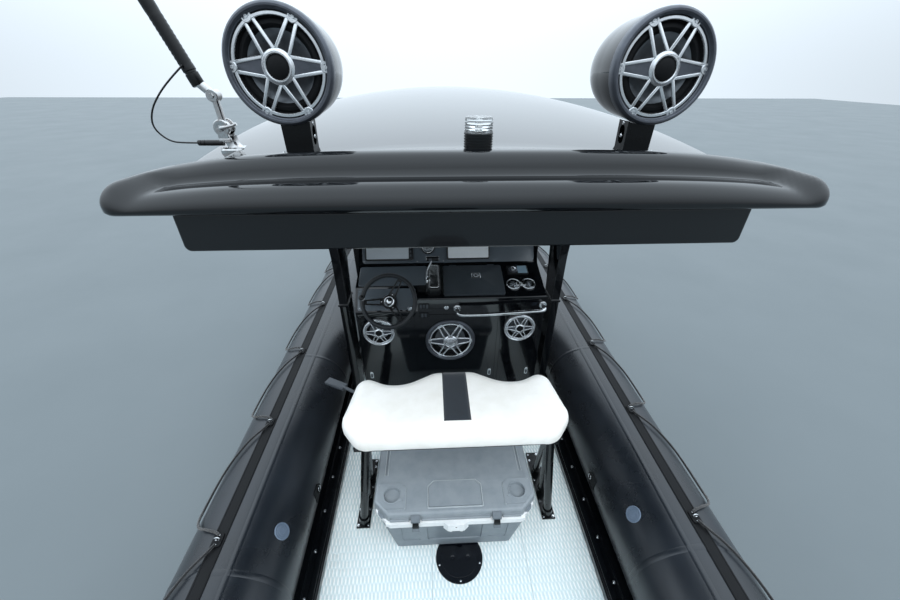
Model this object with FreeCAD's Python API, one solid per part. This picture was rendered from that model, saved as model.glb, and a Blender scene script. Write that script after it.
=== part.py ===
"""Rigid inflatable boat with a deep-vee hull, centre console, hardtop and one outboard engine.

Millimetres. +X is starboard, +Y is the bow, +Z is up. The origin is the middle of the boat at the waterline.
"""
import FreeCAD, Part
import functools
import math
import os

V = FreeCAD.Vector

# Running clearances and seats
SEAT_GAP = 0.3          # a curved or soft face next to its neighbour on another body
GLUE_GAP = 0.3          # the tube's skin next to what is bonded to it

# Inflatable tubes
TUBE_R = 265.0
DECK_HALF_W = 731.0
RAIL_SPAN = 324.0       # from the deck's edge to the tube's centre
TUBE_X = DECK_HALF_W + RAIL_SPAN
TUBE_Z = 410.0          # centre of the straight tube above the water
TUBE_CONE_Y = -3350.0   # where the stern cone starts
CONE_LENGTH = 330.0
CONE_TIP_R = 120.0
BOW_BEND_Y = 1350.0     # where the tube starts to curve inwards
BOW_RISE = 0.25         # rise for each millimetre that the tube comes inwards
BOW_R1 = 4500.0         # first, gentle bend
BOW_TURN1 = 20.0
BOW_TURN2 = 80.0        # heading of the tube where the two sides meet
BOW_OVERRUN = 6.0       # extra turn before the two sides are cut along the middle

# Lifeline and rubbing strake on the tubes
BAND_WIDTH = 60.0
BAND_THICK = 4.0
BAND_ANGLE = 7.0        # outboard of the tube's top
BAND_START_Y = -3250.0
STRAKE_WIDTH = 84.0
STRAKE_THICK = 22.0
STRAKE_ANGLE = 90.0
EYE_PITCH = 655.0
EYE_FIRST_Y = -2805.0
EYE_COUNT = 10
EYE_R = 14.0
EYE_HEIGHT = 20.0
ROPE_R = 6.0
ROPE_STAND_OFF = 14.0   # rope centre above the tube where it lies in straight runs

# Deck and hull
DECK_Z = 150.0
DECK_THICK = 12.0
DECK_BOW_Y = 1950.0
RAIL_TOP = 55.0         # side rail above the deck
RAIL_OUT_X = TUBE_X - 45.0
TRANSOM_Y = -3350.0
TRANSOM_THICK = 60.0
TRANSOM_NOTCH_Z = 300.0
TRANSOM_NOTCH_HALF_W = 370.0
TRANSOM_SHOULDER_Z = 480.0
FOREDECK_Z = 400.0
FOREDECK_TOP = 700.0       # above anything that is kept of the foredeck
FOREDECK_BOW_Y = 3330.0

# Hull stations: y, keel z, chine and its z, top edge and its z; both edges are counted from the tube's centre
HULL_STATIONS = (
    (-3350.0, -380.0, 195.0, -35.0, 45.0, 138.0),
    (-1000.0, -380.0, 195.0, -35.0, 45.0, 138.0),
    (1350.0, -360.0, 205.0, -5.0, 45.0, 138.0),
    (2100.0, -270.0, 295.0, 60.0, 105.0, 138.0),
    (2800.0, -80.0, 535.0, 165.0, 295.0, 215.0),
    (3300.0, 180.0, 845.0, 290.0, 655.0, 320.0),
    (3470.0, 340.0, 995.0, 380.0, 935.0, 400.0),
)
CHINE_FLAT = 34.0

# Inspection plate in the deck
PLATE_R = 129.0
PLATE_THICK = 6.0
PLATE_Y = -1380.0

# Leaning post and its ice chest
SEAT_X = -16.0
SEAT_TOP_Z = 1120.0
SEAT_THICK = 110.0
SEAT_PAN_THICK = 24.0
SEAT_PAN_HALF_W = 470.0
SEAT_PAN_AFT_Y = -1300.0
SEAT_PAN_FRONT_Y = -960.0
LEG_X = 554.0
LEG_TOP_X = 446.0
LEG_PLATE_HALF_W = 39.0
LEG_PLATE_THICK = 10.0
LEG_PLATE_Y = (-1200.0, -745.0)
LEG_FOOT_Y = (-1163.0, -1021.0, -877.0)
LEG_TOP_Y = -1185.0
LEG_R = (22.0, 19.0, 19.0)
CHEST_X = -25.0
CHEST_Y = (-1400.0, -905.0)
CHEST_FOOT_Z = 18.0
CHEST_RIM_Z = 588.0
CHEST_TOP_HALF_W = 385.0
CHEST_BOTTOM_HALF_W = 333.0
CHEST_BOTTOM_Y = (-1316.0, -935.0)
CHEST_WALL = 48.0
CHEST_TRIM = 30.0
CHEST_LID_THICK = 52.0
CHEST_LID_HALF_W = 402.0
CHEST_HINGE = V(0, CHEST_Y[1] + 12.0, CHEST_RIM_Z - 8.0)
CHEST_HINGE_R = 9.0
CHEST_CORNER = 72.0                 # cut off the aft corners of the lid and the trim
LID_PANEL_RISE = (7.0, 5.0)         # middle panel and corner panels over the lid's top
LID_CUP = (315.0, -1302.0, 40.0, 16.0)      # recess in each corner panel: x from the middle, y, radius, depth
LID_GROOVE = (352.0, 6.0, 4.0)      # x from the middle, half width, depth
LID_GROOVE_Y = (-1190.0, -960.0)
# Half outline of the middle panel and outline of a corner panel about its cup: x, y
MIDDLE_PANEL = ((130.0, -1370.0), (130.0, -1270.0), (100.0, -1240.0))
CORNER_PANEL = ((-68.0, -70.0), (26.0, -70.0), (66.0, -30.0), (66.0, 62.0), (-40.0, 62.0), (-68.0, 34.0))
CHEST_HINGE_X = (-250.0, 250.0)     # middles of the lid's two knuckles
KNUCKLE_HALF = 40.0
LATCH_X = (-196.0, 199.0)

# Console
CONSOLE_HALF_W = 605.0
CONSOLE_AFT_Y = -400.0
HELM_X = -212.0         # starboard edge of the helm section
HELM_CHAMFER_Z = 1146.0
DASH_EDGE_Z = 1240.0
DASH_TOP_Y = -110.0
DASH_TOP_Z = 1330.0
RISER_TOP_Y = 20.0
RISER_TOP_Z = 1555.0
CONSOLE_TOP_FRONT = (330.0, 1565.0)
CONSOLE_TOE = (500.0, 560.0)
FRONT_SEAT_HALF_W = 430.0
FRONT_SEAT_Y = 930.0
FRONT_SEAT_Z = 560.0
CUSHION_THICK = 90.0
GLOVE_X = (-45.0, 345.0)
GLOVE_LID_THICK = 14.0
GLOVE_DEPTH = 110.0
GLOVE_HINGE = (7.0, 6.0)    # up the dash from the lid's forward edge, and above the lid's underside
GLOVE_HINGE_R = 5.5
GLOVE_KNUCKLES = ((-150.0, -105.0), (105.0, 150.0))    # the lid's, along the hinge
GLOVE_FIXED = ((-104.0, -59.0), (59.0, 104.0))         # the console's, beside them
GLOVE_HINGE_Y = DASH_TOP_Y - 25.0
CUP_X = (408.0, 506.0)
CUP_Y = -300.0
CUP_R = 41.0
CUP_DEPTH = 75.0
CUP_RING_R = 47.0
SMALL_SPEAKER_R = 104.0
SUBWOOFER_R = 166.0
SPEAKER_THICK = 16.0
SPEAKERS = (            # x, z, radius
    (-471.0, 992.0, SMALL_SPEAKER_R),
    (455.0, 1001.0, SMALL_SPEAKER_R),
    (-4.0, 911.0, SUBWOOFER_R),
)

# Steering wheel
WHEEL_CENTRE = V(-380.0, -465.0, 1268.0)
WHEEL_R = 172.0
WHEEL_RIM_R = 14.0
WHEEL_TILT = 38.0       # the shaft's angle above the horizontal, towards the stern

# Hardtop
ROOF_Y = (-1575.0, 560.0)
ROOF_APEX_Z = 2370.0
ROOF_BOTTOM_Z = 2180.0
ROOF_RIM_Z = 2214.0
ROOF_CROSS_R = 3300.0
ROOF_LONG_R = 11500.0
ROOF_APEX_Y = 0.0
ROOF_AFT_HALF_W = 852.0
LIP_LEDGE_Z = 2244.0    # ledge that runs along the aft edge
LIP_LEDGE_RUN = 70.0
LIP_CREST_Z = 2297.0    # crest ahead of the ledge, on the middle line
LIP_CREST_RUN = 88.0
LIP_CROSS_R = 7300.0    # the crest falls towards the sides
LIP_NOSE = (212.0, 300.0)   # how far in from its ends the crest is rounded down, and the radius
LIP_FADE = 330.0        # from the aft edge to where the lip has sunk into the crown
BOX_X = (-695.0, 660.0)
BOX_Y = (-1555.0, -1170.0)
BOX_Z = (2088.0, 2180.0)
SUPPORT_X = (662.0, 714.0)

# Tower speakers, light and aerial
POD_X = 457.0
POD_FACE_Y = -1360.0
POD_Z = 2462.0
POD_R = 125.0
POD_BARREL = 90.0
POD_CONE = 110.0
POD_TAPER = 0.78
LIGHT_Y = -1405.0
LIGHT_R = 36.0
AERIAL_BASE = V(-735.0, -1080.0, 0.0)
AERIAL_HINGE_UP = V(-20.0, 0, 66.0)     # ratchet's axis from the foot
AERIAL_ARM = 88.0       # from the ratchet's axis up to the knuckle
AERIAL_ARM_R = 11.0
AERIAL_FERRULE = V(-39.0, 0, 37.0)
AERIAL_FERRULE_R = 13.0
AERIAL_KNUCKLE_R = 17.0
AERIAL_GRIP_LENGTH = 330.0
AERIAL_GRIP_R = 18.5
AERIAL_LEAN = 20.0
AERIAL_LENGTH = 2400.0
AERIAL_R = 11.6

# Outboard engine
TILT_Y = -3400.0
TILT_Z = 340.0
TILT_PIN_R = 14.0
KING_Y = -3530.0
KING_R = 30.0
HOUSING_R = 54.0
CLAMP_X = (122.0, 150.0)
COWL_WALL = 6.0
# Cowl sections: z, aft y, forward y, half breadth, corner radius
COWL_SECTIONS = (
    (470.0, -4060.0, -3400.0, 225.0, 90.0),
    (600.0, -4150.0, -3345.0, 278.0, 130.0),
    (860.0, -4185.0, -3342.0, 283.0, 150.0),
    (1040.0, -4140.0, -3400.0, 250.0, 150.0),
    (1130.0, -4010.0, -3540.0, 150.0, 100.0),
)
PAN_SECTION = (398.0, -4020.0, -3445.0, 150.0, 60.0)
POWERHEAD_HALF_W = 190.0
POWERHEAD_Y = (-4000.0, -3505.0)
POWERHEAD_TOP = 960.0
PLATE_AV_Z = -345.0
PROP_Z = -560.0
GEARCASE_R = 64.0
GEARCASE_Y = (-3960.0, -3480.0)
PROP_R = 200.0
PROP_HUB_R = 58.0
PROP_HUB_LENGTH = 125.0
SKEG_Z = -820.0

# Small helpers


def box(x, y, z):
    """Block between the low and high values of each axis."""
    return Part.makeBox(x[1] - x[0], y[1] - y[0], z[1] - z[0], V(x[0], y[0], z[0]))


def rod(start, end, radius):
    """Round bar between two points."""
    run = end - start
    return Part.makeCylinder(radius, run.Length, start, run)


def disc(centre, axis, radius, thick):
    """Flat round piece that starts at centre and grows along axis."""
    return Part.makeCylinder(radius, thick, centre, axis)


def mirrored(shape):
    """The same shape on the other side of the boat."""
    return shape.mirror(V(0, 0, 0), V(1, 0, 0))


def outline(corners):
    """Closed wire in the XY plane through corners (u, v, radius), each rounded by its radius."""
    count = len(corners)
    entry = []
    middle = []
    leave = []
    for i, (u, v, radius) in enumerate(corners):
        corner = V(u, v, 0)
        back = (V(corners[i - 1][0], corners[i - 1][1], 0) - corner).normalize()
        ahead = (V(corners[(i + 1) % count][0], corners[(i + 1) % count][1], 0) - corner).normalize()
        half = back.getAngle(ahead) / 2
        run = radius / math.tan(half)
        entry.append(corner + back * run)
        leave.append(corner + ahead * run)
        bisector = (back + ahead)
        if radius > 0:
            bisector.normalize()
            middle.append(corner + bisector * (radius / math.sin(half) - radius))
        else:
            middle.append(None)
    edges = []
    for i in range(count):
        start = leave[i - 1]
        if (entry[i] - start).Length > 0.001:
            edges.append(Part.LineSegment(start, entry[i]).toShape())
        if middle[i] is not None:
            edges.append(Part.Arc(entry[i], middle[i], leave[i]).toShape())
    return Part.Wire(edges)


PLANES = {              # turns that take (u, v) to (y, z), (x, z) or (x, y)
    "x": FreeCAD.Matrix(0, 0, 1, 0, 1, 0, 0, 0, 0, 1, 0, 0, 0, 0, 0, 1),
    "y": FreeCAD.Matrix(1, 0, 0, 0, 0, 0, -1, 0, 0, 1, 0, 0, 0, 0, 0, 1),
    "z": FreeCAD.Matrix(1, 0, 0, 0, 0, 1, 0, 0, 0, 0, 1, 0, 0, 0, 0, 1),
}
AXES = {"x": V(1, 0, 0), "y": V(0, 1, 0), "z": V(0, 0, 1)}


def prism(corners, axis, low, high):
    """Rounded outline pushed along an axis; (u, v) is (y, z), (x, z) or (x, y)."""
    corners = [c if len(c) == 3 else (c[0], c[1], 0.0) for c in corners]
    wire = outline(corners)
    wire.Placement = FreeCAD.Placement(PLANES[axis])
    face = Part.Face(wire)
    face.translate(AXES[axis] * low)
    return face.extrude(AXES[axis] * (high - low))


def joined(shapes):
    """One solid out of pieces that overlap or share a face."""
    return shapes[0].multiFuse(shapes[1:]).removeSplitter()


def round_edges(shape, radius, wanted):
    """Fillet of the edges that wanted(edge) picks."""
    return shape.makeFillet(radius, [edge for edge in shape.Edges if wanted(edge)])


# Path of the tube's centre line: straight, a gentle bend and a tight bend in one tilted plane
INWARDS = V(-1, 0, BOW_RISE).normalize()
BEND_AXIS = V(BOW_RISE, 0, 1).normalize()
BEND_START = V(TUBE_X, BOW_BEND_Y, TUBE_Z)
BEND_CENTRE1 = BEND_START + INWARDS * BOW_R1


def turned(point, centre, degrees):
    """A point turned about the bend axis through centre."""
    return centre + FreeCAD.Rotation(BEND_AXIS, degrees).multVec(point - centre)


BEND_MIDDLE = turned(BEND_START, BEND_CENTRE1, BOW_TURN1)
INWARD_SPAN = TUBE_X * math.sqrt(1 + BOW_RISE ** 2)
INWARD_LEFT = INWARD_SPAN - BOW_R1 * (1 - math.cos(math.radians(BOW_TURN1)))
BOW_R2 = INWARD_LEFT / (math.cos(math.radians(BOW_TURN1)) - math.cos(math.radians(BOW_TURN2)))
BEND_CENTRE2 = BEND_MIDDLE + (BEND_CENTRE1 - BEND_MIDDLE).normalize() * BOW_R2
BEND1_LENGTH = BOW_R1 * math.radians(BOW_TURN1)


def tube_station(y):
    """Centre and heading (degrees) of the tube, y counted along its centre line."""
    along = y - BOW_BEND_Y
    if along <= 0:
        return V(TUBE_X, y, TUBE_Z), 0.0
    if along <= BEND1_LENGTH:
        heading = math.degrees(along / BOW_R1)
        return turned(BEND_START, BEND_CENTRE1, heading), heading
    extra = math.degrees((along - BEND1_LENGTH) / BOW_R2)
    return turned(BEND_MIDDLE, BEND_CENTRE2, extra), BOW_TURN1 + extra


def tube_point(y, angle, radius):
    """Point at a radius from the tube's centre line, angle outboard of its top."""
    centre, heading = tube_station(y)
    turn = FreeCAD.Rotation(BEND_AXIS, heading)
    reach = V(math.sin(math.radians(angle)), 0, math.cos(math.radians(angle))) * radius
    return centre + turn.multVec(reach)


def along_tube(section, start_y):
    """Solid from a face in the tube's cross plane, carried along the whole starboard tube."""
    face = section.copy()
    face.translate(V(TUBE_X, start_y, TUBE_Z))
    straight = face.extrude(V(0, BOW_BEND_Y - start_y, 0))
    face.translate(V(0, BOW_BEND_Y - start_y, 0))
    bend1 = face.revolve(BEND_CENTRE1, BEND_AXIS, BOW_TURN1)
    face.rotate(BEND_CENTRE1, BEND_AXIS, BOW_TURN1)
    bend2 = face.revolve(BEND_CENTRE2, BEND_AXIS, BOW_TURN2 + BOW_OVERRUN - BOW_TURN1)
    port_side = box((-900.0, 0.0), (2500.0, 4500.0), (0.0, 1600.0))
    return joined([straight, bend1, bend2]).cut(port_side)


def cross_disc(radius):
    """Round face in the tube's cross plane."""
    return Part.Face(Part.Wire(Part.makeCircle(radius, V(0, 0, 0), V(0, 1, 0))))


def cross_strip(inner, outer, angle, width):
    """Curved strip in the tube's cross plane, centred at angle outboard of the top."""
    half = math.degrees(width / 2 / inner)
    points = []
    for radius, angles in ((inner, (-half, 0, half)), (outer, (half, 0, -half))):
        for step in angles:
            turn = math.radians(angle + step)
            points.append(V(math.sin(turn), 0, math.cos(turn)) * radius)
    edges = (
        Part.Arc(points[0], points[1], points[2]),
        Part.LineSegment(points[2], points[3]),
        Part.Arc(points[3], points[4], points[5]),
        Part.LineSegment(points[5], points[0]),
    )
    return Part.Face(Part.Wire([edge.toShape() for edge in edges]))


# Tubes and what is bonded to them


def tube():
    """Starboard tube with its stern cone."""
    body = along_tube(cross_disc(TUBE_R), TUBE_CONE_Y)
    tip_y = TUBE_CONE_Y - CONE_LENGTH
    cone = Part.makeCone(CONE_TIP_R, TUBE_R, CONE_LENGTH, V(TUBE_X, tip_y, TUBE_Z), V(0, 1, 0))
    cap_depth = CONE_TIP_R * 0.35
    cap_r = (CONE_TIP_R ** 2 + cap_depth ** 2) / (2 * cap_depth)
    ball = Part.makeSphere(cap_r, V(TUBE_X, tip_y - cap_depth + cap_r, TUBE_Z))
    cap = ball.common(Part.makeCylinder(CONE_TIP_R, cap_depth, V(TUBE_X, tip_y - cap_depth, TUBE_Z),
                                        V(0, 1, 0)))
    return joined([body, cone, cap])


@functools.lru_cache
def tube_tool():
    """Room for the starboard tube, with the glue line all round."""
    return along_tube(cross_disc(TUBE_R + GLUE_GAP), TRANSOM_Y - 200.0)


def lifeline_band():
    """Reinforcing strip along the tube's top, under the lifeline."""
    inner = TUBE_R + GLUE_GAP
    return along_tube(cross_strip(inner, inner + BAND_THICK, BAND_ANGLE, BAND_WIDTH), BAND_START_Y)


def rub_strake():
    """Rubbing strake along the tube's outer side."""
    inner = TUBE_R + GLUE_GAP
    outer = inner + STRAKE_THICK
    broad = cross_strip(inner, inner + STRAKE_THICK * 0.45, STRAKE_ANGLE, STRAKE_WIDTH)
    narrow = cross_strip(inner, outer, STRAKE_ANGLE, STRAKE_WIDTH * 0.5)
    return joined([along_tube(broad, BAND_START_Y), along_tube(narrow, BAND_START_Y)])


EYE_BASE = TUBE_R + GLUE_GAP + BAND_THICK
EYE_YS = [EYE_FIRST_Y + EYE_PITCH * i for i in range(EYE_COUNT)]

# One scallop of the lifeline: share of the pitch, degrees outboard of the top, extra height
SCALLOP = (
    (0.0, BAND_ANGLE, 0.0),
    (0.05, 22.0, 3.0),
    (0.11, 39.0, 3.0),
    (0.27, 56.0, 3.0),
    (0.55, 47.0, 3.0),
    (0.80, 27.0, 3.0),
    (1.0, BAND_ANGLE, 0.0),
)


def smooth_rope(points, radius, report=False):
    """Round bar along straight runs with tangent arcs; report prints its bend radii and volume."""
    edges = []
    bends = []
    start = points[0]
    for i in range(1, len(points) - 1):
        back = points[i - 1] - points[i]
        ahead = points[i + 1] - points[i]
        half = back.getAngle(ahead) / 2
        run = 0.45 * min(back.Length, ahead.Length)
        entry = points[i] + back.normalize() * run
        leave = points[i] + ahead.normalize() * run
        bend = run * math.tan(half)
        bends.append(round(bend, 1))
        bisector = (back + ahead).normalize()
        middle = points[i] + bisector * (bend / math.sin(half) - bend)
        edges.append(Part.LineSegment(start, entry).toShape())
        edges.append(Part.Arc(entry, middle, leave).toShape())
        start = leave
    edges.append(Part.LineSegment(start, points[-1]).toShape())
    path = Part.Wire(edges)
    heading = edges[0].tangentAt(edges[0].FirstParameter)
    section = Part.Wire(Part.makeCircle(radius, points[0], heading))
    bar = path.makePipeShell([section], True, True)
    if report:
        print("bend radii", bends, "length", round(path.Length, 1), "volume", round(bar.Volume),
              "section x length", round(math.pi * radius ** 2 * path.Length))
    return bar


def scallop_points(y):
    """Route of the rope from the eye at y to the next one."""
    inset = EYE_R + SEAT_GAP + ROPE_R
    points = []
    for share, angle, lift in SCALLOP:
        place = y + inset + (EYE_PITCH - 2 * inset) * share
        points.append(tube_point(place, angle, TUBE_R + ROPE_STAND_OFF + lift))
    return points


def lifeline():
    """Rope scallops along the starboard tube."""
    return Part.makeCompound([smooth_rope(scallop_points(y), ROPE_R) for y in EYE_YS[:-1]])


def lifeline_eyes():
    """Fittings that hold the lifeline, both sides."""
    eyes = []
    for y in EYE_YS:
        foot = tube_point(y, BAND_ANGLE, EYE_BASE + SEAT_GAP)
        head = tube_point(y, BAND_ANGLE, EYE_BASE + SEAT_GAP + EYE_HEIGHT)
        eye = rod(foot, head, EYE_R)
        eyes += [eye, mirrored(eye)]
    return Part.makeCompound(eyes)


def tube_patches(rows):
    """Round fittings on the tube: y, degrees from the top, radius, thickness."""
    patches = []
    for y, angle, radius, thick in rows:
        foot = tube_point(y, angle, math.sqrt(TUBE_R ** 2 - radius ** 2))
        head = tube_point(y, angle, TUBE_R + thick)
        patch = rod(foot, head, radius).cut(rod(
            tube_point(y - radius * 2, 0, 0), tube_point(y + radius * 2, 0, 0), TUBE_R + GLUE_GAP))
        patches += [patch, mirrored(patch)]
    return Part.makeCompound(patches)


# Hull and deck


def hull_section(station):
    """Closed wire of one hull station."""
    y, keel_z, chine_in, chine_z, top_in, top_z = station
    chine_x = TUBE_X - chine_in
    top_x = TUBE_X - top_in
    half = (
        (0.0, keel_z),
        (chine_x, chine_z),
        (chine_x + CHINE_FLAT, chine_z + CHINE_FLAT * 0.1),
        (top_x, top_z),
    )
    points = [V(x, y, z) for x, z in half]
    points += [V(-x, y, z) for x, z in reversed(half[1:])]
    return Part.makePolygon(points + [points[0]])


@functools.lru_cache
def hull_body():
    """The hull before room is made for the tubes."""
    return Part.makeLoft([hull_section(s) for s in HULL_STATIONS], True, True)


def cut_for_tubes(shape):
    """A shape without the room that both tubes take."""
    room = tube_tool()
    return shape.cut(room).cut(mirrored(room))


def largest(shape):
    """The largest solid of a cut."""
    return max(shape.Solids, key=lambda solid: solid.Volume)


def hull():
    """Deep-vee hull, solid under its deck."""
    return cut_for_tubes(hull_body())


def deck_sheet():
    """Non-skid deck between the side rails."""
    return box((-DECK_HALF_W, DECK_HALF_W), (TRANSOM_Y + TRANSOM_THICK, DECK_BOW_Y),
               (DECK_Z - DECK_THICK, DECK_Z))


@functools.lru_cache
def side_rail():
    """Ridged rail between the deck and the starboard tube."""
    bottom = DECK_Z - DECK_THICK
    top = DECK_Z + RAIL_TOP
    groove = 8.0
    section = (
        (DECK_HALF_W, bottom),
        (DECK_HALF_W, top - 18.0),
        (DECK_HALF_W + 12.0, top - 18.0),
        (DECK_HALF_W + 16.0, top),
        (DECK_HALF_W + 44.0, top),
        (DECK_HALF_W + 48.0, top - groove),
        (DECK_HALF_W + 74.0, top - groove),
        (DECK_HALF_W + 78.0, top),
        (RAIL_OUT_X, top),
        (RAIL_OUT_X, bottom),
    )
    return prism(section, "y", TRANSOM_Y, DECK_BOW_Y).cut(tube_tool())


@functools.lru_cache
def foredeck():
    """Raised bow step and locker between the tubes, on the hull's own top."""
    sections = []
    for y, _, _, _, top_in, top_z in HULL_STATIONS[2:]:
        top_x = TUBE_X - top_in
        points = [V(-top_x, y, top_z), V(top_x, y, top_z), V(top_x, y, FOREDECK_TOP),
                  V(-top_x, y, FOREDECK_TOP)]
        sections.append(Part.makePolygon(points + [points[0]]))
    over_hull = Part.makeLoft(sections, True, True)
    reach = box((-RAIL_OUT_X, RAIL_OUT_X), (DECK_BOW_Y, FOREDECK_BOW_Y), (0.0, FOREDECK_Z))
    return largest(cut_for_tubes(over_hull.common(reach)))


def transom():
    """Transom board with its engine notch and two raised shoulders."""
    low = DECK_Z - DECK_THICK
    half = RAIL_OUT_X
    notch = TRANSOM_NOTCH_HALF_W
    corners = (
        (-half, low, 0.0), (half, low, 0.0), (half, TRANSOM_SHOULDER_Z, 0.0),
        (notch + 90.0, TRANSOM_SHOULDER_Z, 60.0), (notch, TRANSOM_NOTCH_Z, 40.0),
        (-notch, TRANSOM_NOTCH_Z, 40.0), (-notch - 90.0, TRANSOM_SHOULDER_Z, 60.0),
        (-half, TRANSOM_SHOULDER_Z, 0.0),
    )
    board = prism(corners, "y", TRANSOM_Y, TRANSOM_Y + TRANSOM_THICK)
    rails = side_rail()
    return largest(cut_for_tubes(board).cut(rails).cut(mirrored(rails)))


STEM_EYE_Z = 120.0
STERN_EYE_X = 600.0
STERN_EYE_Z = 60.0        # below the tubes, so that a long pin goes in from the side
EYE_BORE_R = 12.0
LUG_THICK = 14.0


def bow_eye():
    """Towing eye on the stem."""
    reach = 62.0
    y = 3190.0
    corners = ((y - 110.0, STEM_EYE_Z - 20.0, 0.0), (y + reach, STEM_EYE_Z - 30.0, 26.0),
               (y + reach, STEM_EYE_Z + 30.0, 26.0), (y - 20.0, STEM_EYE_Z + 90.0, 0.0))
    lug = prism(corners, "x", -LUG_THICK / 2, LUG_THICK / 2)
    bore = Part.makeCylinder(EYE_BORE_R, LUG_THICK * 2, V(-LUG_THICK, y + reach - 30.0, STEM_EYE_Z),
                             V(1, 0, 0))
    return largest(lug.cut(hull_body()).cut(foredeck())).cut(bore)


def stern_eyes():
    """Two lifting eyes on the hull's aft face."""
    lugs = []
    y = TRANSOM_Y
    z = STERN_EYE_Z
    for x in (-STERN_EYE_X, STERN_EYE_X):
        corners = ((y, z - 50.0, 0.0), (y, z + 50.0, 0.0), (y - 58.0, z + 28.0, 26.0),
                   (y - 58.0, z - 28.0, 26.0))
        lug = prism(corners, "x", x - LUG_THICK / 2, x + LUG_THICK / 2)
        bore = Part.makeCylinder(EYE_BORE_R, LUG_THICK * 2, V(x - LUG_THICK, y - 32.0, z), V(1, 0, 0))
        lugs.append(lug.cut(bore))
    return Part.makeCompound(lugs)


def inspection_plate():
    """Round screwed-down plate in the deck."""
    return disc(V(0, PLATE_Y, DECK_Z), V(0, 0, 1), PLATE_R, PLATE_THICK)


# Leaning post and ice chest

SEAT_BOTTOM_Z = SEAT_TOP_Z - SEAT_THICK
PAN_BOTTOM_Z = SEAT_BOTTOM_Z - SEAT_GAP - SEAT_PAN_THICK


def post_frame():
    """Tubular legs, base plates and the pan under the seat."""
    pieces = [box((SEAT_X - SEAT_PAN_HALF_W, SEAT_X + SEAT_PAN_HALF_W), (SEAT_PAN_AFT_Y, SEAT_PAN_FRONT_Y),
                  (PAN_BOTTOM_Z, PAN_BOTTOM_Z + SEAT_PAN_THICK))]
    for side in (-1, 1):
        foot_x = side * LEG_X
        top = V(side * LEG_TOP_X, LEG_TOP_Y, PAN_BOTTOM_Z + 8.0)
        pieces.append(box((foot_x - LEG_PLATE_HALF_W, foot_x + LEG_PLATE_HALF_W), LEG_PLATE_Y,
                          (DECK_Z, DECK_Z + LEG_PLATE_THICK)))
        for foot_y, radius in zip(LEG_FOOT_Y, LEG_R):
            foot = V(foot_x, foot_y, DECK_Z + LEG_PLATE_THICK * 0.5)
            pieces.append(rod(foot, top, radius))
            collar_top = foot + (top - foot).normalize() * 60.0
            pieces.append(rod(foot, collar_top, radius + 7.0))
    frame = joined(pieces)
    below = box((-900.0, 900.0), (-1500.0, -600.0), (DECK_Z - 80.0, DECK_Z))
    above = box((-900.0, 900.0), (-1500.0, -600.0), (PAN_BOTTOM_Z + SEAT_PAN_THICK, PAN_BOTTOM_Z + 120.0))
    return frame.cut(below).cut(above)


def seat_cushion():
    """Bench cushion with two dips in its forward edge."""
    half = (
        (455.0, -1345.0, 100.0), (545.0, -1230.0, 90.0), (500.0, -915.0, 70.0), (285.0, -1002.0, 200.0),
        (105.0, -900.0, 120.0),
    )
    corners = [(SEAT_X + x, y, r) for x, y, r in half]
    corners += [(SEAT_X - x, y, r) for x, y, r in reversed(half)]
    pad = prism(corners, "z", SEAT_BOTTOM_Z, SEAT_TOP_Z)
    return pad


def seat_handle():
    """Grey lever at the cushion's port forward corner."""
    start = V(SEAT_X - 452.0, -985.0, PAN_BOTTOM_Z + 10.0)
    elbow = V(SEAT_X - 600.0, -890.0, PAN_BOTTOM_Z + 10.0)
    stem = rod(start, elbow, 9.0)
    blade = Part.makeBox(120.0, 42.0, 14.0, V(-100.0, -21.0, -7.0))
    blade.rotate(V(0, 0, 0), V(0, 0, 1), -28.0)
    blade.translate(elbow)
    pan = box((SEAT_X - SEAT_PAN_HALF_W, SEAT_X), (SEAT_PAN_AFT_Y, SEAT_PAN_FRONT_Y),
              (PAN_BOTTOM_Z, SEAT_TOP_Z))
    return largest(joined([stem, blade]).cut(pan))


def frustum(low, high):
    """Tapered block between two rectangles (x0, x1, y0, y1, z)."""
    wires = []
    for x0, x1, y0, y1, z in (low, high):
        points = [V(x0, y0, z), V(x1, y0, z), V(x1, y1, z), V(x0, y1, z)]
        wires.append(Part.makePolygon(points + [points[0]]))
    return Part.makeLoft(wires, True, True)


def chest_outer():
    """Outer form of the ice chest's box."""
    outer = frustum(
        (CHEST_X - CHEST_BOTTOM_HALF_W, CHEST_X + CHEST_BOTTOM_HALF_W, CHEST_BOTTOM_Y[0], CHEST_BOTTOM_Y[1],
         DECK_Z + CHEST_FOOT_Z),
        (CHEST_X - CHEST_TOP_HALF_W, CHEST_X + CHEST_TOP_HALF_W, CHEST_Y[0] + 14.0, CHEST_Y[1] - 6.0,
         CHEST_RIM_Z))
    return round_edges(outer, 38.0, lambda e: abs(e.BoundBox.ZLength) > 100)


def chest_body():
    """Insulated box of the ice chest, open at the top."""
    base_z = DECK_Z + CHEST_FOOT_Z
    outer = chest_outer()
    room = frustum(
        (CHEST_X - CHEST_BOTTOM_HALF_W + CHEST_WALL, CHEST_X + CHEST_BOTTOM_HALF_W - CHEST_WALL,
         CHEST_BOTTOM_Y[0] + CHEST_WALL, CHEST_BOTTOM_Y[1] - CHEST_WALL, base_z + CHEST_WALL),
        (CHEST_X - CHEST_TOP_HALF_W + CHEST_WALL, CHEST_X + CHEST_TOP_HALF_W - CHEST_WALL,
         CHEST_Y[0] + 14.0 + CHEST_WALL, CHEST_Y[1] - 6.0 - CHEST_WALL, CHEST_RIM_Z + 1.0))
    feet = []
    for sx in (-1, 1):
        for y in (CHEST_BOTTOM_Y[0] + 55.0, CHEST_BOTTOM_Y[1] - 55.0):
            x = CHEST_X + sx * (CHEST_BOTTOM_HALF_W - 75.0)
            feet.append(box((x - 60.0, x + 60.0), (y - 45.0, y + 45.0), (DECK_Z, base_z)))
    return joined([outer.cut(room)] + feet)


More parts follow.
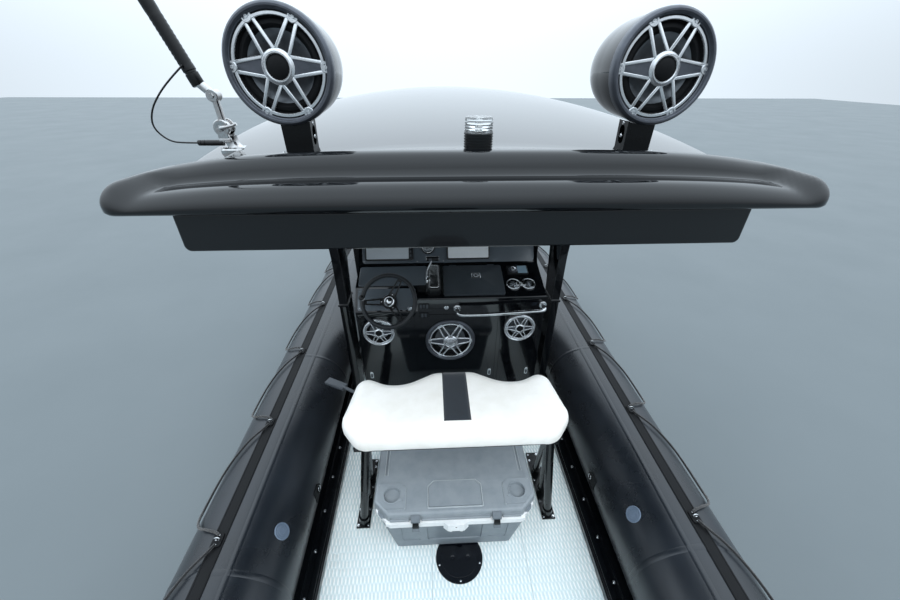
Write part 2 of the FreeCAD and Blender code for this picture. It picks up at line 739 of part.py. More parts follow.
def knuckle(x0, x1, web):
    """Barrel of the chest's hinge between two places along its axis, with the web that carries it."""
    barrel = rod(V(x0, CHEST_HINGE.y, CHEST_HINGE.z), V(x1, CHEST_HINGE.y, CHEST_HINGE.z), CHEST_HINGE_R)
    return [barrel, prism([(CHEST_HINGE.y + y, CHEST_HINGE.z + z, 0.0) for y, z in web], "x", x0, x1)]


def chest_plan(half, aft_y, front_y, corner):
    """Outline with the two aft corners cut off and the front ones rounded."""
    half_plan = ((half - corner, aft_y, 12.0), (half, aft_y + corner, 12.0), (half, front_y, 40.0))
    corners = [(CHEST_X + x, y, r) for x, y, r in half_plan]
    return corners + [(CHEST_X - x, y, r) for x, y, r in reversed(half_plan)]


def knuckle(x0, x1, web):
    """Barrel of the chest's hinge between two places along its axis, with the web that carries it."""
    barrel = rod(V(x0, CHEST_HINGE.y, CHEST_HINGE.z), V(x1, CHEST_HINGE.y, CHEST_HINGE.z), CHEST_HINGE_R)
    return [barrel, prism([(CHEST_HINGE.y + y, CHEST_HINGE.z + z, 0.0) for y, z in web], "x", x0, x1)]


LOCK_PLATE = ((62.0, -16.0), (40.0, -34.0))     # half outline: x, y from the lid's aft edge
LOCK_PLATE_DROP = 22.0


def chest_trim():
    """White band round the box under the lid, with the lock plate and the fixed hinge knuckles."""
    z = (CHEST_RIM_Z - CHEST_TRIM, CHEST_RIM_Z)
    plan = chest_plan(CHEST_LID_HALF_W - 6.0, CHEST_Y[0] - 18.0, CHEST_Y[1] + 2.0, CHEST_CORNER)
    corners = [(CHEST_X - x, CHEST_Y[0] + y, 0.0) for x, y in LOCK_PLATE]
    corners += [(CHEST_X + x, CHEST_Y[0] + y, 0.0) for x, y in reversed(LOCK_PLATE)]
    pieces = [prism(plan, "z", *z), prism(corners, "z", z[0] - LOCK_PLATE_DROP, z[1])]
    web = ((-16.0, -20.0), (0.0, -8.0), (8.0, -2.0), (0.0, 7.0), (-16.0, 7.0))
    for middle in CHEST_HINGE_X:
        for side in (-1, 1):
            inner = CHEST_X + middle + side * (KNUCKLE_HALF + SEAT_GAP)
            outer = inner + side * KNUCKLE_HALF
            pieces += knuckle(min(inner, outer), max(inner, outer), web)
    return joined(pieces).cut(chest_outer())


def rounded_rectangle(x0, x1, y0, y1, radius):
    """Corners of a rectangle with equal radii."""
    return ((x0, y0, radius), (x1, y0, radius), (x1, y1, radius), (x0, y1, radius))


LID_Z = CHEST_RIM_Z + SEAT_GAP


def chest_lid():
    """Moulded lid with two cup recesses, raised panels, side grooves and its hinge knuckles."""
    top = LID_Z + CHEST_LID_THICK
    lid = prism(chest_plan(CHEST_LID_HALF_W, *CHEST_Y, CHEST_CORNER), "z", LID_Z, top)
    lid = round_edges(lid, 14.0, lambda e: abs(e.BoundBox.ZMin - top) < 0.01)
    middle_rise, corner_rise = LID_PANEL_RISE
    plan = [(CHEST_X - x, y, 6.0) for x, y in MIDDLE_PANEL]
    plan += [(CHEST_X + x, y, 6.0) for x, y in reversed(MIDDLE_PANEL)]
    pieces = [lid, prism(plan, "z", top - 2.0, top + middle_rise)]
    cup_x, cup_y, cup_r, cup_depth = LID_CUP
    groove_x, groove_half, groove_depth = LID_GROOVE
    hollows = []
    for side in (-1, 1):
        x = CHEST_X + side * cup_x
        plan = [(x + side * u, cup_y + v, 6.0) for u, v in CORNER_PANEL]
        pieces.append(prism(plan, "z", top - 2.0, top + corner_rise))
        hollows.append(disc(V(x, cup_y, top - cup_depth), V(0, 0, 1), cup_r, 60.0))
        x = CHEST_X + side * groove_x
        hollows.append(box((x - groove_half, x + groove_half), LID_GROOVE_Y,
                           (top - groove_depth, top + 20.0)))
    web = ((-19.0, 8.5), (-8.5, 8.5), (-7.5, 2.0), (0.0, 0.0), (8.0, 6.0), (-3.0, 26.0), (-19.0, 26.0))
    for middle in CHEST_HINGE_X:
        pieces += knuckle(CHEST_X + middle - KNUCKLE_HALF, CHEST_X + middle + KNUCKLE_HALF, web)
    lid = joined(pieces)
    for hollow in hollows:
        lid = lid.cut(hollow)
    return lid


def chest_latches():
    """Two draw latches on the lid's aft edge."""
    latches = []
    for x in LATCH_X:
        y = CHEST_Y[0] - SEAT_GAP
        corners = ((y, LID_Z + 6.0, 0.0), (y, LID_Z + CHEST_LID_THICK - 6.0, 0.0),
                   (y - 24.0, LID_Z + CHEST_LID_THICK - 27.0, 6.0), (y - 44.0, LID_Z - 26.0, 6.0),
                   (y - 28.0, LID_Z - 26.0, 0.0), (y - 22.0, LID_Z + 6.0, 0.0))
        latches.append(prism(corners, "x", CHEST_X + x - 22.0, CHEST_X + x + 22.0))
    return Part.makeCompound(latches)


# Console

DASH_SLOPE = math.atan2(DASH_TOP_Z - DASH_EDGE_Z, DASH_TOP_Y - CONSOLE_AFT_Y)


def dash_z(y):
    """Height of the sloping dash at y."""
    return DASH_EDGE_Z + (y - CONSOLE_AFT_Y) * math.tan(DASH_SLOPE)


def console_profile(with_chamfer):
    """Side outline of the console."""
    front = [(DASH_TOP_Y, DASH_TOP_Z, 20.0), (RISER_TOP_Y, RISER_TOP_Z, 40.0),
             (CONSOLE_TOP_FRONT[0], CONSOLE_TOP_FRONT[1], 60.0), (CONSOLE_TOE[0], CONSOLE_TOE[1], 0.0),
             (CONSOLE_TOE[0], DECK_Z, 0.0)]
    start = [(CONSOLE_AFT_Y, DECK_Z, 0.0)]
    if with_chamfer:
        start += [(CONSOLE_AFT_Y, HELM_CHAMFER_Z, 12.0), (-300.0, dash_z(-300.0), 12.0)]
    else:
        start += [(CONSOLE_AFT_Y, DASH_EDGE_Z, 14.0)]
    return start + front


def console():
    """Helm console with its front seat base, glove box and cup recesses."""
    helm = prism(console_profile(True), "x", -CONSOLE_HALF_W, HELM_X)
    main = prism(console_profile(False), "x", HELM_X, CONSOLE_HALF_W)
    seat_base = prism(rounded_rectangle(-FRONT_SEAT_HALF_W, FRONT_SEAT_HALF_W, CONSOLE_TOE[0] - 100.0,
                                        FRONT_SEAT_Y,
                                        60.0), "z", DECK_Z, FRONT_SEAT_Z)
    shell = joined([helm, main, seat_base])
    room = box((GLOVE_X[0] + 22.0, GLOVE_X[1] - 22.0), (CONSOLE_AFT_Y + 40.0, DASH_TOP_Y - 45.0),
               (DASH_EDGE_Z - GLOVE_DEPTH, DASH_TOP_Z + 60.0))
    shell = shell.cut(room)
    for x in CUP_X:
        shell = shell.cut(disc(V(x, CUP_Y, dash_z(CUP_Y) - CUP_DEPTH), V(0, 0, 1), CUP_R, 300.0))
    foot = ((4.0, -6.0), (12.5, -6.0), (12.5, 4.0), (7.0, 6.0), (4.0, 4.0))
    fixed = on_dash(joined(glove_knuckles(GLOVE_FIXED, foot)), sum(GLOVE_X) / 2, GLOVE_HINGE_Y, SEAT_GAP)
    return joined([shell, fixed])


def on_dash(shape, x, y, lift):
    """Places a shape made round the origin on the sloping dash."""
    moved = shape.copy()
    moved.rotate(V(0, 0, 0), V(1, 0, 0), math.degrees(DASH_SLOPE))
    normal = V(0, -math.sin(DASH_SLOPE), math.cos(DASH_SLOPE))
    moved.translate(V(x, y, dash_z(y)) + normal * lift)
    return moved


def glove_knuckles(spans, foot):
    """Barrels of the glove box hinge and their feet, round the lid's forward edge; foot is the outline."""
    along, lift = GLOVE_HINGE
    pieces = []
    for u0, u1 in spans:
        pieces.append(rod(V(u0, along, lift), V(u1, along, lift), GLOVE_HINGE_R))
        pieces.append(prism(foot, "x", u0, u1))
    return pieces


def glovebox_lid():
    """Lid over the glove box, hinged at its forward edge."""
    length = (GLOVE_HINGE_Y - (CONSOLE_AFT_Y + 16.0)) / math.cos(DASH_SLOPE)
    width = GLOVE_X[1] - GLOVE_X[0]
    lid = prism(rounded_rectangle(-width / 2, width / 2, -length, 0.0, 14.0), "z", 0.0, GLOVE_LID_THICK)
    latch = disc(V(20.0, -60.0 - 40.0, GLOVE_LID_THICK - 1.0), V(0, 0, 1), 22.0, 4.0)
    web = ((-6.0, 1.0), (2.0, 1.5), (7.0, 6.0), (7.0, 11.5), (-6.0, 13.0))
    pieces = [lid, latch] + glove_knuckles(GLOVE_KNUCKLES, web)
    return on_dash(joined(pieces), sum(GLOVE_X) / 2, GLOVE_HINGE_Y, SEAT_GAP)


def cup_holders():
    """Two bright rings in the dash, joined side by side."""
    rings = [Part.makeCylinder(CUP_RING_R, 12.0, V(x - sum(CUP_X) / 2, 0, 0)) for x in CUP_X]
    ring = on_dash(joined(rings + [Part.makeBox(60.0, 30.0, 12.0, V(-30.0, -15.0, 0))]), sum(CUP_X) / 2,
                   CUP_Y, 0.0)
    for x in CUP_X:
        ring = ring.cut(disc(V(x, CUP_Y, dash_z(CUP_Y) - CUP_DEPTH), V(0, 0, 1), CUP_R - 2.0, 300.0))
    return ring


def stereo_remote():
    """Small round-knobbed control panel above the cup holders."""
    plate = prism(rounded_rectangle(-72.0, 72.0, -42.0, 42.0, 8.0), "z", 0.0, 12.0)
    knob = Part.makeCylinder(16.0, 22.0, V(-28.0, 0, 10.0))
    return on_dash(joined([plate, knob]), 452.0, -178.0, 0.0)


def throttle():
    """Control box with its lever."""
    base = prism(rounded_rectangle(-42.0, 42.0, -120.0, 110.0, 20.0), "z", 0.0, 58.0)
    base = round_edges(base, 12.0, lambda e: e.BoundBox.ZMin > 57.9)
    lever = rod(V(0, -20.0, 40.0), V(-6.0, 34.0, 170.0), 10.0)
    grip = rod(V(-46.0, 34.0, 172.0), V(34.0, 34.0, 172.0), 15.0)
    return on_dash(joined([base, lever, grip]), -105.0, -262.0, 0.0)


RISER_SLOPE = math.atan2(RISER_TOP_Z - DASH_TOP_Z, RISER_TOP_Y - DASH_TOP_Y)
DISPLAYS = ((-400.0, 320.0), (130.0, 292.0))
DISPLAY_HEIGHT = 196.0
DISPLAY_THICK = 22.0


def on_riser(shape, x, share, lift):
    """Places a shape made round the origin on the display panel; share runs up the panel."""
    moved = shape.copy()
    moved.rotate(V(0, 0, 0), V(1, 0, 0), math.degrees(RISER_SLOPE))
    normal = V(0, -math.sin(RISER_SLOPE), math.cos(RISER_SLOPE))
    place = V(x, DASH_TOP_Y + (RISER_TOP_Y - DASH_TOP_Y) * share,
              DASH_TOP_Z + (RISER_TOP_Z - DASH_TOP_Z) * share)
    moved.translate(place + normal * lift)
    return moved


def displays():
    """Two chart displays on the panel ahead of the helm."""
    made = []
    for x, width in DISPLAYS:
        case = prism(rounded_rectangle(-width / 2, width / 2, -DISPLAY_HEIGHT / 2, DISPLAY_HEIGHT / 2, 12.0),
                     "z", 0.0, DISPLAY_THICK)
        made.append(on_riser(case, x, 0.5, 0.0))
    return Part.makeCompound(made)


def compass():
    """Flush compass between the displays."""
    body = Part.makeCylinder(46.0, 14.0)
    dome = Part.makeSphere(60.0, V(0, 0, -34.0)).common(Part.makeCylinder(46.0, 60.0, V(0, 0, 10.0)))
    return on_riser(joined([body, dome]), -140.0, 0.45, 0.0)


def console_speakers():
    """Two small loudspeakers and the bass speaker in the console's aft face, with their grilles."""
    made = []
    for x, z, radius in SPEAKERS:
        ring = disc(V(x, CONSOLE_AFT_Y - SPEAKER_THICK, z), V(0, 1, 0), radius, SPEAKER_THICK)
        ring = ring.cut(disc(V(x, CONSOLE_AFT_Y - SPEAKER_THICK - 1, z), V(0, 1, 0), radius * 0.84, 12.0))
        grille = star_grille(radius * 0.93, 6.0)
        grille.rotate(V(0, 0, 0), V(1, 0, 0), 90.0)
        grille.translate(V(x, CONSOLE_AFT_Y - SPEAKER_THICK + 5.0, z))
        made.append(joined([ring, grille]))
    return Part.makeCompound(made)


def grab_rail():
    """Bent bright rail across the starboard half of the console."""
    stand = CONSOLE_AFT_Y - 68.0
    points = [V(38.0, CONSOLE_AFT_Y, 1162.0), V(38.0, stand + 20.0, 1162.0), V(110.0, stand, 1152.0),
              V(560.0, stand, 1172.0), V(588.0, stand + 22.0, 1176.0), V(588.0, CONSOLE_AFT_Y, 1176.0)]
    return smooth_rope(points, 12.5)


def windscreen():
    """Raked clear screen on the console's top."""
    corners = ((CONSOLE_TOP_FRONT[0] - 70.0, CONSOLE_TOP_FRONT[1] - 4.0),
               (CONSOLE_TOP_FRONT[0] - 62.0, CONSOLE_TOP_FRONT[1] - 4.0),
               (CONSOLE_TOP_FRONT[0] - 180.0, 1980.0), (CONSOLE_TOP_FRONT[0] - 188.0, 1980.0))
    pane = prism(corners, "x", -560.0, 560.0)
    return pane.cut(prism(console_profile(False), "x", -CONSOLE_HALF_W, CONSOLE_HALF_W))


def front_cushions():
    """Seat and back cushion on the console's front."""
    seat = prism(rounded_rectangle(-FRONT_SEAT_HALF_W + 8.0, FRONT_SEAT_HALF_W - 8.0, CONSOLE_TOE[0] + 30.0,
                                   FRONT_SEAT_Y - 8.0, 55.0), "z", FRONT_SEAT_Z + SEAT_GAP,
                                   FRONT_SEAT_Z + CUSHION_THICK)
    lean = math.atan2(CONSOLE_TOE[0] - CONSOLE_TOP_FRONT[0], CONSOLE_TOP_FRONT[1] - CONSOLE_TOE[1])
    back = prism(rounded_rectangle(-380.0, 380.0, 130.0, 560.0, 60.0), "y", SEAT_GAP, 75.0)
    back.rotate(V(0, 0, 0), V(1, 0, 0), math.degrees(lean))
    back.translate(V(0, CONSOLE_TOE[0], CONSOLE_TOE[1]))
    return Part.makeCompound([seat, back])


# Steering wheel

SHAFT = V(0, -math.cos(math.radians(WHEEL_TILT)), math.sin(math.radians(WHEEL_TILT)))


WHEEL_ARMS = (62.0, 182.0, 302.0)      # degrees round the hub
WHEEL_DISH = 27.0                      # hub below the rim
WHEEL_HUB = (46.0, 38.0, 26.0)         # lower radius, upper radius, height
WHEEL_STUB_R = 14.0
WHEEL_STUB_LENGTH = 62.0
ARM_FROM = 20.0                        # the arms start inside the hub
ARM_HALF_W = (25.0, 14.0)              # at the hub and at the rim
ARM_THICK = 10.0
ARM_BAR_W = 12.0                       # bar on each side of an arm's slot
ARM_SLOT = (58.0, 26.0)                # slot's start from the centre, and its end from the rim
SPINNER_R = 17.0
SPINNER_HEIGHT = 42.0


def wheel_arm():
    """One slotted arm, from the hub out to the rim, made along +X."""
    reach = WHEEL_R - WHEEL_RIM_R
    half = ARM_THICK / 2
    ends = ((ARM_FROM, ARM_HALF_W[0]), (reach, ARM_HALF_W[1]))
    (x0, w0), (x1, w1) = ends
    arm = prism(((x0, -w0, 0.0), (x1, -w1, 0.0), (x1, w1, 0.0), (x0, w0, 0.0)), "z", -half, half)
    (x0, w0), (x1, w1) = ((ARM_SLOT[0], w0 - ARM_BAR_W), (reach - ARM_SLOT[1], w1 - ARM_BAR_W * 0.6))
    slot = prism(((x0, -w0, 6.0), (x1, -w1, 4.0), (x1, w1, 4.0), (x0, w0, 6.0)), "z", -half - 5.0, half + 5.0)
    arm = arm.cut(slot)
    arm.rotate(V(0, 0, 0), V(0, 1, 0), -math.degrees(math.atan2(WHEEL_DISH, reach)))
    arm.translate(V(0, 0, -WHEEL_DISH))
    return arm


def steering_wheel():
    """Wheel with three slotted arms and a spinner knob, made flat and then tilted."""
    reach = WHEEL_R - WHEEL_RIM_R
    hub = Part.makeCone(*WHEEL_HUB, V(0, 0, -WHEEL_DISH - WHEEL_HUB[2] / 2))
    stub = Part.makeCylinder(WHEEL_STUB_R, WHEEL_STUB_LENGTH, V(0, 0, -WHEEL_DISH - WHEEL_STUB_LENGTH - 9.0))
    pieces = [Part.makeTorus(reach, WHEEL_RIM_R), hub, stub]
    for turn in WHEEL_ARMS:
        arm = wheel_arm()
        arm.rotate(V(0, 0, 0), V(0, 0, 1), turn)
        pieces.append(arm)
    pieces.append(rod(V(-reach, 20.0, 0), V(-reach, 20.0, SPINNER_HEIGHT), SPINNER_R))
    wheel = joined(pieces)
    wheel.rotate(V(0, 0, 0), V(1, 0, 0), 90.0 - WHEEL_TILT)
    wheel.translate(WHEEL_CENTRE)
    return wheel


def helm_boss():
    """Boss between the helm panel and the steering wheel's shaft."""
    face = WHEEL_CENTRE - SHAFT * (98.0 + SEAT_GAP)
    boss = rod(face - SHAFT * 60.0, face, 34.0)
    return largest(boss.cut(prism(console_profile(True), "x", -CONSOLE_HALF_W, HELM_X)))


# Hardtop


def roof_plan(inset):
    """Plan of the hardtop, drawn in by inset."""
    half = ((ROOF_AFT_HALF_W, ROOF_Y[0], 45.0), (905.0, -1000.0, 900.0), (955.0, -200.0, 900.0),
            (900.0, 520.0, 260.0),
            (0.0, ROOF_Y[1] + 60.0, 900.0))
    rows = [(x - inset * (x > 0), y + inset * (1 if y < -1200 else -1 if y > 300 else 0), r)
            for x, y, r in half]
    return rows[:-1] + [rows[-1]] + [(-x, y, r) for x, y, r in reversed(rows[:-1])]


@functools.lru_cache
def hardtop():
    """Crowned roof with a flat rim and a stepped aft edge."""
    rim = prism(roof_plan(0.0), "z", ROOF_BOTTOM_Z, ROOF_RIM_Z)
    arc_z = ROOF_APEX_Z - ROOF_LONG_R
    edge = ROOF_Y[0]
    aft = edge + LIP_CREST_RUN
    front = ROOF_Y[1] + 60.0

    def top_z(y):
        return arc_z + math.sqrt(ROOF_LONG_R ** 2 - (y - ROOF_APEX_Y) ** 2)

    low_z = ROOF_RIM_Z - 200.0
    edges = (
        Part.LineSegment(V(0, aft, low_z), V(0, aft, top_z(aft))),
        Part.Arc(V(0, aft, top_z(aft)), V(0, -300.0, top_z(-300.0)), V(0, front, top_z(front))),
        Part.LineSegment(V(0, front, top_z(front)), V(0, front, low_z)),
        Part.LineSegment(V(0, front, low_z), V(0, aft, low_z)),
    )
    crown = Part.Face(Part.Wire([side.toShape() for side in edges]))
    spin = 20.0
    crown.rotate(V(0, 0, ROOF_APEX_Z - ROOF_CROSS_R), V(0, 1, 0), -spin)
    barrel = crown.revolve(V(0, 0, ROOF_APEX_Z - ROOF_CROSS_R), V(0, 1, 0), 2 * spin)
    upper = prism(roof_plan(26.0), "z", ROOF_RIM_Z, ROOF_APEX_Z + 50.0).common(barrel)
    return joined([rim, upper, hardtop_lip()])


def hardtop_lip():
    """Aft edge of the roof: flange, ledge and crest, all fading towards the corners."""
    edge = ROOF_Y[0]
    profile = (
        (edge, ROOF_BOTTOM_Z, 0.0),
        (edge, LIP_LEDGE_Z - 3.0, 20.0),
        (edge + LIP_LEDGE_RUN, LIP_LEDGE_Z + 2.0, 5.0),
        (edge + LIP_CREST_RUN, LIP_CREST_Z + 1.0, 12.0),
        (edge + LIP_CREST_RUN + 60.0, LIP_CREST_Z, 50.0),
        (edge + LIP_FADE, LIP_CREST_Z - 90.0, 0.0),
        (edge + LIP_FADE, ROOF_BOTTOM_Z, 0.0),
    )
    reach = ROOF_AFT_HALF_W
    half = ((reach, ROOF_BOTTOM_Z, 0.0), (reach, LIP_LEDGE_Z - 4.0, 20.0),
            (reach - LIP_NOSE[0], LIP_CREST_Z - 7.0, LIP_NOSE[1]))
    ends = list(half) + [(0.0, LIP_CREST_Z + 100.0, 0.0)] + [(-x, z, r) for x, z, r in reversed(half)]
    below_crest = disc(V(0, edge - 100.0, LIP_CREST_Z - LIP_CROSS_R), V(0, 1, 0), LIP_CROSS_R,
                       LIP_FADE + 200.0)
    lip = prism(profile, "x", -reach - 20.0, reach + 20.0).common(below_crest)
    lip = lip.common(prism(ends, "y", edge - 50.0, edge + LIP_FADE + 50.0))
    return lip.common(prism(roof_plan(0.0), "z", ROOF_BOTTOM_Z, LIP_CREST_Z + 50.0))


def electronics_box():
    """Flat box under the hardtop's aft edge."""
    corners = ((BOX_X[0], BOX_Z[1], 0.0), (BOX_X[0], BOX_Z[0], 16.0), (BOX_X[1], BOX_Z[0], 16.0),
               (BOX_X[1], BOX_Z[1], 0.0))
    return prism(corners, "y", *BOX_Y)


def t_top_support():
    """Starboard side frame: an aft wing leg and a forward leg joined under the roof."""
    aft_leg = ((-340.0, DECK_Z, 0.0), (-215.0, DECK_Z, 0.0), (-190.0, 1170.0, 300.0),
               (-60.0, ROOF_BOTTOM_Z - 120.0, 120.0),
               (-60.0, ROOF_BOTTOM_Z, 0.0), (-470.0, ROOF_BOTTOM_Z, 0.0), (-345.0, 1500.0, 400.0))
    front_leg = ((330.0, DECK_Z, 0.0), (425.0, DECK_Z, 0.0), (320.0, ROOF_BOTTOM_Z, 0.0),
                 (215.0, ROOF_BOTTOM_Z, 0.0))
    beam = ((-100.0, ROOF_BOTTOM_Z - 90.0, 0.0), (300.0, ROOF_BOTTOM_Z - 90.0, 0.0),
            (300.0, ROOF_BOTTOM_Z, 0.0),
            (-100.0, ROOF_BOTTOM_Z, 0.0))
    pieces = [prism(c, "x", SUPPORT_X[0], SUPPORT_X[1]) for c in (aft_leg, front_leg, beam)]
    pieces.append(box((SUPPORT_X[0] - 6.0, SUPPORT_X[1] + 6.0), (-352.0, -182.0), (1160.0, 1176.0)))
    return joined(pieces)


# Tower speakers, light and aerial


def roof_z(x, y):
    """Height of the crowned roof."""
    drop = ROOF_LONG_R - math.sqrt(ROOF_LONG_R ** 2 - (y - ROOF_APEX_Y) ** 2)
    radius = ROOF_CROSS_R - drop
    return ROOF_APEX_Z - ROOF_CROSS_R + math.sqrt(radius ** 2 - x ** 2)


@functools.lru_cache
def speaker_pods():
    """Two bullet-shaped speaker housings that face the stern."""
    barrel = disc(V(0, 0, 0), V(0, 1, 0), POD_R, POD_BARREL)
    waist_r = POD_R * POD_TAPER
    cone = Part.makeCone(POD_R, waist_r, POD_CONE, V(0, POD_BARREL, 0), V(0, 1, 0))
    slope = math.atan2(POD_R - waist_r, POD_CONE)
    nose_r = waist_r / math.cos(slope)
    nose_start = POD_BARREL + POD_CONE
    nose = Part.makeSphere(nose_r, V(0, nose_start - nose_r * math.sin(slope), 0))
    nose = nose.common(disc(V(0, nose_start, 0), V(0, 1, 0), POD_R, POD_R))
    body = joined([barrel, cone, nose])
    body = body.cut(disc(V(0, -1.0, 0), V(0, 1, 0), POD_R - 14.0, 25.0))
    made = []
    for x in (-POD_X, POD_X):
        pod = body.copy()
        pod.translate(V(x, POD_FACE_Y, POD_Z))
        made.append(pod)
    return Part.makeCompound(made)


GRILLE_ARMS = (0.0, 62.0, 118.0, 180.0, 242.0, 298.0)
WIDE_ARMS = (0.0, 180.0)
# Shares of the grille's radius
GRILLE_HUB = 0.34
GRILLE_LOBE = 0.90                      # inner edge of the ring, where the screw lobes sit
GRILLE_LOBE_R = 0.10
GRILLE_SCREW_R = 0.035
GRILLE_RAIL = ((0.13, 0.20), (0.045, 0.10))     # a rail's two edges at the hub and at the ring


def star_grille(radius, thick):
    """Ring, hub and six double-rail arms with screw lobes, in the XY plane; two arms are solid plates."""
    def bar(inner, outer, height):
        """Tapered bar along +X: v limits at the hub and at the ring."""
        corners = ((GRILLE_HUB - 0.06, inner[0]), (GRILLE_LOBE, outer[0]), (GRILLE_LOBE, outer[1]),
                   (GRILLE_HUB - 0.06, inner[1]))
        return prism([(u * radius, v * radius, 0.0) for u, v in corners], "z", 0.0, height)

    lobe_x = GRILLE_LOBE * radius
    ring = Part.makeCylinder(radius, thick).cut(Part.makeCylinder(lobe_x, thick * 3, V(0, 0, -thick)))
    pieces = [ring, Part.makeCylinder(radius * GRILLE_HUB, thick)]
    holes = []
    for turn in GRILLE_ARMS:
        parts = [Part.makeCylinder(radius * GRILLE_LOBE_R, thick, V(lobe_x, 0, 0))]
        for side in (-1, 1):
            inner = [side * v for v in GRILLE_RAIL[0]]
            outer = [side * v for v in GRILLE_RAIL[1]]
            parts.append(bar(inner, outer, thick))
        if turn in WIDE_ARMS:
            parts.append(bar((-GRILLE_RAIL[0][1], GRILLE_RAIL[0][1]), (-0.07, 0.07), thick * 0.6))
        hole = Part.makeCylinder(radius * GRILLE_SCREW_R, thick, V(lobe_x, 0, thick * 0.5))
        for shape in parts + [hole]:
            shape.rotate(V(0, 0, 0), V(0, 0, 1), turn)
        pieces += parts
        holes.append(hole)
    grille = joined(pieces)
    for hole in holes:
        grille = grille.cut(hole)
    return grille.common(Part.makeCylinder(radius, thick))


def pod_grilles():
    """Grilles in the mouths of the tower speakers."""
    made = []
    for x in (-POD_X, POD_X):
        grille = star_grille(POD_R - 14.0 - SEAT_GAP, 10.0)
        grille.rotate(V(0, 0, 0), V(1, 0, 0), 90.0)
        grille.translate(V(x, POD_FACE_Y + 12.0, POD_Z))
        made.append(grille)
    return Part.makeCompound(made)


BRACKET_SLOT = (15.0, 2284.0, 2332.0)      # arched hole for the wires: half width, bottom and top


def pod_brackets():
    """Box brackets between the hardtop and the speaker housings."""
    made = []
    pods = speaker_pods()
    for side in (-1, 1):
        x = side * POD_X
        y = POD_FACE_Y + 65.0
        post = prism(((x - 34.0, 2180.0, 0.0), (x + 34.0, 2180.0, 0.0), (x + 40.0, POD_Z, 0.0),
                      (x - 40.0, POD_Z, 0.0)),
                     "y", y - 28.0, y + 28.0)
        barrel_top = hardtop()
        half, low, high = BRACKET_SLOT
        window = prism(((y - half, low, half - 1.0), (y + half, low, half - 1.0),
                        (y + half, high, half - 0.1),
                        (y - half, high, half - 0.1)), "x", x - 60.0, x + 60.0)
        post = post.cut(pods).cut(barrel_top).cut(window)
        solids = [s for s in post.Solids if s.BoundBox.ZMax < POD_Z - POD_R * 0.5 and s.BoundBox.ZMin > 2190.0]
        made.append(max(solids, key=lambda s: s.Volume))
    return Part.makeCompound(made)


def stern_light():
    """Black base of the all-round light."""
    foot = roof_z(0.0, LIGHT_Y) - 20.0
    base = disc(V(8.0, LIGHT_Y, foot), V(0, 0, 1), LIGHT_R, 65.0)
    return largest(base.cut(hardtop()))


def light_lens():
    """Clear lens on the all-round light."""
    foot = roof_z(0.0, LIGHT_Y) + 45.0
    return disc(V(8.0, LIGHT_Y, foot), V(0, 0, 1), LIGHT_R - 1.0, 34.0)


AERIAL_FOOT = V(AERIAL_BASE.x, AERIAL_BASE.y, roof_z(AERIAL_BASE.x, AERIAL_BASE.y))
AERIAL_HINGE = AERIAL_FOOT + AERIAL_HINGE_UP
AERIAL_DIR = V(-math.sin(math.radians(AERIAL_LEAN)), 0, math.cos(math.radians(AERIAL_LEAN)))


DRUM_R = 24.0
CHEEK_Y = (15.0, 24.0)  # inner and outer face of each cheek of the drum
EYE_HALF = CHEEK_Y[0] - 2.3
EYE_HINGE_R = 20.0
HINGE_PIN_R = 7.0
MOUNT_HALF = (40.0, 34.0)
MOUNT_TOP = 10.0        # base block over the roof
NECK_TOP = V(-12.0, 0, 36.0)
LEVER_END = V(50.0, -28.0, 10.0)


def across(point, half, radius):
    """Round bar along Y through a point."""
    return rod(point - V(0, half, 0), point + V(0, half, 0), radius)


def mount_neck(grow):
    """Round neck of the mount, made larger by grow."""
    return rod(AERIAL_FOOT - V(0, 0, 10.0), AERIAL_FOOT + NECK_TOP, POST_R + grow)


@functools.lru_cache
def aerial_mount():
    """Ratchet mount for the aerial: base block, neck, two round cheeks with their pin, and its lever."""
    x, y, z = AERIAL_FOOT
    half_x, half_y = MOUNT_HALF
    base = round_edges(box((x - half_x, x + half_x), (y - half_y, y + half_y), (z - 30.0, z + MOUNT_TOP)),
                       10.0,
                       lambda e: e.BoundBox.ZLength > 30.0)
    hinge_x, _, hinge_z = AERIAL_HINGE
    inner, outer = CHEEK_Y
    bridge = box((hinge_x - 18.0, hinge_x + 20.0), (y - outer, y + outer), (z + 26.0, hinge_z - DRUM_R - 3.0))
    cheeks = []
    for y0, y1 in ((-outer, -inner), (inner, outer)):
        cheeks.append(disc(V(hinge_x, y + y0, hinge_z), V(0, 1, 0), DRUM_R, y1 - y0))
        cheeks.append(box((hinge_x - 16.0, hinge_x + 16.0), (y + y0, y + y1),
                          (hinge_z - DRUM_R - 14.0, hinge_z)))
    pin = across(AERIAL_HINGE, outer + 6.0, HINGE_PIN_R)
    lever = rod(AERIAL_HINGE + V(0, LEVER_END.y, 0), AERIAL_HINGE + LEVER_END, 4.5)
    return largest(joined([base, mount_neck(0.0), bridge, pin, lever] + cheeks).cut(hardtop()))


def aerial():
    """Aerial with its eye, short arm, knuckle, ferrule, grip and leaning pole."""
    knuckle_centre = AERIAL_HINGE + V(-4.0, 0, AERIAL_ARM)
    grip_start = knuckle_centre + AERIAL_FERRULE
    grip_end = grip_start + AERIAL_DIR * AERIAL_GRIP_LENGTH
    pieces = [
        across(AERIAL_HINGE, EYE_HALF, EYE_HINGE_R),
        rod(AERIAL_HINGE, knuckle_centre, AERIAL_ARM_R),
        across(knuckle_centre, AERIAL_KNUCKLE_R, AERIAL_KNUCKLE_R),
        rod(knuckle_centre, grip_start, AERIAL_FERRULE_R),
        rod(grip_start - AERIAL_DIR * 10.0, grip_end, AERIAL_GRIP_R),
        rod(grip_end - AERIAL_DIR * 30.0, grip_start + AERIAL_DIR * AERIAL_LENGTH, AERIAL_R),
    ]
    return joined(pieces).cut(across(AERIAL_HINGE, 40.0, HINGE_PIN_R + SEAT_GAP))


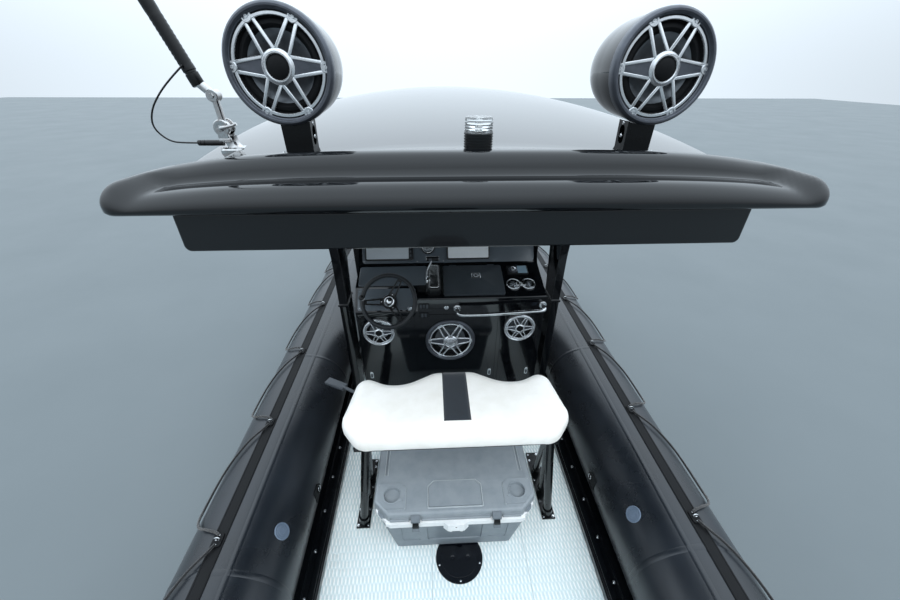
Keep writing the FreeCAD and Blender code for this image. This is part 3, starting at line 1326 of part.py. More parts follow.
AERIAL_CABLE_R = 2.5
POST_R = 20.0
SLEEVE_R = 9.0
SLEEVE_X = AERIAL_BASE.x - 115.0     # outer end of the sleeve that takes the lead
SLEEVE_Z = AERIAL_FOOT.z + 22.0
AERIAL_CABLE_ROUTE = (
    V(-812.0, -1101.3, 2466.0),
    V(-850.0, -1107.0, 2437.0),
    V(-897.0, -1111.0, 2397.0),
    V(-938.0, -1112.0, 2351.0),
    V(-957.0, -1106.0, 2303.0),
    V(-930.0, -1092.0, 2262.0),
    V(-890.0, AERIAL_BASE.y, SLEEVE_Z),
    V(SLEEVE_X, AERIAL_BASE.y, SLEEVE_Z),
)


def aerial_cable():
    """Aerial lead from the pole to the sleeve on the mount."""
    return smooth_rope(AERIAL_CABLE_ROUTE, AERIAL_CABLE_R, True)


def cable_gland():
    """Sleeve on the mount's post that takes the aerial lead."""
    reach = AERIAL_BASE.x - SLEEVE_X
    sleeve = disc(V(SLEEVE_X, AERIAL_BASE.y, SLEEVE_Z), V(1, 0, 0), SLEEVE_R, reach)
    return largest(sleeve.cut(mount_neck(SEAT_GAP)).cut(aerial_mount()))


# Outboard engine


def clamp_bracket():
    """Two side plates on the transom with the tilt pin across them."""
    plates = []
    for x0, x1 in (CLAMP_X, (-CLAMP_X[1], -CLAMP_X[0])):
        corners = ((TRANSOM_Y, -60.0, 0.0), (TRANSOM_Y, TRANSOM_NOTCH_Z, 0.0),
                   (TRANSOM_Y + TRANSOM_THICK, TRANSOM_NOTCH_Z, 0.0),
                   (TRANSOM_Y + TRANSOM_THICK, TRANSOM_NOTCH_Z + 30.0, 10.0),
                   (TILT_Y + 20.0, TILT_Z + 42.0, 20.0),
                   (TILT_Y - 40.0, TILT_Z + 30.0, 20.0), (TILT_Y - 46.0, TILT_Z - 40.0, 30.0),
                   (TRANSOM_Y - 40.0, -60.0, 20.0))
        plates.append(prism(corners, "x", x0, x1))
    pin = rod(V(-CLAMP_X[1] - 12.0, TILT_Y, TILT_Z), V(CLAMP_X[1] + 12.0, TILT_Y, TILT_Z), TILT_PIN_R)
    return joined(plates + [pin])


def swivel_bracket():
    """Arms from the tilt pin back to the upright steering housing."""
    arm_x = CLAMP_X[0] - 7.0
    arms = []
    for x0, x1 in ((55.0, arm_x), (-arm_x, -55.0)):
        corners = ((TILT_Y + 26.0, TILT_Z - 22.0, 16.0), (TILT_Y + 26.0, TILT_Z + 26.0, 20.0),
                   (TILT_Y - 40.0, TILT_Z + 30.0, 0.0),
                   (KING_Y + 10.0, TILT_Z + 10.0, 0.0), (KING_Y + 10.0, 160.0, 0.0),
                   (TILT_Y - 20.0, TILT_Z - 60.0, 20.0))
        arms.append(prism(corners, "x", x0, x1))
    web = box((-arm_x, arm_x), (KING_Y + 5.0, KING_Y + 45.0), (-20.0, TILT_Z + 10.0))
    housing = rod(V(0, KING_Y, -80.0), V(0, KING_Y, TILT_Z + 20.0), HOUSING_R)
    bore = rod(V(0, KING_Y, -200.0), V(0, KING_Y, 700.0), KING_R + SEAT_GAP)
    pin_bore = rod(V(-300.0, TILT_Y, TILT_Z), V(300.0, TILT_Y, TILT_Z), TILT_PIN_R + SEAT_GAP)
    return joined(arms + [web, housing]).cut(bore).cut(pin_bore)


def level_section(row, inset=0.0, z_shift=0.0):
    """Closed wire of one level section of the engine's casing, drawn in by inset."""
    z, y0, y1, half, radius = row
    wire = outline(rounded_rectangle(-half + inset, half - inset, y0 + inset, y1 - inset, radius - inset))
    wire.translate(V(0, 0, z + z_shift))
    return wire


def cowl():
    """Engine cover, open at the bottom where it sits on the pan."""
    outer = Part.makeLoft([level_section(row) for row in COWL_SECTIONS], True)
    top = COWL_SECTIONS[-1][0]
    outer = round_edges(outer, 16.0, lambda e: e.BoundBox.ZMin > top - 0.1)
    inner = [level_section(row, COWL_WALL) for row in COWL_SECTIONS[:-1]]
    inner.append(level_section(COWL_SECTIONS[-1], COWL_WALL * 3, -COWL_WALL * 1.5))
    return outer.cut(Part.makeLoft(inner, True))


def powerhead():
    """Engine block inside the cowl, standing on the pan."""
    base = COWL_SECTIONS[0][0] + SEAT_GAP
    return box((-POWERHEAD_HALF_W, POWERHEAD_HALF_W), POWERHEAD_Y, (base, POWERHEAD_TOP))


def lens_plan(y0, y1, half, z):
    """Wire of a pointed-oval section."""
    middle = (y0 + y1) / 2 + (y1 - y0) * 0.08
    a = V(0, y0, z)
    b = V(0, y1, z)
    right = Part.Arc(b, V(half, middle, z), a).toShape()
    left = Part.Arc(a, V(-half, middle, z), b).toShape()
    return Part.Wire([right, left])


def drive_leg():
    """Midsection, gearcase, anti-ventilation plate, skeg and king pin as one rigid piece."""
    front = KING_Y - HOUSING_R - 12.0
    mid = prism(((-85.0, -3930.0, 45.0), (85.0, -3930.0, 45.0), (95.0, front, 16.0), (-95.0, front, 16.0)),
                "z", PLATE_AV_Z, 400.0)
    pan = Part.makeLoft([level_section(PAN_SECTION), level_section(COWL_SECTIONS[0])], True)
    king = rod(V(0, KING_Y, -130.0), V(0, KING_Y, 420.0), KING_R)
    upper_yoke = box((-75.0, 75.0), (front - 40.0, KING_Y + 45.0), (TILT_Z + 30.0, 402.0))
    lower_yoke = box((-60.0, 60.0), (front - 40.0, KING_Y + 40.0), (-130.0, -90.0))
    plate = prism(((-120.0, -4060.0, 60.0), (120.0, -4060.0, 60.0), (90.0, -3500.0, 60.0),
                   (-90.0, -3500.0, 60.0)), "z",
                  PLATE_AV_Z - 8.0, PLATE_AV_Z + 6.0)
    strut = Part.makeLoft([lens_plan(-3945.0, -3570.0, 52.0, PROP_Z),
                           lens_plan(-3950.0, -3560.0, 62.0, PLATE_AV_Z)], True, True)
    case = rod(V(0, GEARCASE_Y[0], PROP_Z), V(0, GEARCASE_Y[1] - 120.0, PROP_Z), GEARCASE_R)
    nose = Part.makeCone(GEARCASE_R, 12.0, 120.0, V(0, GEARCASE_Y[1] - 120.0, PROP_Z), V(0, 1, 0))
    skeg = prism(((-3930.0, PROP_Z, 0.0), (-3915.0, SKEG_Z, 20.0), (-3800.0, SKEG_Z, 30.0),
                  (-3640.0, PROP_Z - 40.0, 0.0),
                  (-3640.0, PROP_Z, 0.0)), "x", -7.0, 7.0)
    return joined([mid, pan, king, upper_yoke, lower_yoke, plate, strut, case, nose, skeg])


# Blade sections: distance from the shaft, chord, thickness, pitch angle
BLADE_SECTIONS = ((45.0, 96.0, 14.0, 58.0), (110.0, 132.0, 9.0, 38.0), (165.0, 112.0, 6.0, 28.0),
                  (197.0, 46.0, 3.0, 24.0))
BLADE_COUNT = 3


def blade():
    """Twisted blade that stands up from the shaft."""
    wires = []
    for reach, chord, thick, pitch in BLADE_SECTIONS:
        a = V(-chord / 2, 0, reach)
        b = V(chord / 2, 0, reach)
        sides = (Part.Arc(a, V(0, thick / 2, reach), b), Part.Arc(b, V(0, -thick / 2, reach), a))
        wire = Part.Wire([side.toShape() for side in sides])
        wire.rotate(V(0, 0, 0), V(0, 0, 1), pitch)
        wires.append(wire)
    return Part.makeLoft(wires, True)


def propeller():
    """Three-bladed propeller with a through-hub exhaust."""
    front = GEARCASE_Y[0] - SEAT_GAP
    aft = front - PROP_HUB_LENGTH
    ring = rod(V(0, aft - 1.0, PROP_Z), V(0, aft + 45.0, PROP_Z), PROP_HUB_R - 7.0)
    core = rod(V(0, aft, PROP_Z), V(0, aft + 60.0, PROP_Z), PROP_HUB_R * 0.5)
    pieces = [rod(V(0, aft, PROP_Z), V(0, front, PROP_Z), PROP_HUB_R).cut(ring), core]
    for i in range(BLADE_COUNT):
        vane = blade()
        vane.rotate(V(0, 0, 0), V(0, 1, 0), 360.0 / BLADE_COUNT * i)
        vane.translate(V(0, (front + aft) / 2, PROP_Z))
        pieces.append(vane.cut(rod(V(0, aft - 50.0, PROP_Z), V(0, front + 50.0, PROP_Z), PROP_HUB_R - 5.0)))
    reach = rod(V(0, aft, PROP_Z), V(0, front, PROP_Z), PROP_R)
    return joined(pieces).common(reach)


VALVES = ((-1420.0, -49.0, 39.0, 5.0), (900.0, -49.0, 39.0, 5.0))
RINGS = ((-1120.0, -88.0, 44.0, 5.0), (180.0, -62.0, 44.0, 5.0), (1500.0, -62.0, 44.0, 5.0))


def make_nodes():
    """Every node's shape by its name."""
    starboard = {
        "tube": tube(), "lifeline_band": lifeline_band(), "rub_strake": rub_strake(), "lifeline": lifeline(),
        "side_rail": side_rail(), "t_top_support": t_top_support(),
    }
    nodes = {}
    for name, shape in starboard.items():
        nodes[name + "_starboard"] = shape
        nodes[name + "_port"] = mirrored(shape)
    for maker in (hull, deck_sheet, foredeck, transom, bow_eye, stern_eyes, inspection_plate, lifeline_eyes,
                  post_frame, seat_cushion, seat_handle, chest_body, chest_trim, chest_lid, chest_latches,
                  console, glovebox_lid, cup_holders, stereo_remote, throttle, displays, compass,
                  console_speakers,
                  grab_rail, windscreen, front_cushions, steering_wheel, helm_boss, hardtop, electronics_box,
                  speaker_pods, pod_grilles, pod_brackets, stern_light, light_lens, aerial_mount, aerial,
                  aerial_cable, cable_gland,
                  clamp_bracket, swivel_bracket, cowl, powerhead, drive_leg, propeller):
        nodes[maker.__name__] = maker()
    nodes["tube_valves"] = tube_patches(VALVES)
    nodes["tube_rings"] = tube_patches(RINGS)
    return nodes


os.makedirs("parts", exist_ok=True)
for node_name, node_shape in make_nodes().items():
    if not node_shape.isValid():
        print("not valid:", node_name)
    print(node_name, len(node_shape.Solids), round(node_shape.Volume / 1e6, 3))
    node_shape.exportStep("parts/" + node_name + ".step")
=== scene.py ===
"""Finished surfaces of a rigid inflatable boat with hardtop, centre console and outboard engine.

Metres. +X is starboard, +Y is the bow, +Z is up. The origin is the middle of the boat at the waterline.
"""
import logging
import math
from collections.abc import Callable, Iterator
from contextlib import contextmanager
from dataclasses import dataclass, field
from enum import Enum

import bmesh
import bpy
import numpy as np
from mathutils import Matrix, Vector


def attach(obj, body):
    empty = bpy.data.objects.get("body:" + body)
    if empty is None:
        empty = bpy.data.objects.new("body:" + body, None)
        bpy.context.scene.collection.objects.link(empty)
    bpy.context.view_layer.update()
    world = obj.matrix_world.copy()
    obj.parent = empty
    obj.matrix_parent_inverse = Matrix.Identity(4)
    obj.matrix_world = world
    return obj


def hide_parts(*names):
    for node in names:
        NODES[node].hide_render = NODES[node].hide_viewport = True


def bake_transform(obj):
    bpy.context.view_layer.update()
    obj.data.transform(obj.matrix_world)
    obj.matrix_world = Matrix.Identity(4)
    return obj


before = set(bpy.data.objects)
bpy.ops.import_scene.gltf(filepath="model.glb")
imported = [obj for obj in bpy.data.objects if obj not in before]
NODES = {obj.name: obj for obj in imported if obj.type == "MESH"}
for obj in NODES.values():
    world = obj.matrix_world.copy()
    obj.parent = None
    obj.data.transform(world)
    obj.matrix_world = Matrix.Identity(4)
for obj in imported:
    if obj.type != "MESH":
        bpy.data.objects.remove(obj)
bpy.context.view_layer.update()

DROP_LENGTH = 3.9                # of a non-skid drop, as a multiple of its width
LOG = logging.getLogger("boat")
Points = np.ndarray
Corner = tuple[float, float, float]
Socket = bpy.types.NodeSocket


# Colour and surface finishes


def linear(colour: str) -> tuple[float, float, float, float]:
    """sRGB hex colour as linear RGBA: c / 12.92 near black, ((c + 0.055) / 1.055) ** 2.4 above.

    Args:
        colour: six hex digits after a hash sign.

    Returns:
        Red, green, blue and an alpha of 1.
    """
    raw = [int(colour[i:i + 2], 16) / 255 for i in (1, 3, 5)]
    rgb = [c / 12.92 if c <= 0.04045 else ((c + 0.055) / 1.055) ** 2.4 for c in raw]
    return (*rgb, 1.0)


def add_node(tree: bpy.types.NodeTree, kind: str, settings: dict | None = None,
             links: dict | None = None) -> bpy.types.Node:
    """Adds one node; settings go to its sockets or its properties, links come from other nodes' sockets.

    Args:
        tree: the material's node tree.
        kind: Blender's name of the node type.
        settings: value by socket name, socket number or property name.
        links: output socket by the name or number of the input that it feeds.

    Returns:
        The new node.
    """
    node = tree.nodes.new(kind)
    for key, value in (settings or {}).items():
        if isinstance(key, int) or key in node.inputs:
            node.inputs[key].default_value = value
        else:
            setattr(node, key, value)
    for key, source in (links or {}).items():
        tree.links.new(source, node.inputs[key])
    return node


def calculated(tree: bpy.types.NodeTree, operation: str, *inputs: float | Socket) -> Socket:
    """Output of a Math node, with a number or another node's socket for each input."""
    numbers = {key: value for key, value in enumerate(inputs) if isinstance(value, float)}
    sockets = {key: value for key, value in enumerate(inputs) if key not in numbers}
    return add_node(tree, "ShaderNodeMath", {"operation": operation, **numbers}, sockets).outputs[0]


def ranged(tree: bpy.types.NodeTree, value: Socket, source: tuple[float, float],
           target: tuple[float, float] = (0.0, 1.0), curve: str = "LINEAR") -> Socket:
    """Output of a Map Range node, which takes the source span to the target span and stops at its ends."""
    spans = dict(zip(("From Min", "From Max", "To Min", "To Max"), source + target))
    return add_node(tree, "ShaderNodeMapRange", {"interpolation_type": curve, **spans},
                    {"Value": value}).outputs["Result"]


class Grain(Enum):
    """What the fine relief of a finish looks like."""

    NONE = "none"
    SPECKLE = "speckle"          # moulded plastic, powder coat
    PEEL = "peel"                # sprayed or moulded gelcoat
    LEATHER = "leather"          # embossed vinyl
    CLOTH = "cloth"              # woven base cloth that shows through a coating
    BRAID = "braid"              # rope, along its own UV
    NON_SKID = "non_skid"        # moulded drops in staggered rows
    BRUSHED = "brushed"          # drawn or polished metal


@dataclass(frozen=True)
class Finish:
    """One real material: its colour, gloss and relief.

    Attributes:
        name: the material's name in the file.
        colour: sRGB hex.
        roughness: of the bare surface.
        metallic, ior, coat, coat_roughness, sheen, specular, transmission: the shader's inputs of that name.
        tint: sRGB hex of the colour that dirt, fading or tarnish brings in patches.
        tint_share: how much of it, from 0 to 1.
        patch: size of those patches in metres.
        grain: what the relief is.
        pitch: size of one grain, thread or drop in metres.
        relief: height of the relief in metres.
        gloss_spread: how much the roughness varies from patch to patch.
        uv: the relief follows the surface's UV in place of the object's axes.
        valley_shade: sRGB hex of the painted shade that darkens the hollows between the grains.
        valley_shade_share: how much of it at their lowest, from 0 to 1.
    """

    name: str
    colour: str
    roughness: float
    metallic: float = 0.0
    ior: float = 1.5
    coat: float = 0.0
    coat_roughness: float = 0.05
    sheen: float = 0.0
    specular: float = 0.5
    transmission: float = 0.0
    tint: str = ""
    tint_share: float = 0.5
    patch: float = 0.12
    grain: Grain = Grain.SPECKLE
    pitch: float = 0.002
    relief: float = 0.00005
    gloss_spread: float = 0.06
    uv: bool = False
    valley_shade: str = ""
    valley_shade_share: float = 0.5

    def build(self) -> bpy.types.Material:
        """The finish as a material, made once."""
        label = self.name + "_finish"
        made = bpy.data.materials.get(label)
        if not made:
            made = bpy.data.materials.new(label)
            made.use_nodes = True
            self.wire(made.node_tree)
        return made

    def wire(self, tree: bpy.types.NodeTree) -> None:
        """Sets the shader's constants; patches lead its colour and roughness, and the relief its normal."""
        shader = tree.nodes["Principled BSDF"]
        constants = {
            "Metallic": self.metallic, "IOR": self.ior, "Coat Weight": self.coat,
            "Coat Roughness": self.coat_roughness, "Sheen Weight": self.sheen,
            "Specular IOR Level": self.specular, "Transmission Weight": self.transmission,
        }
        for socket, value in constants.items():
            shader.inputs[socket].default_value = value
        where = add_node(tree, "ShaderNodeTexCoord")
        place = where.outputs["UV" if self.uv else "Object"]
        patches = add_node(tree, "ShaderNodeTexNoise", {"Scale": 1 / self.patch, "Detail": 5.0, "Roughness": 0.6},
                           {"Vector": where.outputs["Object"]})
        share = ranged(tree, patches.outputs["Fac"], (0.38, 0.72), (0.0, self.tint_share))
        colour = add_node(tree, "ShaderNodeMix", {"data_type": "RGBA", 6: linear(self.colour),
                                                  7: linear(self.tint or self.colour)}, {0: share})
        tree.links.new(colour.outputs[2], shader.inputs["Base Color"])
        spread = self.gloss_spread / 2
        gloss = ranged(tree, patches.outputs["Fac"], (0.3, 0.7),
                       (max(0.02, self.roughness - spread), self.roughness + spread))
        tree.links.new(gloss, shader.inputs["Roughness"])
        height = self.height(tree, place)
        # Painted shade: where the relief is low, the colour is mixed towards the valley shade, darkest at the bottom
        # of each hollow.
        if height and self.valley_shade:
            low = ranged(tree, height, (0.0, 0.7), (self.valley_shade_share, 0.0))
            shaded = add_node(tree, "ShaderNodeMix", {"data_type": "RGBA", 7: linear(self.valley_shade)},
                              {0: low, 6: colour.outputs[2]})
            tree.links.new(shaded.outputs[2], shader.inputs["Base Color"])
        if height:
            bump = add_node(tree, "ShaderNodeBump", {"Distance": self.relief, "Strength": 1.0}, {"Height": height})
            tree.links.new(bump.outputs["Normal"], shader.inputs["Normal"])

    def height(self, tree: bpy.types.NodeTree, place: Socket) -> Socket | None:
        """Nodes of the relief, from 0 to 1.

        Args:
            tree: the material's node tree.
            place: coordinates in metres.

        Returns:
            The socket that gives the height, or None for a finish without relief.
        """
        if self.grain is Grain.NONE:
            return None
        if self.grain in (Grain.SPECKLE, Grain.PEEL):
            detail = 3.0 if self.grain is Grain.SPECKLE else 0.5
            return add_node(tree, "ShaderNodeTexNoise", {"Scale": 1 / self.pitch, "Detail": detail},
                            {"Vector": place}).outputs["Fac"]
        if self.grain is Grain.LEATHER:
            cells = add_node(tree, "ShaderNodeTexVoronoi", {"Scale": 1 / self.pitch, "feature": "DISTANCE_TO_EDGE"},
                             {"Vector": place})
            return ranged(tree, cells.outputs[0], (0.0, 0.25))
        if self.grain is Grain.BRUSHED:
            stretch = add_node(tree, "ShaderNodeMapping", {"Scale": (1.0, 0.05, 1.0)}, {"Vector": place})
            return add_node(tree, "ShaderNodeTexNoise", {"Scale": 1 / self.pitch, "Detail": 2.0},
                            {"Vector": stretch.outputs[0]}).outputs["Fac"]
        return self.crossed_waves(tree, place)

    def crossed_waves(self, tree: bpy.types.NodeTree, place: Socket) -> Socket:
        """Relief of threads, plaits or drops: sin(2 pi u / a) * sin(2 pi v / b), lifted to 0..1.

        Cloth takes a = b = pitch. A braid turns the threads by 45 degrees. Non-skid drops are longer than they
        are wide and lean a little, so u has a small share of v.

        Args:
            tree: the material's node tree.
            place: coordinates in metres.

        Returns:
            The socket that gives the height.
        """
        drops = self.grain is Grain.NON_SKID
        lean = {Grain.NON_SKID: 0.10, Grain.BRAID: 1.0}.get(self.grain, 0.0)
        x, y, _ = add_node(tree, "ShaderNodeSeparateXYZ", {}, {0: place}).outputs
        second = (y, x, self.pitch * DROP_LENGTH, 0.0) if drops else (y, x, self.pitch, -lean)
        waves = []
        for along, across, pitch, slant in ((x, y, self.pitch, lean), second):
            turned = calculated(tree, "ADD", along, calculated(tree, "MULTIPLY", across, slant))
            phase = calculated(tree, "MULTIPLY", turned, 2 * math.pi / pitch)
            waves.append(calculated(tree, "SINE", phase))
        return ranged(tree, calculated(tree, "MULTIPLY", *waves), (-0.2, 0.9) if drops else (-1.0, 1.0))


# PVC or CSM coated cloth, calendered: charcoal with a soft satin gloss. Its threads are 0.6 mm apart and are
# drawn three times as coarse.
TUBE_FABRIC = Finish("tube_fabric", "#12171d", 0.30, specular=0.6, sheen=0.05, tint="#1a212a", tint_share=0.7,
                     patch=0.35, grain=Grain.CLOTH, pitch=0.0018, gloss_spread=0.12, uv=True)
# Extruded rubber and reinforcing tape: flat black
TRIM_RUBBER = Finish("tube_trim", "#0b0c0e", 0.6, specular=0.2, tint="#15171a", patch=0.08,
                     grain=Grain.CLOTH, pitch=0.003, relief=0.00008, uv=True)
# Braided polyester rope: matte black with a plait that catches light
BRAIDED_ROPE = Finish("rope", "#0f1012", 0.7, sheen=0.3, tint="#1c1e21", patch=0.03, grain=Grain.BRAID,
                      pitch=0.004, relief=0.0008, uv=True)
# Injection moulded ASA valve cap: blue-grey, weathered
VALVE_PLASTIC = Finish("valve_grey", "#59687a", 0.42, tint="#6b7888", patch=0.02, pitch=0.0015)
# Gelcoat from a polished mould: deep black, mirror gloss with a faint orange peel
GELCOAT = Finish("black_gelcoat", "#07090c", 0.07, coat=0.25, coat_roughness=0.03, tint="#0b0e12", patch=0.4,
                 grain=Grain.PEEL, pitch=0.035, relief=0.00004, gloss_spread=0.05)
# Gelcoat with moulded non-skid drops that repeat every 20 mm across and 78 mm along: chalky white, with painted shade
# in the hollows between the drops
NON_SKID = Finish("deck_white", "#f0f5f5", 0.45, tint="#dfe9eb", tint_share=0.6, patch=0.3,
                  grain=Grain.NON_SKID, pitch=0.020, relief=0.0022, valley_shade="#aec6cc", valley_shade_share=0.7)
# Electropolished stainless steel tube and castings
STAINLESS = Finish("stainless", "#d9dbdd", 0.12, metallic=1.0, tint="#a9aaa8", tint_share=0.35, patch=0.03,
                   grain=Grain.BRUSHED, pitch=0.0012, relief=0.00001)
# Stainless steel with tea-coloured tarnish from salt
TARNISHED = Finish("stainless_tarnished", "#cfd2d3", 0.20, metallic=1.0, tint="#8a5a36", tint_share=0.35,
                   patch=0.010, pitch=0.0015, relief=0.00003)
# Injection moulded nylon and ABS: black, fine spark-eroded texture
MOULDED_BLACK = Finish("black_plastic", "#0a0c0e", 0.32, specular=0.4, tint="#131618", patch=0.05, pitch=0.0012)
# Powder coated aluminium: black, small even orange peel
POWDER_COAT = Finish("black_coating", "#07090b", 0.26, specular=0.3, tint="#0f1215", patch=0.06,
                     pitch=0.0016, relief=0.00004)
# Marine upholstery vinyl, embossed: white. The grain is 1 mm and is drawn four times as coarse.
WHITE_VINYL = Finish("white_vinyl", "#fbfaf6", 0.42, sheen=0.1, tint="#e2dfd6", tint_share=0.5, patch=0.12,
                     grain=Grain.LEATHER, pitch=0.004, relief=0.00012)
# Coated mesh cloth of the seat's stripe: slate
STRIPE_MESH = Finish("slate_mesh", "#20262d", 0.6, sheen=0.2, tint="#2b323a", patch=0.03, grain=Grain.CLOTH,
                     pitch=0.004, relief=0.0003)
# Injection moulded lever: warm grey
LEVER_GREY = Finish("grey_plastic", "#3c4147", 0.5, tint="#4b5157", patch=0.05)
# White ABS: the trim of the ice chest, the light's lamp
CHEST_WHITE = Finish("chest_white", "#dfe2e3", 0.4, tint="#c3c8cb", tint_share=0.6, patch=0.05)
# Vacuum metallised ABS: bright titanium
SPEAKER_SILVER = Finish("speaker_silver", "#e2e5e8", 0.22, metallic=0.8, tint="#c2c6cb", patch=0.02,
                        pitch=0.0008, relief=0.00002)
# Painted ABS with metal flake: gunmetal
GUNMETAL = Finish("gunmetal", "#5a5e66", 0.33, metallic=0.6, tint="#44484e", patch=0.02, grain=Grain.BRUSHED,
                  pitch=0.0009, relief=0.00003)
# Metallised speaker cone
SPEAKER_CONE = Finish("speaker_cone", "#5d6267", 0.3, metallic=0.5, tint="#787d83", patch=0.02, pitch=0.001)
# Cast acrylic, clear
ACRYLIC = Finish("clear_acrylic", "#f4f7f8", 0.05, ior=1.49, transmission=1.0, grain=Grain.NONE, gloss_spread=0.02)
# Soft-touch polyurethane rim
WHEEL_GRIP = Finish("wheel_grip", "#14171a", 0.45, tint="#20252a", patch=0.04, grain=Grain.LEATHER, pitch=0.003,
                    relief=0.00015)
# PVC cable jacket
JACKET = Finish("cable_black", "#0c0d0e", 0.4, tint="#17191b", patch=0.02)
# Engine paint over cast aluminium: black with metal flake under clear coat
ENGINE_PAINT = Finish("engine_paint", "#121519", 0.2, metallic=0.3, coat=0.7, coat_roughness=0.06, tint="#1a1e23",
                      patch=0.2, grain=Grain.PEEL, pitch=0.02, relief=0.00003)
# Cast aluminium, bare
CAST_BLOCK = Finish("engine_block", "#7c8084", 0.5, metallic=0.8, tint="#5b5f63", patch=0.05, pitch=0.004,
                    relief=0.0003)
# Anodised propeller alloy
PROP_METAL = Finish("propeller_metal", "#2a2e33", 0.3, metallic=0.6, tint="#474c52", patch=0.04, pitch=0.003)
# Cover glass of a display that is off: its pale grey colour is a painted reflection of the sky
DISPLAY_GLASS = Finish("display_glass", "#ced5d9", 0.08, coat=1.0, coat_roughness=0.02, tint="#dbe0e4", patch=0.2,
                       grain=Grain.NONE, gloss_spread=0.02)
# Printed white sheet film on a display
WHITE_FILM = Finish("white_film", "#f8fafa", 0.35, tint="#dfe4e6", patch=0.15, grain=Grain.NONE)
# Hard-coated instrument panel: dark grey, satin under a clear film
DASH_PANEL = Finish("dash_panel", "#596168", 0.22, coat=1.0, coat_roughness=0.12, tint="#666e75", patch=0.25,
                    pitch=0.0015, relief=0.00001)
# Moulded lid with a soft satin skin
DASH_LID = Finish("dash_lid", "#33393e", 0.34, specular=0.7, tint="#3f464c", patch=0.12, pitch=0.0015, relief=0.00004)
# Cover glass of the small remote's screen, blue-grey
REMOTE_SCREEN = Finish("remote_screen", "#86a0b0", 0.1, coat=1.0, coat_roughness=0.02, tint="#98b0bd", patch=0.03,
                       grain=Grain.NONE, gloss_spread=0.02)
# Rotomoulded polyethylene of the ice chest, faded by the sun: the box, and its lid, whose paler colour is painted
# light from the sky on its upper face
CHEST_BODY = Finish("chest_body_grey", "#737c83", 0.46, tint="#626c74", tint_share=0.6, patch=0.09, pitch=0.003,
                    relief=0.00012)
CHEST_LID_LIT = Finish("chest_lid_lit_grey", "#889096", 0.40, tint="#737d84", tint_share=0.6, patch=0.07, pitch=0.003,
                   relief=0.00010)
# The same on the lid's ridges and corners, painted lighter as a highlight where their edges catch the light
CHEST_RIM_HIGHLIGHT = Finish("chest_rim_highlight", "#a3abb0", 0.34, tint="#929ba1", patch=0.05)
# Rubber draw latch: mid grey
LATCH_GREY = Finish("latch_grey", "#666e75", 0.5, tint="#575f66", patch=0.02)
# Sealant in the seams of the deck: pale grey
SEAM_GREY = Finish("seam_grey", "#b4c2c7", 0.6, tint="#a3b2b8", patch=0.1)
# Screwed plate: glossy navy black ABS
PLATE_BLACK = Finish("plate_black", "#05070d", 0.2, tint="#0a0d15", patch=0.05, pitch=0.002, relief=0.00002)
# Gloss black extrusion of the side rails
RAIL_BLACK = Finish("rail_black", "#07090c", 0.14, coat=0.3, coat_roughness=0.06, tint="#0c1014", patch=0.1,
                    pitch=0.01, relief=0.00003)
# Painted silver blade on the engine's cover
ENGINE_SILVER = Finish("engine_silver", "#8f959b", 0.28, metallic=0.75, coat=0.5, coat_roughness=0.05, tint="#7b8187",
                       patch=0.1, pitch=0.002, relief=0.00001)
# Plain floor of the studio, the grey of open water
STUDIO_FLOOR = Finish("studio_floor", "#5f686c", 0.55, tint="#586165", tint_share=0.3, patch=1.5, pitch=0.05)


# Shapes as whole arrays of points


def unit(rows: Points) -> Points:
    """Rows scaled to length 1."""
    return rows / np.maximum(np.linalg.norm(rows, axis=-1, keepdims=True), 1e-12)


def spun(degrees: float, axis: str = "Z") -> Matrix:
    """Turn about a local axis."""
    return Matrix.Rotation(math.radians(degrees), 4, axis)


def circle(steps: int) -> Points:
    """Angles round a full turn, in radians, without the last, which is the first again."""
    return np.linspace(0, 2 * math.pi, steps, endpoint=False)


def joined(*parts: Points | float) -> Points:
    """Coordinates, broadcast against each other, as the last axis of one array."""
    return np.stack(np.broadcast_arrays(*parts), -1)


def at_height(flat: Points, z: float) -> Points:
    """Points (n, 2) of a plane lifted to one height, as (n, 3)."""
    return joined(flat[:, 0], flat[:, 1], z)


def inset_corners(corners: list[Corner], depth: float) -> list[Corner]:
    """Polygon drawn in by depth: each corner moves along its bisector by depth / sin(half angle).

    Args:
        corners: anticlockwise rows of x, y and corner radius.
        depth: how far each side moves inwards; negative grows the polygon.

    Returns:
        The moved corners, with radii that shrink by depth where they are convex.
    """
    xy = np.array([c[:2] for c in corners])
    ahead = unit(np.roll(xy, -1, 0) - xy)
    behind = unit(xy - np.roll(xy, 1, 0))
    normal = joined(-ahead[:, 1], ahead[:, 0])
    last = joined(-behind[:, 1], behind[:, 0])
    middle = unit(normal + last)
    reach = depth / np.maximum((middle * normal).sum(1), 0.2)
    cross = behind[:, 0] * ahead[:, 1] - behind[:, 1] * ahead[:, 0]
    moved = xy + middle * reach[:, None]
    radii = [max(1e-4, c[2] - depth) if k > 0 else max(1e-4, c[2] + depth) for c, k in zip(corners, cross)]
    return [(x, y, r) for (x, y), r in zip(moved, radii)]


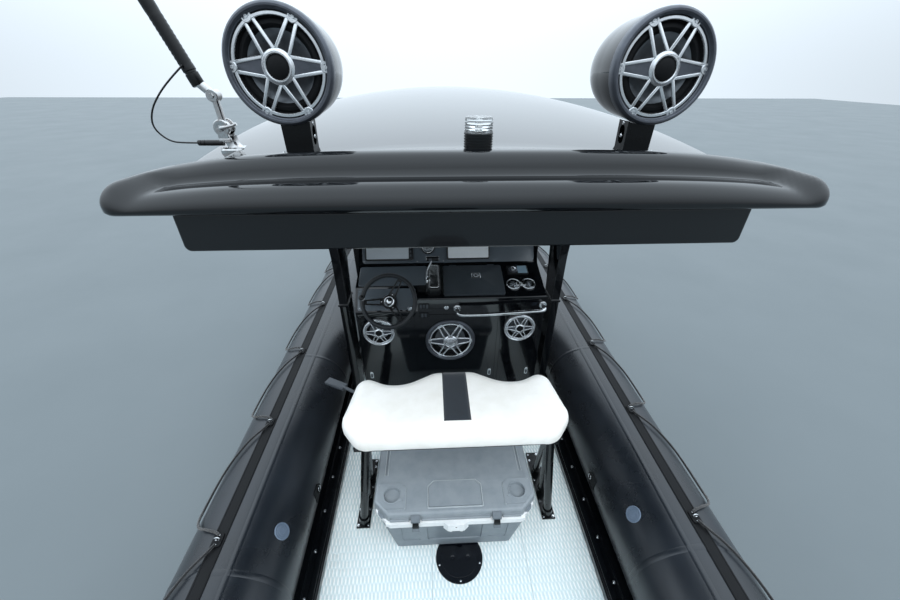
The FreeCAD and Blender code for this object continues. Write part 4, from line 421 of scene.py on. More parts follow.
def rounded(corners: list[Corner], steps: int = 8) -> Points:
    """Closed outline with an arc of steps + 1 points in place of each corner.

    Args:
        corners: rows of x, y and corner radius.
        steps: chords in each arc.

    Returns:
        Points (n, 2), n = corners * (steps + 1).
    """
    xy = np.array([c[:2] for c in corners])
    radius = np.array([c[2] for c in corners])
    to_last, to_next = np.roll(xy, 1, 0) - xy, np.roll(xy, -1, 0) - xy
    back, ahead = unit(to_last), unit(to_next)
    half = np.arccos(np.clip((back * ahead).sum(1), -0.9999, 0.9999)) / 2
    limit = 0.49 * np.minimum(np.linalg.norm(to_last, axis=1), np.linalg.norm(to_next, axis=1))
    run = np.minimum(radius / np.tan(half), limit)
    radius = run * np.tan(half)
    centre = xy + unit(back + ahead) * (radius / np.sin(half))[:, None]
    first = xy + back * run[:, None] - centre
    turn = math.pi - 2 * half
    sign = np.sign(back[:, 1] * ahead[:, 0] - back[:, 0] * ahead[:, 1])
    angle = np.linspace(0, 1, steps + 1)[None, :] * (turn * sign)[:, None]
    x = first[:, :1] * np.cos(angle) - first[:, 1:] * np.sin(angle)
    y = first[:, :1] * np.sin(angle) + first[:, 1:] * np.cos(angle)
    return (np.stack([x, y], 2) + centre[:, None, :]).reshape(-1, 2)


def rectangle(x0: float, x1: float, y0: float, y1: float, radius: float) -> list[Corner]:
    """Corners of a rectangle, anticlockwise, with equal radii."""
    return [(x0, y0, radius), (x1, y0, radius), (x1, y1, radius), (x0, y1, radius)]


def placed(points: Points, matrix: Matrix) -> Points:
    """Points (..., 3) turned and moved by a matrix."""
    m = np.array(matrix)
    return points @ m[:3, :3].T + m[:3, 3]


def aim(origin: tuple, normal: tuple, up: tuple = (0.0, 0.0, 1.0)) -> Matrix:
    """Matrix whose local +Z is normal and whose local +Y leans towards up.

    Args:
        origin: where the local origin goes.
        normal: direction of the local Z axis.
        up: direction that the local Y axis follows as far as it can.

    Returns:
        A rigid 4 x 4 matrix.
    """
    z = Vector(normal).normalized()
    x = Vector(up).cross(z)
    if x.length < 1e-6:
        x = Vector((1, 0, 0))
    x.normalize()
    y = z.cross(x)
    turn = Matrix((x, y, z)).transposed().to_4x4()
    return Matrix.Translation(Vector(origin)) @ turn


class Form:
    """Surfaces that are worked out as arrays and become one mesh."""

    def __init__(self, name: str) -> None:
        """Starts an empty form with the piece's name."""
        self.name = name
        self.points: list[Points] = []
        self.faces: list[tuple] = []
        self.uvs: list[Points] = []
        self.marks: list[int] = []
        self.count = 0

    def grid(self, surface: Points, around: bool = False, ring: bool = False, uv: Points | None = None,
             finish: int = 0, caps: bool = False) -> None:
        """Adds quads over a grid of points (rows, columns, 3).

        Args:
            surface: the points.
            around: the columns close on themselves.
            ring: the rows close on themselves.
            uv: coordinates (rows, columns, 2) in metres along the surface.
            finish: which of the piece's finishes.
            caps: closes the first and the last row with a flat face.
        """
        rows, cols = surface.shape[:2]
        if uv is None:
            uv = np.zeros((rows, cols, 2))
        index = np.arange(rows * cols).reshape(rows, cols) + self.count
        here = index if ring else index[:-1]
        over = np.roll(index, -1, 0) if ring else index[1:]
        if around:
            quads = np.stack([here, np.roll(here, -1, 1), np.roll(over, -1, 1), over], -1)
        else:
            quads = np.stack([here[:, :-1], here[:, 1:], over[:, 1:], over[:, :-1]], -1)
        quads = quads.reshape(-1, 4)
        self.points.append(surface.reshape(-1, 3))
        self.uvs.append(uv.reshape(-1, 2))
        faces = [tuple(q) for q in quads.tolist()]
        if caps:
            faces += [tuple(index[0][::-1].tolist()), tuple(index[-1].tolist())]
        self.faces += faces
        self.marks += [finish] * len(faces)
        self.count += rows * cols

    def slab(self, corners: list[Corner], profile: list[tuple[float, float]], matrix: Matrix = Matrix(),
             finish: int = 0, steps: int = 6) -> None:
        """Adds a plate: its outline drawn in by each inset of the profile, at each height, with flat ends.

        Args:
            corners: outline in the plate's own plane.
            profile: rows of inset and height, from the lower face to the upper one.
            matrix: where the plate's plane lies.
            finish: which of the piece's finishes.
            steps: chords in each rounded corner.
        """
        rings = [at_height(rounded(inset_corners(corners, inset), steps), height) for inset, height in profile]
        self.grid(placed(np.array(rings), matrix), around=True, finish=finish, caps=True)

    def plate(self, sides: tuple[float, float, float, float, float], edge: tuple[float, float, float, float],
              matrix: Matrix = Matrix(), finish: int = 0, steps: int = 6) -> None:
        """Adds a rectangular slab whose upper edge is bevelled.

        Args:
            sides: x from and to, y from and to, radius of its corners.
            edge: height of its foot, height where the bevel starts, width of the bevel, height of its top.
            matrix: where the plate's plane lies.
            finish: which of the piece's finishes.
            steps: chords in each rounded corner.
        """
        foot, shoulder, bevel, top = edge
        self.slab(rectangle(*sides), [(0.0, foot), (0.0, shoulder), (bevel, top)], matrix, finish, steps)

    def lathe(self, profile: list[tuple[float, float]], matrix: Matrix = Matrix(), steps: int = 48,
              finish: int = 0) -> None:
        """Adds a turned shape: (r cos a, r sin a, h) for each radius r and height h of the profile.

        Args:
            profile: rows of radius and height.
            matrix: where the axis lies.
            steps: columns round the axis.
            finish: which of the piece's finishes.
        """
        turn = circle(steps)
        radius, height = np.array(profile, float).T[..., None]
        surface = joined(radius * np.cos(turn), radius * np.sin(turn), height)
        self.grid(placed(surface, matrix), around=True, finish=finish, uv=joined(radius * turn, height))

    def sweep(self, path: Points, radius: float | Points, steps: int = 12, finish: int = 0, ring: bool = False,
              section: Points | None = None, side: tuple | None = None) -> None:
        """Adds a bar along a path: path + radius * (n cos a + b sin a), with the frame carried without twist.

        Args:
            path: points (n, 3).
            radius: one radius, or one for each point.
            steps: points round the bar.
            finish: which of the piece's finishes.
            ring: the path closes on itself.
            section: points (m, 2) in place of the circle, in metres.
            side: first direction of the section's own X axis.
        """
        path = np.asarray(path, float)
        ahead = np.roll(path, -1, 0) - np.roll(path, 1, 0) if ring else np.gradient(path, axis=0)
        ahead = unit(ahead)
        first = np.array(side if side else ((0, 0, 1) if abs(ahead[0][2]) < 0.9 else (1, 0, 0)), float)
        frames = []
        for heading in ahead:
            first = first - heading * (first @ heading)
            first = first / np.linalg.norm(first)
            frames.append(first)
        normal = np.array(frames)
        binormal = np.cross(ahead, normal)
        turn = circle(steps)
        shape = joined(np.cos(turn), np.sin(turn)) if section is None else section
        scale = np.broadcast_to(np.asarray(radius, float), (len(path),)) if section is None else np.ones(len(path))
        offset = normal[:, None, :] * shape[None, :, :1] + binormal[:, None, :] * shape[None, :, 1:]
        surface = path[:, None, :] + offset * scale[:, None, None]
        along = np.concatenate([[0], np.cumsum(np.linalg.norm(np.diff(path, axis=0), axis=1))])
        girth = np.linspace(0, 1, len(shape), endpoint=False) * 2 * math.pi * float(np.mean(scale))
        if section is not None:
            girth = np.concatenate([[0], np.cumsum(np.linalg.norm(np.diff(shape, axis=0), axis=1))])
        self.grid(surface, around=True, ring=ring, uv=joined(along[:, None], girth), finish=finish, caps=not ring)

    def screw(self, origin: tuple, normal: tuple, radius: float = 0.006, finish: int = 0) -> None:
        """Adds a domed screw head: r = R cos a, h = 0.5 R sin a, with a socket in its middle."""
        dome = [(radius * math.cos(a), radius * 0.5 * math.sin(a)) for a in np.linspace(0, 1.15, 5)]
        recess = [(radius * 0.34, radius * 0.42), (radius * 0.30, radius * 0.12), (0.0, radius * 0.1)]
        self.lathe([(radius, -radius * 0.2)] + dome + recess, aim(origin, normal), 12, finish)

    def screw_on(self, matrix: Matrix, place: tuple[float, float, float], radius: float, finish: int = 0) -> None:
        """Adds a screw at a place of a local frame, along that frame's Z axis."""
        self.screw(tuple(matrix @ Vector(place)), tuple(matrix.col[2][:3]), radius, finish)

    def absorb(self, other: "Form", move: Callable[[Points], Points]) -> None:
        """Adds another form's surfaces, with its points moved by a function of the array (n, 3)."""
        self.points += [move(points) for points in other.points]
        self.uvs += other.uvs
        self.faces += [tuple(i + self.count for i in face) for face in other.faces]
        self.marks += other.marks
        self.count += other.count

    def piece(self, body: str, finishes: list[Finish], replaces: tuple[str, ...] = (),
              sharp: float = 38.0, bevel: float = 0.0, solid: float = 0.0) -> bpy.types.Object:
        """Makes the mesh, closes its seams, turns its faces outwards and fastens it to a body.

        Args:
            body: the body that it rides on.
            finishes: its finishes, in the order of the faces' numbers.
            replaces: the CAD nodes that it stands for.
            sharp: edges above this angle in degrees stay sharp.
            bevel: width of a bevel on those edges.
            solid: thickness that a bare sheet is given.

        Returns:
            The new object.
        """
        obj = self.mesh_object()
        finish_mesh(obj, finishes, sharp, bevel, solid)
        fasten(obj, body, replaces)
        LOG.info("%s: %d faces on %s", self.name, len(obj.data.polygons), body)
        return obj

    def mesh_object(self) -> bpy.types.Object:
        """The surfaces as a bare object with its UV and its faces' material numbers."""
        mesh = bpy.data.meshes.new(self.name)
        mesh.from_pydata(np.concatenate(self.points).tolist(), [], self.faces)
        mesh.polygons.foreach_set("material_index", self.marks)
        layer = mesh.uv_layers.new(name="UVMap")
        corner = np.zeros(len(mesh.loops), dtype=np.int32)
        mesh.loops.foreach_get("vertex_index", corner)
        layer.data.foreach_set("uv", np.concatenate(self.uvs)[corner].ravel())
        return new_object(self.name, mesh)


def new_object(name: str, data: bpy.types.ID) -> bpy.types.Object:
    """A mesh, curve, lamp or camera as an object of the scene."""
    obj = bpy.data.objects.new(name, data)
    bpy.context.scene.collection.objects.link(obj)
    return obj


@contextmanager
def merged(mesh: bpy.types.Mesh, distance: float) -> Iterator[bmesh.types.BMesh]:
    """The mesh for editing, with points closer than the distance made one; it is written back at the end."""
    work = bmesh.new()
    work.from_mesh(mesh)
    bmesh.ops.remove_doubles(work, verts=work.verts, dist=distance)
    yield work
    work.to_mesh(mesh)
    work.free()


def finish_mesh(obj: bpy.types.Object, finishes: list[Finish], sharp: float, bevel: float = 0.0,
                solid: float = 0.0) -> None:
    """Merges doubles, turns faces outwards, smooths up to the sharp angle and adds the modifiers.

    Args:
        obj: the piece.
        finishes: its materials, in slot order.
        sharp: angle in degrees above which an edge stays sharp.
        bevel: width of the bevel on edges above that angle.
        solid: thickness of a sheet.
    """
    mesh = obj.data
    with merged(mesh, 1e-5) as work:
        bmesh.ops.dissolve_degenerate(work, dist=1e-6, edges=work.edges)
        bmesh.ops.recalc_face_normals(work, faces=work.faces)
    for finish in finishes:
        mesh.materials.append(finish.build())
    mesh.shade_smooth()
    mesh.set_sharp_from_angle(angle=math.radians(sharp))
    if solid:
        obj.modifiers.new("thickness", "SOLIDIFY").thickness = solid
    if bevel:
        edge = obj.modifiers.new("edge", "BEVEL")
        edge.width = bevel
        edge.segments = 2
        edge.limit_method = "ANGLE"
        edge.angle_limit = math.radians(sharp)
        edge.harden_normals = True


def fasten(obj: bpy.types.Object, body: str, replaced: tuple[str, ...]) -> None:
    """Rides a piece on its body and hides the nodes it stands for."""
    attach(obj, body)
    if replaced:
        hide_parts(*replaced)


def softened(node: str, finish: Finish, body: str, edge: float = 0.003, sharp: float = 32.0,
             cutter: Form | None = None) -> None:
    """Copy of a CAD node with its doubles merged, flat faces joined and edges bevelled; it replaces the node.

    Args:
        node: the CAD node.
        finish: its finish.
        body: the body it rides on.
        edge: width of the bevel.
        sharp: angle of the edges that are bevelled, in degrees.
        cutter: closed surfaces that are taken out of the copy.
    """
    mesh = NODES[node].data.copy()
    mesh.name = node + "_skin"
    mesh.materials.clear()
    with merged(mesh, 2e-5) as work:
        bmesh.ops.dissolve_limit(work, angle_limit=math.radians(0.6), verts=work.verts, edges=work.edges)
    obj = new_object(node + "_skin", mesh)
    if cutter:
        carve(obj, cutter)
    finish_mesh(obj, [finish], sharp, edge)
    fasten(obj, body, (node,))


def carve(obj: bpy.types.Object, cutter: Form) -> None:
    """Takes a form's closed surfaces out of the object's mesh."""
    tool = cutter.mesh_object()
    with merged(tool.data, 1e-6) as work:
        bmesh.ops.recalc_face_normals(work, faces=work.faces)
    cut = obj.modifiers.new("cut", "BOOLEAN")
    cut.operation = "DIFFERENCE"
    cut.solver = "EXACT"
    cut.object = tool
    apply_modifiers(obj)
    bpy.data.objects.remove(tool)


# The studio and the one free lead


@dataclass
class Studio:
    """Camera at the photograph's viewpoint, an overcast sky with a soft sun, and a floor at the waterline."""

    place: tuple[float, float, float] = (-0.112, -2.40, 2.46)
    pitch: float = 31.633        # degrees below the horizon
    yaw: float = 2.989           # degrees towards starboard
    roll: float = 0.3
    focal: float = 375.0 / 900.0     # focal length as a share of the frame's width
    sensor: float = 36.0
    sky: str = "#dae6f0"
    sky_strength: float = 2.3
    sky_low: float = 0.30        # share of the sky's strength that is left at the horizon
    bow_lobe: float = 0.30
    stern_share: float = 0.75    # the sky's strength over the stern, as a share of that over the bow
    sun_strength: float = 1.7
    sun_lean: tuple[float, float] = (36.0, 8.0)      # degrees that it leans astern and to starboard
    sun_width: float = 50.0      # degrees of the sky that it fills, so that its shadows are soft
    sun_colour: tuple[float, float, float] = (1.0, 0.985, 0.96)
    clip: tuple[float, float] = (0.02, 200.0)
    floor_half: float = 40.0
    floor_rows: int = 9

    def build(self) -> None:
        """Makes the camera, the lights and the floor."""
        self.camera()
        self.light()
        self.floor()

    def camera(self) -> None:
        """Looks along (sin yaw cos pitch, cos yaw cos pitch, -sin pitch), rolled about that line."""
        pitch, yaw, roll = (math.radians(a) for a in (self.pitch, self.yaw, self.roll))
        ahead = Vector((math.sin(yaw) * math.cos(pitch), math.cos(yaw) * math.cos(pitch), -math.sin(pitch)))
        level = Vector((math.cos(yaw), -math.sin(yaw), 0.0))
        above = level.cross(ahead)
        right = level * math.cos(roll) + above * math.sin(roll)
        up = right.cross(ahead)
        data = bpy.data.cameras.new("camera")
        data.sensor_width = self.sensor
        data.lens = self.sensor * self.focal
        data.clip_start, data.clip_end = self.clip
        camera = new_object("camera", data)
        turn = Matrix((right, up, -ahead)).transposed().to_4x4()
        camera.matrix_world = Matrix.Translation(Vector(self.place)) @ turn
        bpy.context.scene.camera = camera

    def light(self) -> None:
        """An overcast sky, and a broad soft sun from astern that no gloss mirrors.

        With e the height of a direction (0 at the horizon) and f how far it points to the bow, the sky is
        strength(f) * (low + (1 - low) smooth(e) + lobe max(0, f)^2): dark low down, bright overhead and over the
        bow. Over the stern strength(f) falls to the stern's share.
        """
        world = bpy.data.worlds.new("sky")
        world.use_nodes = True
        bpy.context.scene.world = world
        tree = world.node_tree
        where = add_node(tree, "ShaderNodeTexCoord")
        split = add_node(tree, "ShaderNodeSeparateXYZ", {}, {0: where.outputs["Generated"]})
        ramp = ranged(tree, split.outputs["Z"], (-0.05, 0.75), (self.sky_low, 1.0), "SMOOTHSTEP")
        squared = calculated(tree, "POWER", calculated(tree, "MAXIMUM", split.outputs["Y"], 0.0), 2.0)
        total = calculated(tree, "ADD", ramp, calculated(tree, "MULTIPLY", squared, self.bow_lobe))
        bright = ranged(tree, split.outputs["Y"], (-0.9, 0.1),
                        (self.sky_strength * self.stern_share, self.sky_strength))
        shader = tree.nodes["Background"]
        shader.inputs["Color"].default_value = linear(self.sky)
        tree.links.new(calculated(tree, "MULTIPLY", total, bright), shader.inputs["Strength"])
        sun = bpy.data.lights.new("sun", "SUN")
        sun.energy = self.sun_strength
        sun.angle = math.radians(self.sun_width)
        sun.color = self.sun_colour
        lamp = new_object("sun", sun)
        lamp.rotation_euler = (*map(math.radians, self.sun_lean), 0.0)
        lamp.visible_glossy = False
        bpy.context.scene.view_settings.view_transform = "Standard"
        bpy.context.scene.view_settings.look = "None"

    def floor(self) -> None:
        """Flat floor at the waterline."""
        rows = self.floor_rows
        axis = np.linspace(-self.floor_half, self.floor_half, rows)
        points = joined(axis[:, None], axis[None, :], 0.0).reshape(-1, 3)
        index = np.arange(rows * rows).reshape(rows, rows)
        quads = joined(index[:-1, :-1], index[1:, :-1], index[1:, 1:], index[:-1, 1:]).reshape(-1, 4)
        mesh = bpy.data.meshes.new("studio_floor")
        mesh.from_pydata(points.tolist(), [], quads.tolist())
        mesh.materials.append(STUDIO_FLOOR.build())
        new_object("studio_floor", mesh)


@dataclass
class AerialLead:
    """Coaxial lead that leaves the aerial's pole and goes into the sleeve on its mount."""

    radius: float = 0.0025
    route: tuple = (
        (-0.812, -1.1013, 2.466), (-0.850, -1.107, 2.437), (-0.897, -1.111, 2.397), (-0.938, -1.112, 2.351),
        (-0.957, -1.106, 2.303), (-0.930, -1.092, 2.262), (-0.890, -1.080, 2.2558), (-0.850, -1.080, 2.2558),
    )
    steps: int = 10              # round the jacket

    def build(self) -> None:
        """Sweeps the jacket along the route's NURBS curve."""
        path = self.line()
        form = Form("aerial_lead")
        form.sweep(path, self.radius, steps=self.steps)
        lead = form.mesh_object()
        finish_mesh(lead, [JACKET], sharp=38.0)
        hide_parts("aerial_cable")
        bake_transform(lead)

    def line(self) -> Points:
        """The route as Blender's NURBS of order 3 gives it, from the first point to the last."""
        data = bpy.data.curves.new("aerial_route", "CURVE")
        data.dimensions = "3D"
        data.resolution_u = 8
        spline = data.splines.new("NURBS")
        spline.points.add(len(self.route) - 1)
        for point, place in zip(spline.points, self.route):
            point.co = (*place, 1.0)
        spline.order_u = 3
        spline.use_endpoint_u = True
        holder = new_object("aerial_route", data)
        mesh = bpy.data.meshes.new_from_object(holder)
        points = np.array([v.co[:] for v in mesh.vertices])
        bpy.data.objects.remove(holder)
        bpy.data.curves.remove(data)
        bpy.data.meshes.remove(mesh)
        return points


# The inflated tubes and what is bonded to them


@dataclass
class TubeLine:
    """Centre line of the starboard tube: straight, a gentle bend and a tight bend in one tilted plane.

    With f forward, i inwards and k the bends' axis, the centre at heading h is start + a f + b i, where
    a = sum of R dsin(h) and b = sum of R dcos(h) over the bends.
    """

    radius: float = 0.265
    x: float = 1.055
    z: float = 0.410
    bend_y: float = 1.350
    rise: float = 0.25
    bend1: float = 4.5
    turn1: float = math.radians(20.0)
    turn2: float = math.radians(80.0)
    bow_overrun: float = math.radians(5.5)

    def __post_init__(self) -> None:
        """Works out the second bend from the inward reach that is left."""
        norm = math.sqrt(1 + self.rise ** 2)
        self.inward = np.array([-1.0, 0.0, self.rise]) / norm
        self.axis = np.array([self.rise, 0.0, 1.0]) / norm
        self.ahead = np.array([0.0, 1.0, 0.0])
        left = self.x * norm - self.bend1 * (1 - math.cos(self.turn1))
        self.bend2 = left / (math.cos(self.turn1) - math.cos(self.turn2))
        self.length1 = self.bend1 * self.turn1
        self.end = self.bend_y + self.length1 + self.bend2 * (self.turn2 + self.bow_overrun - self.turn1)

    def place(self, s: Points, angle: Points, reach: Points) -> Points:
        """Points at reach from the centre line; s is y carried along it, angle is outboard of the top in radians.

        Args:
            s: distance along the line, any shape.
            angle: same shape.
            reach: same shape.

        Returns:
            Points of that shape with a last axis of 3.
        """
        s, angle, reach = np.broadcast_arrays(s, angle, reach)
        over = np.maximum(s - self.bend_y, 0.0)
        h1 = np.minimum(over, self.length1) / self.bend1
        h = h1 + np.maximum(over - self.length1, 0.0) / self.bend2
        a = self.bend1 * np.sin(h1) + self.bend2 * (np.sin(h) - np.sin(h1))
        b = self.bend1 * (1 - np.cos(h1)) + self.bend2 * (np.cos(h1) - np.cos(h))
        start = np.array([self.x, 0.0, self.z])
        y = np.minimum(s, self.bend_y)
        centre = start + y[..., None] * self.ahead + a[..., None] * self.ahead + b[..., None] * self.inward
        out = joined(np.sin(angle), 0.0, np.cos(angle))
        on_axis = out @ self.axis
        on_inward = out @ self.inward
        turned = np.cos(h)[..., None] * self.inward - np.sin(h)[..., None] * self.ahead
        return centre + reach[..., None] * (on_axis[..., None] * self.axis + on_inward[..., None] * turned)

    def limit(self, angle: Points, reach: Points) -> Points:
        """Where the line at this angle and reach meets the boat's middle plane, by halving forty times."""
        low = np.full(np.shape(angle), self.bend_y)
        high = np.full(np.shape(angle), self.end + 0.6)
        for _ in range(40):
            middle = (low + high) / 2
            beyond = self.place(middle, angle, reach)[..., 0] < 0
            high = np.where(beyond, middle, high)
            low = np.where(beyond, low, middle)
        return low

    def carried(self, angle: Points, reach: Points, start: float, rows: int) -> tuple[Points, Points]:
        """A section carried along the tube up to the middle plane.

        Args:
            angle: the section's angles (n,).
            reach: its distances from the centre line (n,).
            start: s of the first row.
            rows: number of rows, evenly spaced.

        Returns:
            Points (rows, n, 3) and UV (rows, n, 2) in metres.
        """
        s = start + (self.limit(angle, reach) - start) * np.linspace(0, 1, rows)[:, None]
        return self.place(s, angle, reach), joined(s, angle * self.radius)


def other_side(points: Points, starboard: bool) -> Points:
    """Points as they are, or mirrored to port."""
    return points if starboard else points * np.array([-1.0, 1.0, 1.0])


@dataclass
class Tubes:
    """Both inflated tubes with their seams, patches, valves, band, strake and lifeline."""

    line: TubeLine = field(default_factory=TubeLine)
    cone_start: float = -3.350
    cone_length: float = 0.330
    cone_tip: float = 0.120
    glue: float = 0.0003
    band_width: float = 0.060
    band_thick: float = 0.004
    band_angle: float = math.radians(7.0)
    band_start: float = -3.250
    strake_width: float = 0.084
    strake_thick: float = 0.022
    seam_lift: float = 0.0011
    seam_width: float = 0.026
    cross_seams: tuple = (-2.95, -1.62, -0.23, 1.40, 2.55)
    long_seam: float = math.radians(-14.0)
    eye_first: float = -2.805
    eye_pitch: float = 0.655
    eye_count: int = 10
    eye_radius: float = 0.014
    rope_radius: float = 0.006
    # One scallop of the lifeline: share of the pitch, degrees outboard of the top, height over the tube
    scallop: tuple = (
        (0.0, 7.0, 0.014), (0.02, 12.0, 0.015), (0.05, 22.0, 0.017), (0.11, 39.0, 0.016), (0.27, 56.0, 0.0135),
        (0.55, 47.0, 0.0135), (0.80, 27.0, 0.015), (0.93, 13.0, 0.015), (1.0, 7.0, 0.014),
    )
    # Valves and ring patches: y, degrees outboard of the top
    valves: tuple = ((-1.420, -49.0), (0.900, -49.0))
    rings: tuple = ((-1.120, -88.0), (0.180, -62.0), (1.500, -62.0))

    def build(self) -> None:
        """Makes the pieces of both sides."""
        for side, suffix in ((True, "starboard"), (False, "port")):
            self.skin(side, suffix)
            self.band(side, suffix)
            self.strake(side, suffix)
            self.lifeline(side, suffix)
        self.eyes()
        self.patches()

    def skin(self, side: bool, suffix: str) -> None:
        """Tube and stern cone: reach(s) is R, then falls in a straight line to the tip and rounds off there."""
        angle = circle(96)
        form = Form("tube_skin_" + suffix)
        body, uv = self.line.carried(angle, np.full(len(angle), self.line.radius), self.cone_start, 300)
        tip = np.linspace(0, 1, 9)[::-1] * math.pi / 2
        cap = 0.35 * self.cone_tip
        tip_s = self.cone_start - self.cone_length
        s = np.concatenate([tip_s - cap * np.sin(tip)[:-1], np.linspace(tip_s, self.cone_start, 12)[:-1]])
        reach = np.concatenate([self.cone_tip * np.cos(tip)[:-1],
                                np.linspace(self.cone_tip, self.line.radius, 12)[:-1]])
        stern = self.line.place(s[:, None], angle, reach[:, None])
        stern_uv = joined(s[:, None], angle * self.line.radius)
        skin = np.concatenate([stern, body])
        form.grid(other_side(skin, side), around=True, uv=np.concatenate([stern_uv, uv]), caps=True)
        self.seams(form, side)
        form.piece("root", [TUBE_FABRIC], ("tube_" + suffix,), sharp=50.0)

    def seams(self, form: Form, side: bool) -> None:
        """Bonded overlaps of the cloth: one along the tube and one round it at each joint of the panels."""
        radius = self.line.radius
        half = self.seam_width / 2
        across = np.array([-half, -half + 0.002, half - 0.002, half])
        reach = np.array([0.0, self.seam_lift, self.seam_lift, 0.0]) + radius
        points, uv = self.line.carried(across / radius + self.long_seam, reach, self.cone_start + 0.01, 160)
        form.grid(other_side(points, side), uv=uv)
        angle = np.linspace(0, 2 * math.pi, 73)
        for place in self.cross_seams:
            s = (place + across)[:, None]
            ring = self.line.place(s, angle, reach[:, None])
            form.grid(other_side(ring, side), uv=joined(s, angle * radius))

    def section(self, form: Form, shape: list[tuple[float, float]], middle: float, side: bool, rows: int) -> None:
        """Carries a closed section along the tube; shape is metres along the skin and height above it."""
        base = self.line.radius + self.glue
        across, height = np.array(shape).T
        points, uv = self.line.carried(across / base + middle, height + base, self.band_start, rows)
        form.grid(other_side(points, side), around=True, uv=uv, caps=True)

    def band(self, side: bool, suffix: str) -> None:
        """Flat tape with a welted edge on each side."""
        half = self.band_width / 2
        thick = self.band_thick
        shape = [(-half, 0.0), (-half, thick * 0.6), (-half + 0.003, thick), (-half + 0.008, thick),
                 (-half + 0.010, thick * 0.6), (half - 0.010, thick * 0.6), (half - 0.008, thick),
                 (half - 0.003, thick), (half, thick * 0.6), (half, 0.0)]
        form = Form("band_skin_" + suffix)
        self.section(form, shape, self.band_angle, side, 200)
        form.piece("root", [TRIM_RUBBER], ("lifeline_band_" + suffix,), sharp=30.0)

    def strake(self, side: bool, suffix: str) -> None:
        """Ribbed rubbing strake: a broad foot and a narrower nose with two grooves."""
        half = self.strake_width / 2
        thick = self.strake_thick
        shape = [(-half, 0.0), (-half, thick * 0.3), (-half + 0.006, thick * 0.45), (-0.024, thick * 0.5),
                 (-0.021, thick * 0.8), (-0.015, thick), (-0.008, thick), (-0.005, thick * 0.84),
                 (-0.002, thick), (0.002, thick), (0.005, thick * 0.84), (0.008, thick), (0.015, thick),
                 (0.021, thick * 0.8), (0.024, thick * 0.5), (half - 0.006, thick * 0.45), (half, thick * 0.3),
                 (half, 0.0)]
        form = Form("strake_skin_" + suffix)
        self.section(form, shape, math.pi / 2, side, 160)
        form.piece("root", [TRIM_RUBBER], ("rub_strake_" + suffix,), sharp=35.0)

    def rope_path(self, start: float) -> Points:
        """One scallop: a smooth curve through the table's rows, evened out in s, angle and height."""
        table = np.array(self.scallop)
        inset = self.eye_radius + self.rope_radius
        s = start + inset + (self.eye_pitch - 2 * inset) * table[:, 0]
        rows = joined(s, np.radians(table[:, 1]), table[:, 2] + self.line.radius)
        return self.line.place(*smooth_through(rows, 12).T)

    def lifeline(self, side: bool, suffix: str) -> None:
        """Rope scallops from eye to eye."""
        form = Form("rope_" + suffix)
        for i in range(self.eye_count - 1):
            path = self.rope_path(self.eye_first + self.eye_pitch * i)
            form.sweep(other_side(path, side), self.rope_radius, steps=10)
        form.piece("root", [BRAIDED_ROPE], ("lifeline_" + suffix,), sharp=60.0)

    def on_tube(self, y: float, angle: float, lift: float, side: bool) -> Matrix:
        """Frame on the tube's skin: +Z off the skin, +Y towards the bow."""
        spots = np.array([y, y + 0.001])
        turn = np.full(2, math.radians(angle))
        foot = other_side(self.line.place(spots, turn, np.full(2, self.line.radius + lift)), side)
        head = other_side(self.line.place(spots, turn, np.full(2, self.line.radius + lift + 0.01)), side)
        return aim(tuple(foot[0]), tuple(head[0] - foot[0]), tuple(foot[1] - foot[0]))

    def eyes(self) -> None:
        """Bright eyes on rubber feet: a saddle, a ring on it and two rivets."""
        form = Form("lifeline_eye_fittings")
        base = self.glue + self.band_thick
        for i in range(self.eye_count):
            for side in (True, False):
                spot = self.on_tube(self.eye_first + self.eye_pitch * i, math.degrees(self.band_angle), base, side)
                form.plate((-0.022, 0.022, -0.030, 0.030, 0.014), (0.0003, 0.003, 0.002, 0.005), spot, 1, 5)
                turn = circle(24)
                ring = joined(0.013 * np.cos(turn), 0.0, 0.012 + 0.010 * np.sin(turn))
                form.sweep(placed(ring, spot), 0.0028, steps=8, ring=True)
                for y in (-0.021, 0.021):
                    form.screw_on(spot, (0, y, 0.005), 0.004)
        form.piece("root", [STAINLESS, TRIM_RUBBER], ("lifeline_eyes",), sharp=40.0)

    def patches(self) -> None:
        """Recessed valves with their rims, and D-shaped patches that carry a ring."""
        valves = Form("tube_valve_caps")
        rim = [(0.039, -0.002), (0.039, 0.002), (0.037, 0.0045), (0.034, 0.005), (0.031, 0.0042), (0.030, 0.003),
               (0.029, 0.0042), (0.020, 0.0048), (0.019, 0.0036), (0.018, 0.0048), (0.0, 0.0052)]
        for y, angle in self.valves:
            for side in (True, False):
                valves.lathe(rim, self.on_tube(y, angle, 0.0, side), 40)
        valves.piece("root", [VALVE_PLASTIC], ("tube_valves",), sharp=30.0)
        rings = Form("tube_ring_patches")
        outline = [(-0.043, -0.050, 0.010), (0.043, -0.050, 0.010), (0.043, 0.012, 0.030), (0.0, 0.050, 0.040),
                   (-0.043, 0.012, 0.030)]
        for y, angle in self.rings:
            for side in (True, False):
                spot = self.on_tube(y, angle, 0.0, side)
                rings.slab(outline, [(0.0, -0.004), (0.0, 0.0022), (0.0012, 0.0030), (0.004, 0.0030),
                                     (0.005, 0.0018)], spot)
                rings.slab(rectangle(-0.014, 0.014, -0.006, 0.006, 0.004), [(0.0, 0.001), (0.0, 0.005)], spot,
                           steps=4)
                turn = circle(32)
                ring = joined(0.015 * np.cos(turn), 0.014 + 0.015 * np.sin(turn), 0.0048)
                rings.sweep(placed(ring, spot), 0.0022, steps=8, ring=True, finish=1)
        rings.piece("root", [TRIM_RUBBER, STAINLESS], ("tube_rings",), sharp=30.0)


def eased(share: Points) -> Points:
    """Shares from 0 to 1 with level ends: 3 s^2 - 2 s^3."""
    return share ** 2 * (3 - 2 * share)


